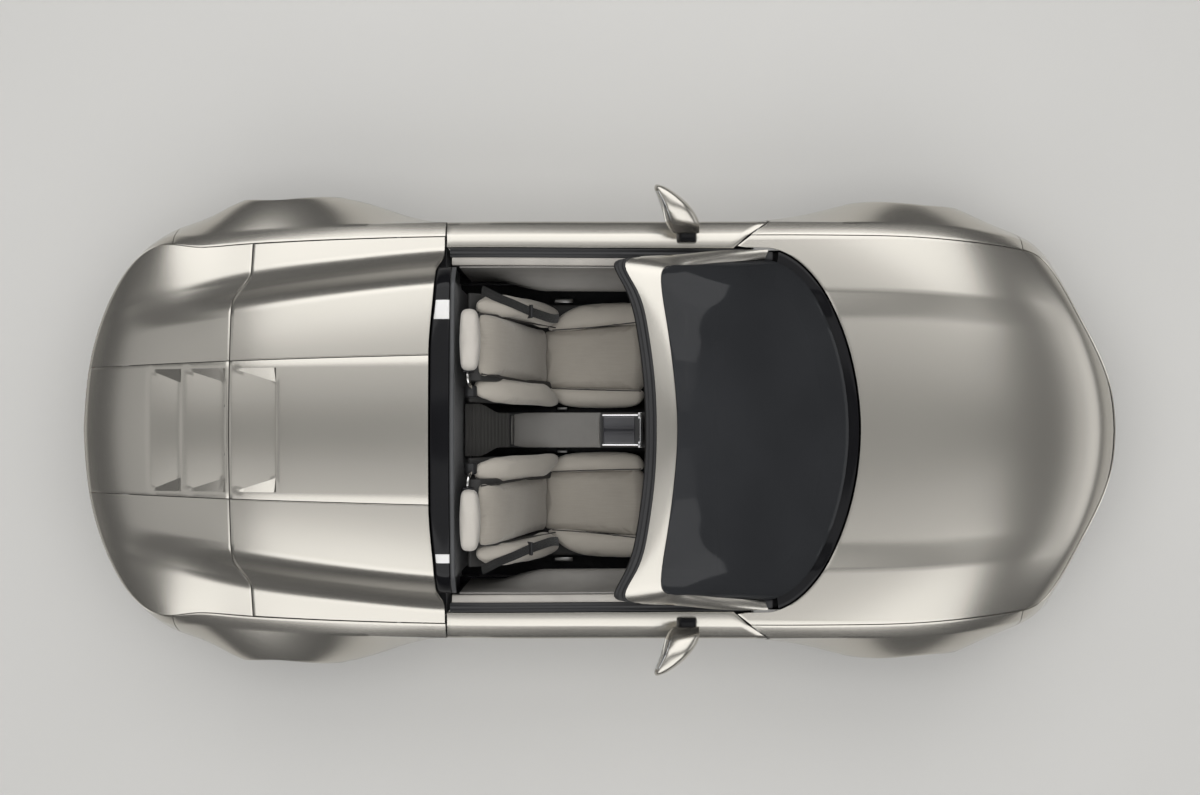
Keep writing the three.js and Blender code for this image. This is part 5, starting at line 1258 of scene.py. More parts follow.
pieces(sheetMetal(grilleBack, 3, 0.8), "body", "matt_black", "front_grille", material=mattBlack)
grille = {"bars": 7, "offset": 0.15, "height": 0.022}
bars = []
for k in range(grille["bars"]):
    low = mix(rows[0], rows[1], (k + grille["offset"]) / grille["bars"])
    bar = roundSheet("grille_bar", True, 40, 2, span, (low, low + grille["height"]), crowd=False, depth=3)
    bars.append(sheetMetal(bar, 14, 1))
pieces(joined("grille_bars", bars), "body", "matt_black", "front_grille", material=glossBlack)

liner = {"front": (412, 372, 868), "rear": (386, 382, 900), "inner": 560, "behindSkin": 14, "below": 40}


def archLiner(name, end, side):
    # squared off a little, to clear the tyre on full lock, and trimmed to the body's side
    axle, hubZ, _ = arches[end]
    halfX, halfZ, outer = liner[end]

    def shape(u, v):
        angle = np.pi * (1 - u)
        x = axle + halfX * np.sign(np.cos(angle)) * np.abs(np.cos(angle)) ** 0.8
        z = hubZ - liner["below"] + (halfZ + liner["below"]) * np.sin(angle)
        at = wallAt(x)
        edge = np.minimum(outer, wallPoint(at, rowAtHeight(at, z))[:, 1] - liner["behindSkin"])
        return np.stack([x, side * mix(liner["inner"], edge, v), z], -1)

    return gridSheet(name, shape, 40, 4, (0, 0, 1))


for side, sideName in sideNames.items():
    for end in arches:
        tunnel = archLiner(end + "_arch_liner_" + sideName, end, side)
        pieces(sheetMetal(tunnel, 3, 0.8), "body", "matt_black", material=mattBlack)
print("trim of the body made")


# seats

seat = {"voxel": 6.5, "kept": 0.45, "frames": 20, "pressure": 4.0,
        "sitting": [(-240, 350), (-120, 354), (60, 374), (140, 386), (186, 382), (210, 352)],
        "back": [(-226, 362), (-256, 436), (-298, 560), (-345, 715), (-394, 855), (-440, 948), (-488, 1006)],
        "side": [(-186, 384), (-222, 466), (-282, 590), (-350, 716), (-420, 830), (-480, 900), (-524, 934)]}
sittingZ = curveThrough(*zip(*seat["sitting"]))


def flatAt(level):
    return lambda x, y, height: np.stack(np.broadcast_arrays(x, y, level + height), -1)


def pathFrame(path):
    # a place along a line seen from the side, across the car, and away from the line
    plan = np.array(path, float)
    chord = np.concatenate([[0], np.cumsum(np.linalg.norm(np.diff(plan, axis=0), axis=1))])
    pathX, pathZ = curveThrough(chord, plan[:, 0]), curveThrough(chord, plan[:, 1])

    def where(along, y, height):
        slopeX, slopeZ = pathX(along + 1) - pathX(along - 1), pathZ(along + 1) - pathZ(along - 1)
        length = np.hypot(slopeX, slopeZ)
        x, z = pathX(along) + slopeZ / length * height, pathZ(along) - slopeX / length * height
        return np.stack(np.broadcast_arrays(x, y, z), -1)

    return where


onBack, onSide = pathFrame(seat["back"]), pathFrame(seat["side"])


def onSeat(x, y, height):
    return np.stack(np.broadcast_arrays(x, y, sittingZ(x) + height), -1)


def ringThrough(points, count=96, soft=16.0, fine=480):
    # the closed outline with its corners rounded off evenly
    points = np.array(points, float)
    ring = np.concatenate([points, points[:1]])
    chord = np.concatenate([[0], np.cumsum(np.linalg.norm(np.diff(ring, axis=0), axis=1))])
    t = np.linspace(0, chord[-1], fine, endpoint=False)
    even = np.stack([np.interp(t, chord, ring[:, k]) for k in range(ring.shape[1])], -1)
    reach = int(3 * soft / (t[1] - t[0])) + 1
    offsets = np.arange(-reach, reach + 1)
    weights = np.exp(-0.5 * (offsets * (t[1] - t[0]) / soft) ** 2)
    softened = sum(w * np.roll(even, int(k), axis=0) for k, w in zip(offsets, weights / weights.sum()))
    return softened[:: fine // count]


def padShape(name, outline, where, base, thick, lean=None):
    # a cushion with a round edge: its outline is drawn in to a blunt crown above and below
    ring = ringThrough(outline)
    centre = ring.mean(axis=0)
    rings = []
    for turn in np.linspace(-np.pi / 2, np.pi / 2, 17):
        reach = np.abs(np.cos(turn)) ** 0.42
        plan = centre + (ring - centre) * max(0.02, reach)
        rise = base + thick / 2 * np.sign(turn) * np.abs(np.sin(turn)) ** 0.7
        if lean is not None:
            rise = rise + lean(plan[:, 0], plan[:, 1])
        rings.append(where(plan[:, 0], plan[:, 1], rise))
    return loft(name, rings)


def places(obj):
    flat = np.zeros(len(obj.data.vertices) * 3)
    obj.data.vertices.foreach_get("co", flat)
    return flat.reshape(-1, 3)


def stuffed(obj, cap):
    # cloth blown up from inside; no point goes farther than the cap, in millimetres
    withModifier(obj, "REMESH", mode="VOXEL", voxel_size=seat["voxel"] * mm)
    start = places(obj)
    pick(obj)
    cloth = obj.modifiers.new("Cloth", "CLOTH")
    cloth.settings.use_pressure = True
    cloth.settings.uniform_pressure_force = seat["pressure"]
    cloth.settings.effector_weights.gravity = 0
    for step in range(1, seat["frames"] + 1):
        bpy.context.scene.frame_set(step)
    bpy.ops.object.modifier_apply(modifier=cloth.name)
    bpy.context.scene.frame_set(1)
    moved = places(obj) - start
    length = np.linalg.norm(moved, axis=1, keepdims=True)
    held = start + moved * np.minimum(1, cap * mm / np.maximum(length, 1e-9))
    obj.data.vertices.foreach_set("co", held.ravel())
    obj.data.update()
    withModifier(obj, "SMOOTH", factor=0.5, iterations=4)
    withModifier(obj, "SUBSURF", levels=1, render_levels=1)
    withModifier(obj, "DECIMATE", ratio=seat["kept"])
    return smoothed(obj, 80)


def clothFinish(name, color, thread=2.6, depth=0.5, streak=0.12):
    # two sets of threads, one across the car and one along it and up the backrest
    finish = Finish(name, sheen_weight=0.25, sheen_roughness=0.4, specular_ior_level=0.2)
    x, y, z = finish.axes()
    rate = 2 * math.pi / (thread * mm)
    across = finish.node("ShaderNodeMath", {0: y * rate}, operation="SINE")
    along = finish.node("ShaderNodeMath", {0: (x * 0.8 - z * 0.75) * rate}, operation="SINE")
    weave = finish.remap(across * along, -1, 1, 0, 1)
    stretched = finish.node("ShaderNodeCombineXYZ", {0: x * 14, 1: y * 260, 2: z * 14})
    slub = finish.remap(finish.noise(1.0, 3, 0.6, stretched), 0.3, 0.7, 0, 1)
    cloud = finish.remap(finish.noise(7, 4, 0.55), 0.3, 0.7, 0, 1)
    tint = finish.blendOf(weave, shade(color, 0.9), shade(color, 1.08))
    tint = finish.blendOf(slub * streak * 4, tint, shade(color, 0.82))
    tint = finish.blendOf(cloud * 0.3, tint, shade(color, 1.2))
    finish.give("Base Color", tint)
    finish.give("Roughness", finish.remap(cloud, 0, 1, 0.82, 0.95))
    finish.bump(weave + slub * 0.5, depth, 0.0005)
    return finish.material


def leatherFinish(name, color, roughness, grain=420):
    finish = Finish(name, specular_ior_level=0.4)
    cells = finish.node("ShaderNodeTexVoronoi", {"Vector": finish.place(), "Scale": grain}, feature="DISTANCE_TO_EDGE")
    crease = finish.remap(cells, 0, 0.12, 0, 1)
    cloud = finish.remap(finish.noise(9, 4), 0.3, 0.7, 0, 1)
    tint = finish.blendOf(crease, shade(color, 0.72), opaque(color))
    finish.give("Base Color", finish.blendOf(cloud * 0.35, tint, shade(color, 1.22)))
    finish.give("Roughness", finish.remap(cloud, 0, 1, roughness * 0.9, roughness * 1.12))
    finish.bump(crease, 0.3, 0.0005)
    return finish.material


# the centre cloth is darker than the bolsters and headrest: partly a darker cloth, partly painted shade of the cabin
seatColors = {"centre": (0.335, 0.308, 0.268), "bolster": (0.40, 0.37, 0.325), "head": (0.43, 0.405, 0.37),
              "piping": (0.035, 0.033, 0.031)}
centreCloth = clothFinish("centreCloth", seatColors["centre"])
bolsterCloth = clothFinish("bolsterCloth", seatColors["bolster"], 1.6, 0.3, 0.05)
headCloth = clothFinish("headCloth", seatColors["head"], 1.6, 0.3, 0.05)
# the piping cord is near black, partly its own colour and partly painted shade of the creases between the pads
pipingCordAndCreaseShade = leatherFinish("pipingCordAndCreaseShade", seatColors["piping"], 0.6)
shellLeather = leatherFinish("shellLeather", (0.03, 0.029, 0.028), 0.55)
webbing = clothFinish("webbing", (0.014, 0.014, 0.0135), 1.8, 0.6, 0.0)


def hump(y0, half, rise):
    # a ridge along the pad, highest at y0
    return lambda a, y: rise * np.clip(1 - ((y - y0) / half) ** 2, -0.4, 1)


padTable = {
    "cushion": {"where": onSeat, "base": -22, "thick": 44, "cap": 11, "cloth": centreCloth,
                "outline": [(-262, 176), (-262, 452), (-150, 458), (60, 474), (200, 488), (214, 440), (218, 330),
                            (212, 210), (196, 162), (60, 168), (-150, 174)]},
    "backrest": {"where": onBack, "base": -22, "thick": 44, "cap": 11, "cloth": centreCloth,
                 "outline": [(4, 180), (0, 316), (4, 450), (200, 460), (400, 470), (600, 478), (690, 474), (706, 344),
                             (692, 214), (600, 212), (400, 204), (200, 192)]},
    "cushion_outer": {"where": onSeat, "base": -2, "thick": 64, "cap": 11, "cloth": bolsterCloth,
                      "lean": hump(520, 64, 12),
                      "outline": [(-246, 446), (-206, 486), (-150, 530), (-80, 558), (40, 566), (140, 566), (192, 554),
                                  (208, 510), (196, 470), (66, 460), (-60, 448), (-170, 440)]},
    "cushion_inner": {"where": onSeat, "base": -4, "thick": 58, "cap": 9, "cloth": bolsterCloth,
                      "lean": hump(134, 52, 10),
                      "outline": [(-246, 184), (-222, 140), (-160, 108), (-80, 98), (20, 96), (120, 98), (176, 110),
                                  (202, 146), (200, 178), (110, 182), (-40, 186), (-170, 190)]},
    "back_outer": {"where": onSide, "base": -8, "thick": 62, "cap": 11, "cloth": bolsterCloth,
                   "lean": hump(520, 66, 12),
                   "outline": [(640, 520), (570, 560), (470, 570), (300, 568), (170, 556), (80, 540), (22, 524),
                               (18, 500), (60, 462), (120, 442), (260, 450), (420, 458), (560, 462), (630, 480)]},
    "back_inner": {"where": onSide, "base": -8, "thick": 60, "cap": 9, "cloth": bolsterCloth, "lean": hump(150, 56, 10),
                   "outline": [(654, 172), (620, 212), (520, 222), (350, 216), (140, 204), (90, 176), (26, 140),
                               (14, 112), (60, 102), (200, 98), (400, 98), (540, 108), (630, 136)]},
    "headrest": {"where": flatAt(1058), "base": 0, "thick": 92, "cap": 9, "cloth": headCloth,
                 "outline": [(-554, 238), (-556, 300), (-557, 360), (-556, 420), (-554, 480), (-530, 486), (-490, 482),
                             (-482, 430), (-479, 360), (-482, 290), (-490, 238), (-530, 234)]},
}
shellOutline = [(180, 318), (184, 348), (150, 360), (-120, 326), (-236, 324), (-292, 424), (-418, 890), (-484, 968),
                (-530, 976), (-546, 948), (-500, 700), (-400, 330), (-330, 252), (116, 252)]
shellSides = [(180, 318), (184, 348), (150, 360), (-120, 326), (-214, 330), (-246, 454), (-306, 578), (-374, 704),
              (-443, 815),
              (-502, 880), (-536, 904), (-546, 886), (-500, 700), (-400, 330), (-330, 252), (116, 252)]


def mirroredCopy(obj, name):
    # the same mesh on the other side of the car
    pick(obj)
    bpy.ops.object.duplicate()
    copy = named(bpy.context.object, name)
    bpy.ops.transform.mirror(constraint_axis=(False, True, False), center_override=(0, 0, 0))
    return edited(settled(copy), turnOutwards)


def bothSeats(obj, stem, slotName, material):
    copy = mirroredCopy(obj, stem + "_right")
    for piece, node in ((named(obj, stem + "_left"), "driver_seat"), (copy, "passenger_seat")):
        pieces(piece, "body", slotName, node, material=material)


padPieces = {}
for stem, row in padTable.items():
    pad = padShape("seat_" + stem, row["outline"], row["where"], row["base"], row["thick"], row.get("lean"))
    padPieces[stem] = stuffed(pad, row["cap"])
    print("pad", stem, len(pad.data.vertices))


def restingOn(where, plan, targets, reach=170):
    # how high above the frame a line coming straight down meets the nearest pad
    heights = []
    for a, y in plan:
        start, foot = Vector(where(a, y, reach)) * mm, Vector(where(a, y, -30)) * mm
        direction, length = (foot - start).normalized(), (foot - start).length
        hits = [(point - start).length for hit, point, normal, index in
                [obj.ray_cast(start, direction, distance=length) for obj in targets] if hit]
        heights.append(reach - min(hits) / mm if hits else np.nan)
    heights = np.array(heights)
    known = ~np.isnan(heights)
    return np.interp(np.arange(len(heights)), np.flatnonzero(known), heights[known])


def evenly(route, steps):
    route = np.array(route, float)
    chord = np.concatenate([[0], np.cumsum(np.linalg.norm(np.diff(route, axis=0), axis=1))])
    t = np.linspace(0, chord[-1], steps)
    return np.stack([curveThrough(chord, route[:, k])(t) for k in (0, 1)], -1)


def beltStrip(name, route, half, lift=4.0, steps=46):
    # webbing laid over the bolster, and pulled straight between the high points
    middle = evenly(route, steps)
    across = np.gradient(middle, axis=0)
    across = np.stack([-across[:, 1], across[:, 0]], -1)
    across = across / np.linalg.norm(across, axis=1, keepdims=True)
    targets = [padPieces["back_outer"], padPieces["backrest"], padPieces["cushion_outer"]]
    plans = [middle + across * half * k for k in np.linspace(-1, 1, 5)]
    heights = np.array([restingOn(onBack, plan, targets) for plan in plans])
    heights = mix(heights, heights.max(axis=0), 0.6)
    for _ in range(10):
        soft = heights.copy()
        soft[:, 1:-1] = (heights[:, :-2] + heights[:, 1:-1] * 2 + heights[:, 2:]) / 4
        heights = np.maximum(soft, heights - 1.5)
    grid = np.array([onBack(plan[:, 0], plan[:, 1], h + lift) for plan, h in zip(plans, heights)])
    strip = gridSheet(name, sampled(grid), steps - 1, 4, (1, 0, 0.5))
    return smoothed(withModifier(strip, "SOLIDIFY", thickness=1.6 * mm, offset=0), 50), grid[2]


def seamLine(where, route, stems, radius=3.2, sink=0.2):
    # piping in the crease between two pads; its near-black colour also gives painted shade of the crease
    plan = evenly(route, 40)
    heights = restingOn(where, plan, [padPieces[stem] for stem in stems])
    for _ in range(4):
        heights[1:-1] = (heights[:-2] + heights[1:-1] * 2 + heights[2:]) / 4
    return tube("seam", where(plan[:, 0], plan[:, 1], heights - sink), radius, resolution=2)


beltRoute = [(668, 566), (590, 548), (500, 528), (380, 504), (260, 490), (150, 484), (70, 490)]
belt, beltMiddle = beltStrip("seat_belt", beltRoute, 19)
clipAt = beltMiddle[24]
clipPlate = block("seat_belt_clip", clipAt + np.array([-24, -28, 1]), clipAt + np.array([24, 28, 12]), 4)
pick(clipPlate)
bpy.ops.transform.rotate(value=math.radians(62), orient_axis="Y", center_override=tuple(clipAt * mm))
settled(clipPlate)
creases = [(onBack, [(40, 452), (200, 454), (400, 461), (600, 468), (680, 468)], ["backrest", "back_outer"]),
           (onBack, [(40, 192), (200, 200), (400, 210), (600, 222), (680, 226)], ["backrest", "back_inner"]),
           (onSeat, [(-212, 446), (-100, 452), (60, 466), (180, 478)], ["cushion", "cushion_outer"]),
           (onSeat, [(-212, 184), (-100, 180), (60, 175), (180, 172)], ["cushion", "cushion_inner"])]
bothSeats(joined("seat_piping", [seamLine(*crease) for crease in creases]), "seat_piping", "dark_trim", pipingCordAndCreaseShade)

for stem, row in padTable.items():
    bothSeats(padPieces[stem], "seat_" + stem, "seat_cloth", row["cloth"])
bothSeats(belt, "seat_belt", "matt_black", webbing)
bothSeats(clipPlate, "seat_belt_clip", "matt_black", mattBlack)

shellParts = [prism("shell_part", outline, 1, y0, y1, 10, 4) for outline, y0, y1 in
              [(shellSides, 114, 216), (shellOutline, 198, 474), (shellSides, 456, 562)]]
shell = joined("seat_shell", shellParts)
bothSeats(shell, "seat_shell", "dark_trim", shellLeather)
hookLine = [(-532, 244, 1030), (-532, 226, 1036), (-530, 205, 1038), (-527, 184, 1028), (-523, 172, 1002),
            (-521, 168, 972)]
bothSeats(tube("headrest_hook", hookLine, 8, resolution=6), "headrest_hook", "alloy", chrome)
bracket = block("headrest_bracket", (-552, 229, 1006), (-504, 249, 1062), 6)
bothSeats(bracket, "headrest_bracket", "matt_black", glossBlack)
boss = prism("backrest_boss", [(-550, 900), (-552, 962), (-536, 984), (-512, 984), (-500, 964), (-500, 900)], 1, 134,
             180, 7)
bothSeats(boss, "backrest_boss", "matt_black", mattBlack)
posts = [spun("headrest_post", [(0, 0), (6, 0), (6, 70), (0, 70)], (-517, y, 962), (0, 0, 1), 20) for y in (300, 420)]
bothSeats(joined("headrest_posts", posts), "headrest_posts", "alloy", chrome)
channel = [(-17, 160), (17, 160), (17, 196), (8, 196), (8, 170), (-8, 170), (-8, 196), (-17, 196)]
runner = [(-12, 188), (12, 188), (12, 256), (-12, 256)]
railSteel = metalFinish("railSteel", (0.16, 0.16, 0.165), 0.45, grime=0.4)
railFrame = [prism("seat_rail", [(middle + y, z) for y, z in outline], 0, *reach, 2) for middle in (168, 508)
             for outline, reach in ((channel, (-330, 120, 1.5)), (runner, (-318, 108, 3)))]
bothSeats(joined("seat_rails", railFrame), "seat_rails", "structure", railSteel)
buckle = block("belt_buckle", (-190, 88, 318), (-146, 101, 366), 3)
bothSeats(buckle, "belt_buckle", "matt_black", metalFinish("buckleSteel", (0.25, 0.245, 0.24), 0.35))
lever = prism("seat_lever", [(-205, 352), (-203, 364), (-150, 372), (-120, 366), (-122, 356), (-160, 358)], 1, 566, 584,
              3)
bothSeats(lever, "seat_lever", "alloy", metalFinish("leverAlloy", (0.4, 0.395, 0.385), 0.3))
print("seats made")


# dashboard, steering, console and control box

dash = {"half": 628, "back": 829, "driver": 338, "cowlHalf": 175, "cowlRise": 26, "ends": 40, "stations": 73,
        "profile": [(0, 480), (0, 842), (-120, 856), (-270, 868), (-322, 846), (-334, 806), (-334, 770), (-300, 690),
                    (-270, 650), (-190, 560), (-70, 480)]}
dashSkin = leatherFinish("dashSkin", (0.035, 0.034, 0.033), 0.55)
darkFelt = plasticFinish("darkFelt", (0.012, 0.012, 0.013), 0.9, 900, 0.3)
satinBlack = plasticFinish("satinBlack", (0.02, 0.02, 0.021), 0.38, 600, 0.06)
satinAlloy = metalFinish("satinAlloy", (0.5, 0.495, 0.48), 0.3, brushed=0.1, grime=0.1)


def dashRing(y):
    # the section rises into a cowl over the instruments
    swell = np.clip(1 - ((y - dash["driver"]) / dash["cowlHalf"]) ** 2, 0, 1) ** 0.8
    ends = smooth(dash["half"], dash["half"] - dash["ends"], abs(y))
    points = []
    for x, z in dash["profile"]:
        lift = swell * dash["cowlRise"] * (z > 800)
        points.append((dash["back"] + x * mix(0.94, 1, ends), z + lift - (1 - ends) * 14 * (z > 700)))
    ring = ringThrough(points, 60, 9)
    return np.stack([ring[:, 0], 0 * ring[:, 0] + y, ring[:, 1]], -1)


dashBody = loft("dash_body", [dashRing(y) for y in np.linspace(-dash["half"], dash["half"], dash["stations"])])
pieces(smoothed(dashBody, 45), "body", "dark_trim", "dashboard", material=dashSkin)


def shelfShape(u, v):
    front = screenFootPoint(0.8 * (1 - 2 * u), -164)
    rear = pair(mix(612, 700, np.abs(1 - 2 * u) ** 3), mix(612, -612, u))
    plan = mix(front, rear, v[:, None])
    return np.concatenate([plan, (848 + 6 * np.sin(np.pi * v))[:, None]], -1)


shelf = gridSheet("dash_shelf", shelfShape, 60, 16, (0, 0, 1))
pieces(sheetMetal(shelf, 5, 1), "body", "matt_black", "dashboard", material=darkFelt)
bandSection = [(-337, 758), (-339, 764), (-339, 786), (-337, 792), (-325, 792), (-325, 758)]
band = loft("dash_band", [[(dash["back"] + x, y, z) for x, z in bandSection] for y in np.linspace(-600, 600, 25)])
pieces(smoothed(band, 40), "body", "alloy", "dashboard", material=satinAlloy)
cluster = prism("instrument_panel", [(200, 800), (204, 862), (240, 878), (436, 878), (472, 862), (476, 800)], 0, 488,
                512, 4)
pieces(cluster, "body", "gloss_black", "dashboard", material=glossBlack)
dials = []
for y, radius in ((268, 34), (338, 46), (408, 34)):
    bezel = [(radius - 4, 0), (radius, 0), (radius, 5), (radius - 2, 7), (radius - 4, 5)]
    dials.append(spun("dial", bezel, (487, y, 836), (-1, 0, 0), 40))
    tip = 836 + radius * 0.7
    dials.append(prism("needle", [(y - 1.5, 832), (y + 1.5, 832), (y + 0.8, tip), (y - 0.8, tip)], 0, 482, 486))
pieces(joined("instrument_dials", dials), "body", "alloy", "dashboard", material=satinAlloy)
screenOutline = [(-104, 640), (-104, 742), (-96, 750), (96, 750), (104, 742), (104, 640), (96, 632), (-96, 632)]
pieces(prism("centre_display", screenOutline, 0, 478, 560, 3), "body", "gloss_black", "dashboard", material=glossBlack)
vents = []
for y in (-572, -150, 150, 572):
    outer = prism("vent", [(y - 44, 796), (y + 44, 796), (y + 44, 834), (y - 44, 834)], 0, 489, 500, 3)
    inner = block("vent_cut", (470, y - 38, 801), (520, y + 38, 829))
    vents.append(cutOut(outer, inner))
    vents += [block("vane", (490, y - 39, 803 + 7 * k), (499, y + 39, 804.5 + 7 * k)) for k in range(4)]
pieces(joined("dash_vents", vents), "body", "dark_trim", "dashboard", material=satinBlack)

steering = {"hub": (352, 338, 772), "lean": math.radians(65), "rim": 180, "grip": 15}
wheelUp = np.array([math.cos(steering["lean"]), 0, math.sin(steering["lean"])])
wheelOut = np.array([-math.sin(steering["lean"]), 0, math.cos(steering["lean"])])
wheelSide = np.array([0, 1.0, 0])
wheelHub = np.array(steering["hub"], float)
spokePlan = {"lines": [((28, 6), (170, 12)), ((-28, 6), (-170, 12)), ((0, -26), (0, -170))], "half": (26, 15),
             "deep": 6, "back": 10}
bossOutline = [(0, -30), (44, -30), (52, -18), (54, 0), (46, 10), (26, 14), (0, 15)]
bossRing = [(45, 9), (49, 9), (49, 12), (47, 13.5), (45, 12)]
shroudOutline = [(0, -290), (34, -290), (38, -240), (40, -120), (40, -50), (34, -34), (0, -34)]


def onWheel(across, up, out):
    return wheelHub + wheelSide * across + wheelUp * up + wheelOut * out


def gripRing(angle):
    # the rim is thicker where thumbs rest, and flatter towards the driver
    thick = steering["grip"] * (0.88 + 0.12 * np.cos(4 * angle))
    middle = onWheel(steering["rim"] * math.cos(angle), steering["rim"] * math.sin(angle), 0)
    outward = wheelSide * math.cos(angle) + wheelUp * math.sin(angle)
    turns = np.linspace(0, 2 * np.pi, 18, endpoint=False)
    return middle + np.outer(np.cos(turns) * thick * 0.92, outward) + np.outer(np.sin(turns) * thick, wheelOut)


rim = smoothed(loft("wheel_grip", [gripRing(a) for a in np.linspace(0, 2 * np.pi, 97)]), 60)
pieces(rim, "steering_wheel", "dark_trim", "steering_wheel", material=shellLeather)


def wheelSpoke(start, end):
    # a flat bar, slimmest halfway, that rises from the boss to the rim
    start, end = np.array(start, float), np.array(end, float)
    sideways = np.array([end[1] - start[1], start[0] - end[0]]) / np.linalg.norm(end - start)
    rings = []
    for t in np.linspace(0, 1, 9):
        half = mix(*spokePlan["half"], math.sin(math.pi * t) ** 0.6)
        ring = []
        for turn in np.linspace(0, 2 * np.pi, 16, endpoint=False):
            across, up = mix(start, end, t) + sideways * half * math.cos(turn)
            ring.append(onWheel(across, up, spokePlan["deep"] * math.sin(turn) - spokePlan["back"] * (1 - t)))
        rings.append(ring)
    return loft("wheel_spoke", rings)


spokes = joined("wheel_spokes", [wheelSpoke(*line) for line in spokePlan["lines"]])
pieces(smoothed(spokes, 50), "steering_wheel", "alloy", "steering_wheel", material=satinAlloy)
boss = spun("wheel_boss", bossOutline, wheelHub, wheelOut, 56)
pieces(boss, "steering_wheel", "dark_trim", "steering_wheel", material=satinBlack)
ring = spun("wheel_boss_ring", bossRing, wheelHub, wheelOut, 56)
pieces(ring, "steering_wheel", "alloy", "steering_wheel", material=satinAlloy)
shroud = spun("column_shroud", shroudOutline, wheelHub, wheelOut, 40)
pieces(shroud, "body", "matt_black", "steering_column", material=satinBlack)
stalkLine = [(34, 8, -62), (90, 16, -60), (150, 22, -54)]
stalks = [tube("stalk", [onWheel(side * a, b, c) for a, b, c in stalkLine], 6, resolution=3) for side in (1, -1)]
pieces(joined("column_stalks", stalks), "body", "matt_black", "steering_column", material=satinBlack)

consoleFinish = leatherFinish("consoleLeather", (0.155, 0.149, 0.138), 0.5)
ribbedMat = plasticFinish("ribbedMat", (0.062, 0.06, 0.056), 0.8, 500, 0.2)
consoleSides = plasticFinish("consoleSides", (0.03, 0.03, 0.03), 0.6)
console = {"half": 77,
           "profile": [(418, 331), (438, 556), (490, 634), (466, 652), (200, 552), (8, 508), (-60, 492), (-372, 492),
                                   (-396, 506), (-516, 610), (-576, 612), (-576, 331)]}
consoleBody = prism("console_body", console["profile"], 1, -console["half"], console["half"], 8, 4)
pieces(consoleBody, "body", "dark_trim", "centre_console", material=consoleSides)


def consolePad(u, v):
    # the top is a shallow cushion with rounded corners, which falls away at its sides
    x = mix(-378, 2, v)
    across = 2 * u - 1
    half = 76 - 10 * (1 - np.clip(v / 0.18, 0, 1)) ** 2
    crown = 9 * (1 - np.abs(across) ** 4) * np.clip(np.minimum(v, 1 - v) / 0.06, 0, 1) ** 0.4
    return np.stack([x, across * half, mix(494, 507, smooth(-60, 10, x)) + crown], -1)


pad = gridSheet("console_pad", consolePad, 36, 64, (0, 0, 1))
pieces(sheetMetal(pad, 5, 1.2), "body", "dark_trim", "centre_console", material=consoleFinish)
lipLine = [(-384, -62, 500), (-385, -40, 504), (-386, 0, 506), (-385, 40, 504), (-384, 62, 500)]
lipAlloy = metalFinish("lipAlloy", (0.3, 0.292, 0.275), 0.42, grime=0.05)
pieces(tube("console_lip", lipLine, 6.5, resolution=5), "body", "alloy", "centre_console", material=lipAlloy)


def matShape(u, v):
    # ribs across the car, on the box behind the console and the slope up to it
    x = mix(-394, -578, v)
    z = np.interp(-x, [394, 400, 516, 530, 578], [507, 512, 614, 617, 617])
    rib = 2.2 * np.abs(np.sin(np.pi * v * 13))
    return np.stack([x, mix(-1, 1, u) * mix(74, 112, smooth(-430, -520, x)), z + rib], -1)


mat = gridSheet("console_mat", matShape, 24, 156, (0, 0, 1))
pieces(sheetMetal(mat, 4, 0.8), "body", "matt_black", "centre_console", material=ribbedMat)

box = {"rearTop": 562, "drop": 4, "base": (46, 50), "half": 72, "glass": (4, 138, 58), "stripe": (8, 136, 9),
       "rail": 64,
       "roller": 52, "grooves": 17}
boxGlass = plasticFinish("boxGlass", (0.05, 0.05, 0.055), 0.12, depth=0, coat=0.3)
boxStripe = plasticFinish("boxStripe", (0.018, 0.018, 0.022), 0.2, depth=0)
railAlloy = metalFinish("railAlloy", (0.86, 0.86, 0.87), 0.16, grime=0.04)
low, high = [np.array(corner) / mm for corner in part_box("control_box")]
rear, front = low[0], high[0]


def boxTop(x, lift=0.0):
    # the top of the box at x, just above the console's slope
    return mix(box["rearTop"], high[2] - box["drop"], np.clip((x - rear) / (front - rear), 0, 1)) + lift


def boxSheet(name, plan, lift, swell, columns):
    start, end, half = plan

    def shape(u, v):
        x = mix(rear + start, rear + end, v)
        return np.stack([x, mix(-half, half, u), boxTop(x, lift) + swell * np.sin(np.pi * u)], -1)

    return gridSheet(name, shape, columns, 16, (0, 0, 1))


baseOutline = [(rear + 1, boxTop(rear) - box["base"][0]), (rear + 1, boxTop(rear) - box["drop"]),
               (front - 1, boxTop(front) - box["drop"]), (front - 1, boxTop(front) - box["base"][1])]
base = prism("box_base", baseOutline, 1, -box["half"], box["half"], 4)
pieces(base, "body", "gloss_black", "control_box", material=satinBlack)
plate = boxSheet("box_glass", box["glass"], 0.6, 2.5, 16)
pieces(sheetMetal(plate, 3, 0.8), "body", "gloss_black", "control_box", material=boxGlass)
stripe = boxSheet("box_stripe", box["stripe"], 4.0, 0, 4)
pieces(sheetMetal(stripe, 1.2, 0.4), "body", "gloss_black", "control_box", material=boxStripe)
railLine = [(rear + 2, 1), (rear + 60, 3), (front - 18, 2)]
rails = [tube("rail", [(x, side * box["rail"], boxTop(x, lift)) for x, lift in railLine], 5.5,
              resolution=5) for side in (1, -1)]
pieces(joined("box_rails", rails), "body", "alloy", "control_box", material=railAlloy)
capHeights = (boxTop(front) - 14, boxTop(front) + 7)
caps = [sideBlock("cap", side, (front - 24, front - 3), (49, 76), capHeights, 4, 4) for side in (1, -1)]
pieces(joined("box_caps", caps), "body", "alloy", "control_box", material=railAlloy)
knurl = [(8.5, -51), (8.5, -48), (6.6, -47), (6.6, -46)]
rollerOutline = [(0, -box["roller"]), (7, -box["roller"])]
rollerOutline += [(radius, along + 6 * k) for k in range(box["grooves"]) for radius, along in knurl]
rollerOutline += [(7, box["roller"]), (0, box["roller"])]
roller = spun("box_roller", rollerOutline, (front - 12, 0, boxTop(front) - 1), (0, 1, 0), 24)
pieces(roller, "body", "alloy", "control_box", material=railAlloy)
print("cabin trim made")


# wheels

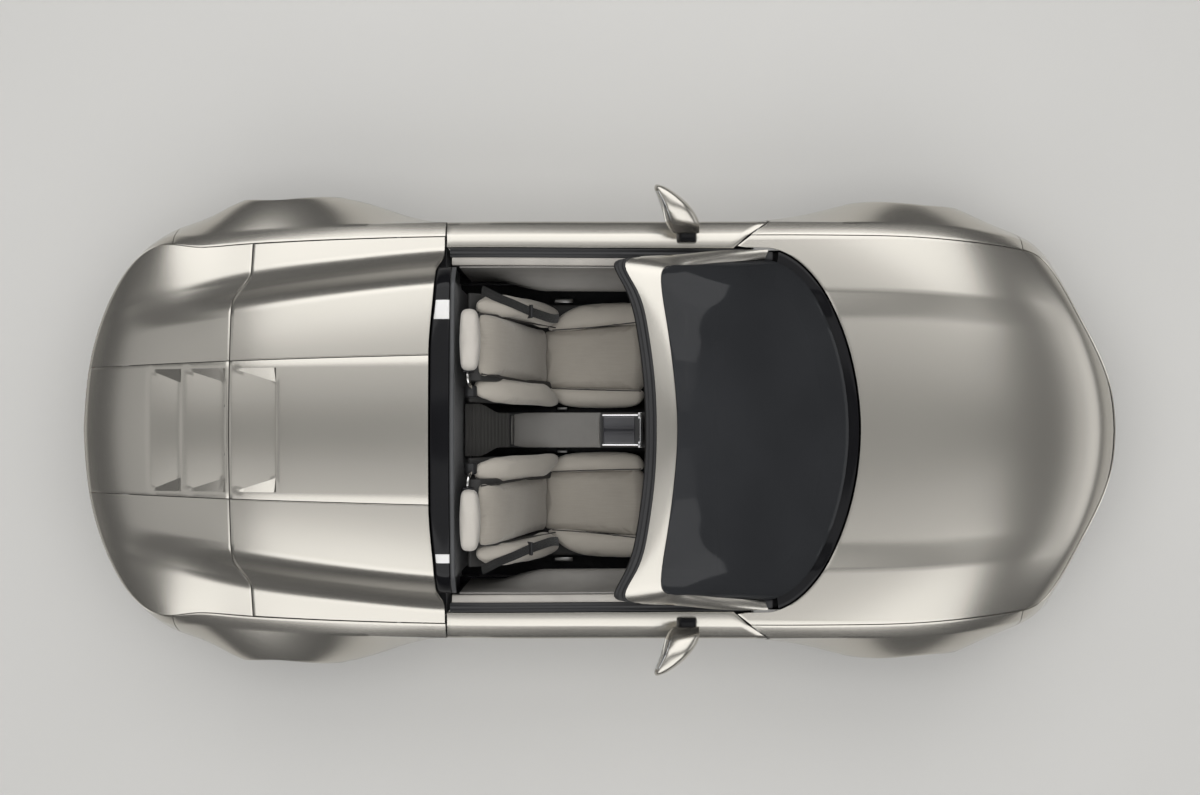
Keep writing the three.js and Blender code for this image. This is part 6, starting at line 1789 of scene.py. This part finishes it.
wheelTable = {"front": {"hub": (1272, 817.5, 345), "width": 255, "rim": 254, "caliper": -1},
              "rear": {"hub": (-1296, 812.5, 355), "width": 305, "rim": 260, "caliper": 1}}
tread = {"groove": 7.5, "columns": 5, "blocks": 60, "ribs": [0.62, 0.24, -0.24, -0.62], "ribHalf": (0.055, 0.035),
         "flatEdge": 26}
hubFace = -12
tyreRubber = plasticFinish("tyreRubber", (0.02, 0.02, 0.0205), 0.78, 350, 0.18)
rimAlloy = metalFinish("rimAlloy", (0.42, 0.42, 0.425), 0.28, metal=0.9, grime=0.15)
barrelAlloy = metalFinish("barrelAlloy", (0.12, 0.12, 0.122), 0.4, grime=0.5)
discIron = metalFinish("discIron", (0.42, 0.41, 0.4), 0.34, brushed=0.4, grime=0.25)
boltSteel = metalFinish("boltSteel", (0.5, 0.5, 0.5), 0.25, grime=0.2)
caliperPaint = plasticFinish("caliperPaint", (0.05, 0.05, 0.053), 0.35, depth=0.02, coat=0.3)


def roundWheel(hub, radius, along, angle):
    x, z = hub[0] + radius * np.cos(angle), hub[2] + radius * np.sin(angle)
    return np.stack(np.broadcast_arrays(x, hub[1] + along, z), -1)


def treadOutline(radius, width, rim):
    # (radius, along, depth of a cross groove there), from one bead over the tread to the other and back inside
    half, shoulder, flat = width / 2, 16, width / 2 - tread["flatEdge"]
    wall = [(rim + 1, half - 22, 0.0), (rim + 8, half - 10, 0.0), (rim + 22, half - 5, 0.0),
            (rim + 26, half - 2.5, 0.0)]
    wall += [(mix(rim, radius, share), half - inset, 0.0) for share, inset in ((0.42, 0.8), (0.6, 0.6), (0.76, 3))]
    wall += [(radius - shoulder, half - 8, 2.5), (radius - 7, half - 13, 6.0), (radius - 1.5, half - 22, 7.0)]
    stops = [1.0]
    for middle in tread["ribs"]:
        wide, narrow = tread["ribHalf"]
        stops += [middle + wide, middle + narrow, middle - narrow, middle - wide]
    points = list(wall)
    for k, share in enumerate(stops):
        deep = tread["groove"] if k % 4 in (2, 3) else 0.0
        cross = 0.0 if deep else 6.0 if abs(share) > 0.5 else 4.0
        points.append((radius - 0.4 - 1.2 * share * share - deep, share * flat, cross))
    points.append((radius - 1.6, -flat, 6.0))
    points += [(r, -a, cross) for r, a, cross in reversed(wall)]
    inside = [(rim + 14, half - 26, 0.0), (radius - 22, half - 30, 0.0)]
    points += [(rim + 14, -half + 26, 0.0), (radius - 24, -half + 30, 0.0)] + inside[::-1]
    return np.array(points)


def tyre(name, hub, radius, width, rim):
    outline = treadOutline(radius, width, rim)
    shift = np.where(outline[:, 1] > 0, 0, 2)
    rings, steps = [], tread["blocks"] * tread["columns"]
    for k in range(steps + 1):
        cut = np.where((k + shift) % tread["columns"] == 0, outline[:, 2], 0)
        rings.append(roundWheel(hub, outline[:, 0] - cut, outline[:, 1], 2 * np.pi * k / steps))
    return smoothed(loft(name, rings), 28)


def turnedCopies(obj, name, count, hub):
    # copies round the axle, joined into one piece
    made = [obj]
    for k in range(1, count):
        pick(obj)
        bpy.ops.object.duplicate()
        bpy.ops.transform.rotate(value=2 * math.pi * k / count, orient_axis="Y",
                                 center_override=tuple(np.array(hub) * mm))
        made.append(settled(bpy.context.object))
    return joined(name, made)


def blunt(wave, size):
    # a sine or cosine squared off a little
    return np.sign(wave) * np.abs(wave) ** 0.7 * size


def spoke(hub, width, rim, side):
    # a slim blade that widens at the hub and forks out to the barrel
    half = width / 2
    turns = np.linspace(0, 2 * np.pi, 12, endpoint=False)
    rings = []
    for t in np.linspace(0, 1, 14):
        wide = mix(13, 9, smooth(0, 0.6, t)) + 5 * smooth(0.8, 1, t)
        middle = mix(half - 52, half - 44, t) + 5 * math.sin(math.pi * t)
        across, along = blunt(np.cos(turns), wide), blunt(np.sin(turns), mix(11, 8, t))
        height = 0 * across + hub[2] + mix(46, rim - 16, t)
        rings.append(np.stack([hub[0] + across, hub[1] + side * (middle + along), height], -1))
    return loft("spoke", rings)


def turnedParts(rim, half):
    # (radius, along) outlines, along counted outwards from the wheel's middle; then steps, shading angle and finish
    face, back, edge = hubFace + 6, hubFace + 34, rim - 62
    barrel = [(rim - 1, -half + 25), (rim + 3, -half + 16), (rim - 7, -half + 12), (rim - 16, -half + 14),
              (rim - 30, -30),
              (rim - 30, 20), (rim - 16, half - 60), (rim - 15, half - 16), (rim - 8, half - 12), (rim - 1, half - 14),
              (rim - 2, half - 30), (rim - 10, half - 60), (rim - 24, 20), (rim - 24, -30), (rim - 10, -half + 40)]
    lip = [(rim - 16, half - 30), (rim - 15, half - 13), (rim - 9, half - 10.5), (rim - 1, half - 13),
           (rim - 4, half - 30)]
    centre = [(0, hubFace), (70, hubFace), (70, hubFace + 28), (62, half - 66), (60, half - 42), (52, half - 36),
              (34, half - 36), (32, half - 33), (0, half - 31)]
    cap = [(0, half - 33), (28, half - 33), (28, half - 30), (24, half - 28), (0, half - 27)]
    disc = [(60, face), (edge - 1, face), (edge, face + 1), (edge, face + 9), (edge - 9, face + 10),
            (edge - 9, back - 10),
            (edge, back - 9), (edge, back - 1), (edge - 1, back), (120, back), (118, back - 2), (112, back - 2),
            (110, back + 2), (60, back + 2)]
    return {"barrel": (barrel, 72, 35, barrelAlloy), "rim_lip": (lip, 96, 35, rimAlloy),
            "hub": (centre, 64, 35, rimAlloy),
            "hub_cap": (cap, 48, 32, satinBlack), "brake_disc": (disc, 96, 30, discIron)}


caliper = {"inner": 126, "inset": 38, "along": (28.5, 50)}
boltCircle, boltCount, spokeCount = 43.0, 5, 10
for end, row in wheelTable.items():
    for side, sideName in sideNames.items():
        hub = np.array(row["hub"]) * (1, side, 1)
        radius, width, rim, half = row["hub"][2], row["width"], row["rim"], row["width"] / 2
        tag, body, node = end + "_" + sideName, end + "_wheel_" + sideName, end + "_rim_" + sideName
        rubber = tyre("tyre_" + tag, hub, radius, width, rim)
        pieces(rubber, body, "tyre", end + "_tyre_" + sideName, material=tyreRubber)
        for stem, (outline, steps, degrees, finish) in turnedParts(rim, half).items():
            turned = spun(f"{stem}_{tag}", [(r, side * along) for r, along in outline], hub, (0, 1, 0), steps)
            slotName = "gloss_black" if stem == "hub_cap" else "alloy"
            pieces(smoothed(turned, degrees), body, slotName, node, material=finish)
        blades = turnedCopies(spoke(hub, width, rim, side), "spokes_" + tag, spokeCount, hub)
        pieces(smoothed(blades, 45), body, "alloy", node, material=rimAlloy)
        boltOutline = [(0, half - 38), (8, half - 38), (8, half - 30), (6, half - 28), (0, half - 28)]
        bolt = spun("bolt", [(r, side * along) for r, along in boltOutline], hub + np.array([0, 0, boltCircle]),
                    (0, 1, 0), 6)
        pieces(turnedCopies(bolt, "wheel_bolts_" + tag, boltCount, hub), body, "alloy", node, material=boltSteel)
        inner, reach = caliper["inner"], rim - caliper["inset"]
        upper = [(inner, 56), (reach - 16, 58), (reach + 3, 50), (reach + 8, 24)]
        outline = [(x, -z) for x, z in upper[:1]] + upper + [(x, -z) for x, z in upper[:0:-1]]
        outline = [(hub[0] + row["caliper"] * x, hub[2] + z) for x, z in outline]
        cheek = prism("caliper_" + tag, outline, 1, *sorted([hub[1] + side * along for along in caliper["along"]]), 6,
                      4)
        knuckle = "front_knuckle_" + sideName if end == "front" else "body"
        pieces(cheek, knuckle, "structure", material=caliperPaint)
print("wheels made")


# hinges

hingeSteel = metalFinish("hingeSteel", (0.1, 0.1, 0.102), 0.42, grime=0.35)
hinges = {"hoodPin": (2206.5, 574.21), "deckPin": (-1491.0, 991.03), "doorHeights": (370, 610), "plate": 12, "gap": 0.4}


def hingePlate(name, outline, y, out, body, node):
    leaf = prism(name, outline, 1, *sorted([y, y + out]), 1.6, 2)
    pieces(leaf, body, "structure", node, material=hingeSteel)


def hingePin(name, centre, axis, low, high, radius, body, node):
    rod = spun(name, [(0, low), (radius, low), (radius, high), (0, high)], centre, axis, 24)
    pieces(rod, body, "alloy", node, material=boltSteel)


def underPanel(x, y, depth=7.5):
    # a point of a leaf's upper edge, just inside the panel over it
    sink = louvreSink(np.array([float(x)]), np.array([float(y)]))
    return x, float(topHeight(x, y) - sink[0]) - depth


for side, sideName in sideNames.items():
    plate, beside = side * hinges["plate"], hinges["plate"] + hinges["gap"]
    x, z = hinges["hoodPin"]
    arm = [(x + 3, z - 12), (x + 3, z + 1), underPanel(x - 40, 66, 8), underPanel(x - 80, 66), underPanel(x - 110, 66),
           (x - 40, z - 12)]
    hingePlate("hood_hinge_arm_" + sideName, arm, side * 60, plate, "hood", "hood")
    stand = [(x - 12, z - 44), (x - 12, z - 6), (x + 5, z - 6), (x + 8, z - 44)]
    hingePlate("hood_hinge_stand_" + sideName, stand, side * (60 + beside), plate, "body", "front_bumper")
    hingePin("hood_hinge_pin_" + sideName, (x - 4, 0, z - 9), (0, 1, 0), *sorted([side * 58, side * 87]), 3, "body",
             "front_bumper")
    x, z = hinges["deckPin"]
    for y, node in ((80, "deck_panel_centre"), (400, "deck_panel_" + sideName)):
        arm = [(x - 8, z - 74), (x - 8, z - 48), *[underPanel(x + ahead, y) for ahead in (16, 38, 60)],
               (x + 30, z - 74)]
        hingePlate(f"deck_hinge_arm_{y}_" + sideName, arm, side * y, plate, "deck_lid", node)
        stand = [(x + 8, z - 74), (x + 8, z - 48), *[underPanel(x - back, y + 12) for back in (20, 40, 60)],
                 (x - 40, z - 74)]
        hingePlate(f"deck_hinge_stand_{y}_" + sideName, stand, side * (y + beside), plate, "body",
                   node.replace("deck", "tail"))
    for k, height in enumerate(hinges["doorHeights"]):
        centre = (door["pin"][0], side * door["pin"][1], height)
        hingePin(f"door_pin_{k}_{sideName}", centre, (0, 0, 1), -17, 17, 7, "door_" + sideName, "door_" + sideName)
print("hinges made")


# finishes for the solids that stay

def pressedSteel(name, color, roughness):
    # a painted pressing, dusty low down
    finish = Finish(name, metallic=0.2)
    cloud = finish.remap(finish.noise(5, 5, 0.6), 0.3, 0.7, 0, 1)
    speck = finish.remap(finish.noise(120, 3, 0.7), 0.55, 0.75, 0, 0.5)
    low = finish.remap(finish.axes()[2], 0.1, 0.4, 0.45, 0)
    tint = finish.blendOf(cloud * 0.5, opaque(color), shade(color, 1.5))
    tint = finish.blendOf(speck * 0.5, tint, opaque((0.1, 0.085, 0.07)))
    finish.give("Base Color", finish.blendOf(low, tint, opaque((0.16, 0.14, 0.115))))
    finish.give("Roughness", finish.remap(cloud, 0, 1, roughness, min(1, roughness + 0.15)))
    finish.bump(finish.noise(260, 3), 0.12, 0.0008)
    return finish.material


def carpetFinish(name, color):
    finish = Finish(name, sheen_weight=0.2, specular_ior_level=0.1)
    tuft = finish.node("ShaderNodeTexVoronoi", {"Vector": finish.place(), "Scale": 260})
    cloud = finish.remap(finish.noise(8, 4), 0.3, 0.7, 0, 1)
    tint = finish.blendOf(finish.remap(tuft, 0, 0.7, 0, 1), shade(color, 1.3), shade(color, 0.6))
    finish.give("Base Color", finish.blendOf(cloud * 0.4, tint, shade(color, 1.4)))
    finish.give("Roughness", finish.remap(cloud, 0, 1, 0.9, 1.0))
    finish.bump(tuft, 0.7, 0.002)
    return finish.material


cabinCarpet = carpetFinish("cabinCarpet", (0.02, 0.02, 0.021))
subframePaint = pressedSteel("subframePaint", (0.03, 0.03, 0.031), 0.5)
castAlloy = metalFinish("castAlloy", (0.3, 0.3, 0.305), 0.5, brushed=0.5, grime=0.5)
castIron = metalFinish("castIron", (0.12, 0.115, 0.11), 0.6, brushed=0.6, grime=0.6)
trayPlastic = plasticFinish("trayPlastic", (0.022, 0.022, 0.023), 0.7, 300, 0.2)

# the tray under the floor: its nose follows the bumper's foot, its tail rises in a diffuser between fins
tray = {"top": 129.6, "thick": 12, "half": 490, "sillHalf": 800, "noseHalf": 600, "front": 1990, "inset": 40,
        "rampFrom": -1690, "tail": -2165, "tailZ": 192, "fins": (-300, -100, 100, 300), "ribs": (-360, -160, 160, 360),
        "ribStarts": (-1560, -700, 60, 900), "ribLength": 620, "ribHalf": 18}
trayLow = tray["top"] - tray["thick"]
noseFoot = wallPoint(np.linspace(float(wallAt(1760)), wallEnd, 24), 1, 1, -tray["inset"])
tailFoot = wallPoint(np.linspace(0, float(wallAt(-1845)), 24), 1, 1, -tray["inset"])
halfPlan = [(-1700, tray["half"]), (-840, tray["half"]), (-840, tray["sillHalf"]), (830, tray["sillHalf"]),
            (830, tray["half"]),
            (1700, tray["half"]), (1700, tray["noseHalf"])]
halfPlan += [(min(x, tray["front"]), min(y, tray["noseHalf"])) for x, y, _ in noseFoot if y > 200]
trayPlan = halfPlan + [(x, -y) for x, y in halfPlan[::-1]]
pieces(prism("undertray_plate", trayPlan, 2, trayLow, tray["top"], 2), "body", "matt_black", "undertray",
       material=trayPlastic)


def rampEnd(y):
    return np.maximum(tray["tail"], np.interp(np.abs(y), tailFoot[:, 1], tailFoot[:, 0]))


def rampShape(u, v):
    y = mix(-tray["half"], tray["half"], u)
    return np.stack([mix(tray["rampFrom"], rampEnd(y), v), y, mix(trayLow, tray["tailZ"], v)], -1)


ramp = sheetMetal(gridSheet("undertray_diffuser", rampShape, 48, 10, (0, 0, -1)), tray["thick"], 1.5)
pieces(ramp, "body", "matt_black", "undertray", material=trayPlastic)
fins = []
for y in tray["fins"]:
    tip = float(rampEnd(y)) + 6
    outline = [(-1700, trayLow + 6), (tip, tray["tailZ"] + 4), (tip, 150), (-1800, trayLow - 2)]
    fins.append(prism("fin", outline, 1, y - 4, y + 4, 1.5))
pieces(joined("undertray_fins", fins), "body", "matt_black", "undertray", material=trayPlastic)
ribs = [block("rib", (x, y - tray["ribHalf"], trayLow - 4), (x + tray["ribLength"], y + tray["ribHalf"], trayLow + 2),
              3, 2)
        for y in tray["ribs"] for x in tray["ribStarts"]]
pieces(joined("undertray_ribs", ribs), "body", "matt_black", "undertray", material=trayPlastic)

keptFinishes = {"floor_tub": cabinCarpet, "front_subframe": subframePaint, "rear_subframe": subframePaint,
                "power_unit": castAlloy, "luggage_tub": cabinCarpet, "stowage_tray": trayPlastic}
keptFinishes.update({f"{end}_knuckle_{sideName}": castIron for end in wheelTable for sideName in sideNames.values()})
for name, finish in keptFinishes.items():
    for place in nodes[name].material_slots:
        place.material = finish
print("kept solids finished")


# stage, lights and camera

stage = {"floor": (0.575, 0.568, 0.55), "size": 40, "below": (0.07, 0.07, 0.072, 1), "above": (0.188, 0.188, 0.186, 1)}


def floorFinish():
    finish = Finish("floorPaper", roughness=0.9, specular_ior_level=0.1)
    cloud = finish.noise(0.6, 3)
    finish.give("Base Color",
                finish.blendOf(finish.remap(cloud, 0.3, 0.7, 0, 1), shade(stage["floor"], 0.985),
                               shade(stage["floor"], 1.015)))
    return finish.material


bpy.ops.mesh.primitive_plane_add(size=stage["size"])
floor = named(bpy.context.object, "floor")
floor.data.materials.append(floorFinish())

world = bpy.data.worlds.new("studio")
bpy.context.scene.world = world
world.use_nodes = True
sky = world.node_tree
background = sky.nodes["Background"]
coordinate = sky.nodes.new("ShaderNodeTexCoord")
parts = sky.nodes.new("ShaderNodeSeparateXYZ")
ramp = sky.nodes.new("ShaderNodeValToRGB")
sky.links.new(coordinate.outputs["Generated"], parts.inputs[0])
sky.links.new(parts.outputs[2], ramp.inputs[0])
sky.links.new(ramp.outputs[0], background.inputs[0])
for stop, position, colour in zip(ramp.color_ramp.elements, (0.0, 0.9), (stage["below"], stage["above"])):
    stop.position, stop.color = position, colour


def softbox(name, place, aim, size, radiance):
    # radiance is what the lamp's face shows, so a white card in front of it would show about the same
    bpy.ops.object.light_add(type="AREA", location=place)
    lamp = named(bpy.context.object, name)
    lamp.rotation_euler = (Vector(aim) - Vector(place)).to_track_quat("-Z", "Y").to_euler()
    lamp.data.shape = "RECTANGLE"
    lamp.data.size, lamp.data.size_y = size
    lamp.data.energy = radiance * math.pi * size[0] * size[1]
    lamp.visible_camera = False
    return lamp


def sideBoxes(name, side, edges, radiances):
    # long boxes side by side, from above the camera's edge out and down to the side, each brighter than the last
    for k, radiance in enumerate(radiances):
        near, far = Vector((0, side * edges[k][0], edges[k][1])), Vector((0, side * edges[k + 1][0], edges[k + 1][1]))
        across = far - near
        lamp = softbox(f"{name}{k + 1}", (near + far) / 2, (0, 0, 0), (13.0, across.length), radiance)
        normal = Vector((0, across.z, -across.y))
        lamp.rotation_euler = (normal if normal.z < 0 else -normal).to_track_quat("-Z", "Y").to_euler()


sideBoxes("softboxLeft", 1, [(0.6, 7.2), (2.2, 6.8), (4.1, 5.6), (5.9, 3.9)], [0.5, 1.5, 1.75])
sideBoxes("softboxRight", -1, [(0.6, 7.2), (2.2, 6.8), (4.1, 5.6), (5.7, 4.15)], [0.5, 1.4, 1.6])
top = softbox("softboxTop", (-0.3, 0, 6.6), (-0.3, 0, 0), (5.2, 2.8), 3.0)
top.visible_glossy = False
softbox("softboxRear", (-6.6, 0, 4.0), (-1.5, 0, 0.8), (5, 3), 0.4)
softbox("softboxFront", (7.5, 0, 2.4), (0, 0, 0.8), (6, 2.4), 0.9)

view = {"height": 7.0, "lens": 44.7, "sensor": 36, "shift": 0.0271}
bpy.ops.object.camera_add(location=(0, 0, view["height"]), rotation=(0, 0, 0))
camera = named(bpy.context.object, "camera")
camera.data.lens, camera.data.sensor_width = view["lens"], view["sensor"]
camera.data.shift_y = view["shift"]
bpy.context.scene.camera = camera
bpy.context.scene.view_settings.view_transform = "Standard"
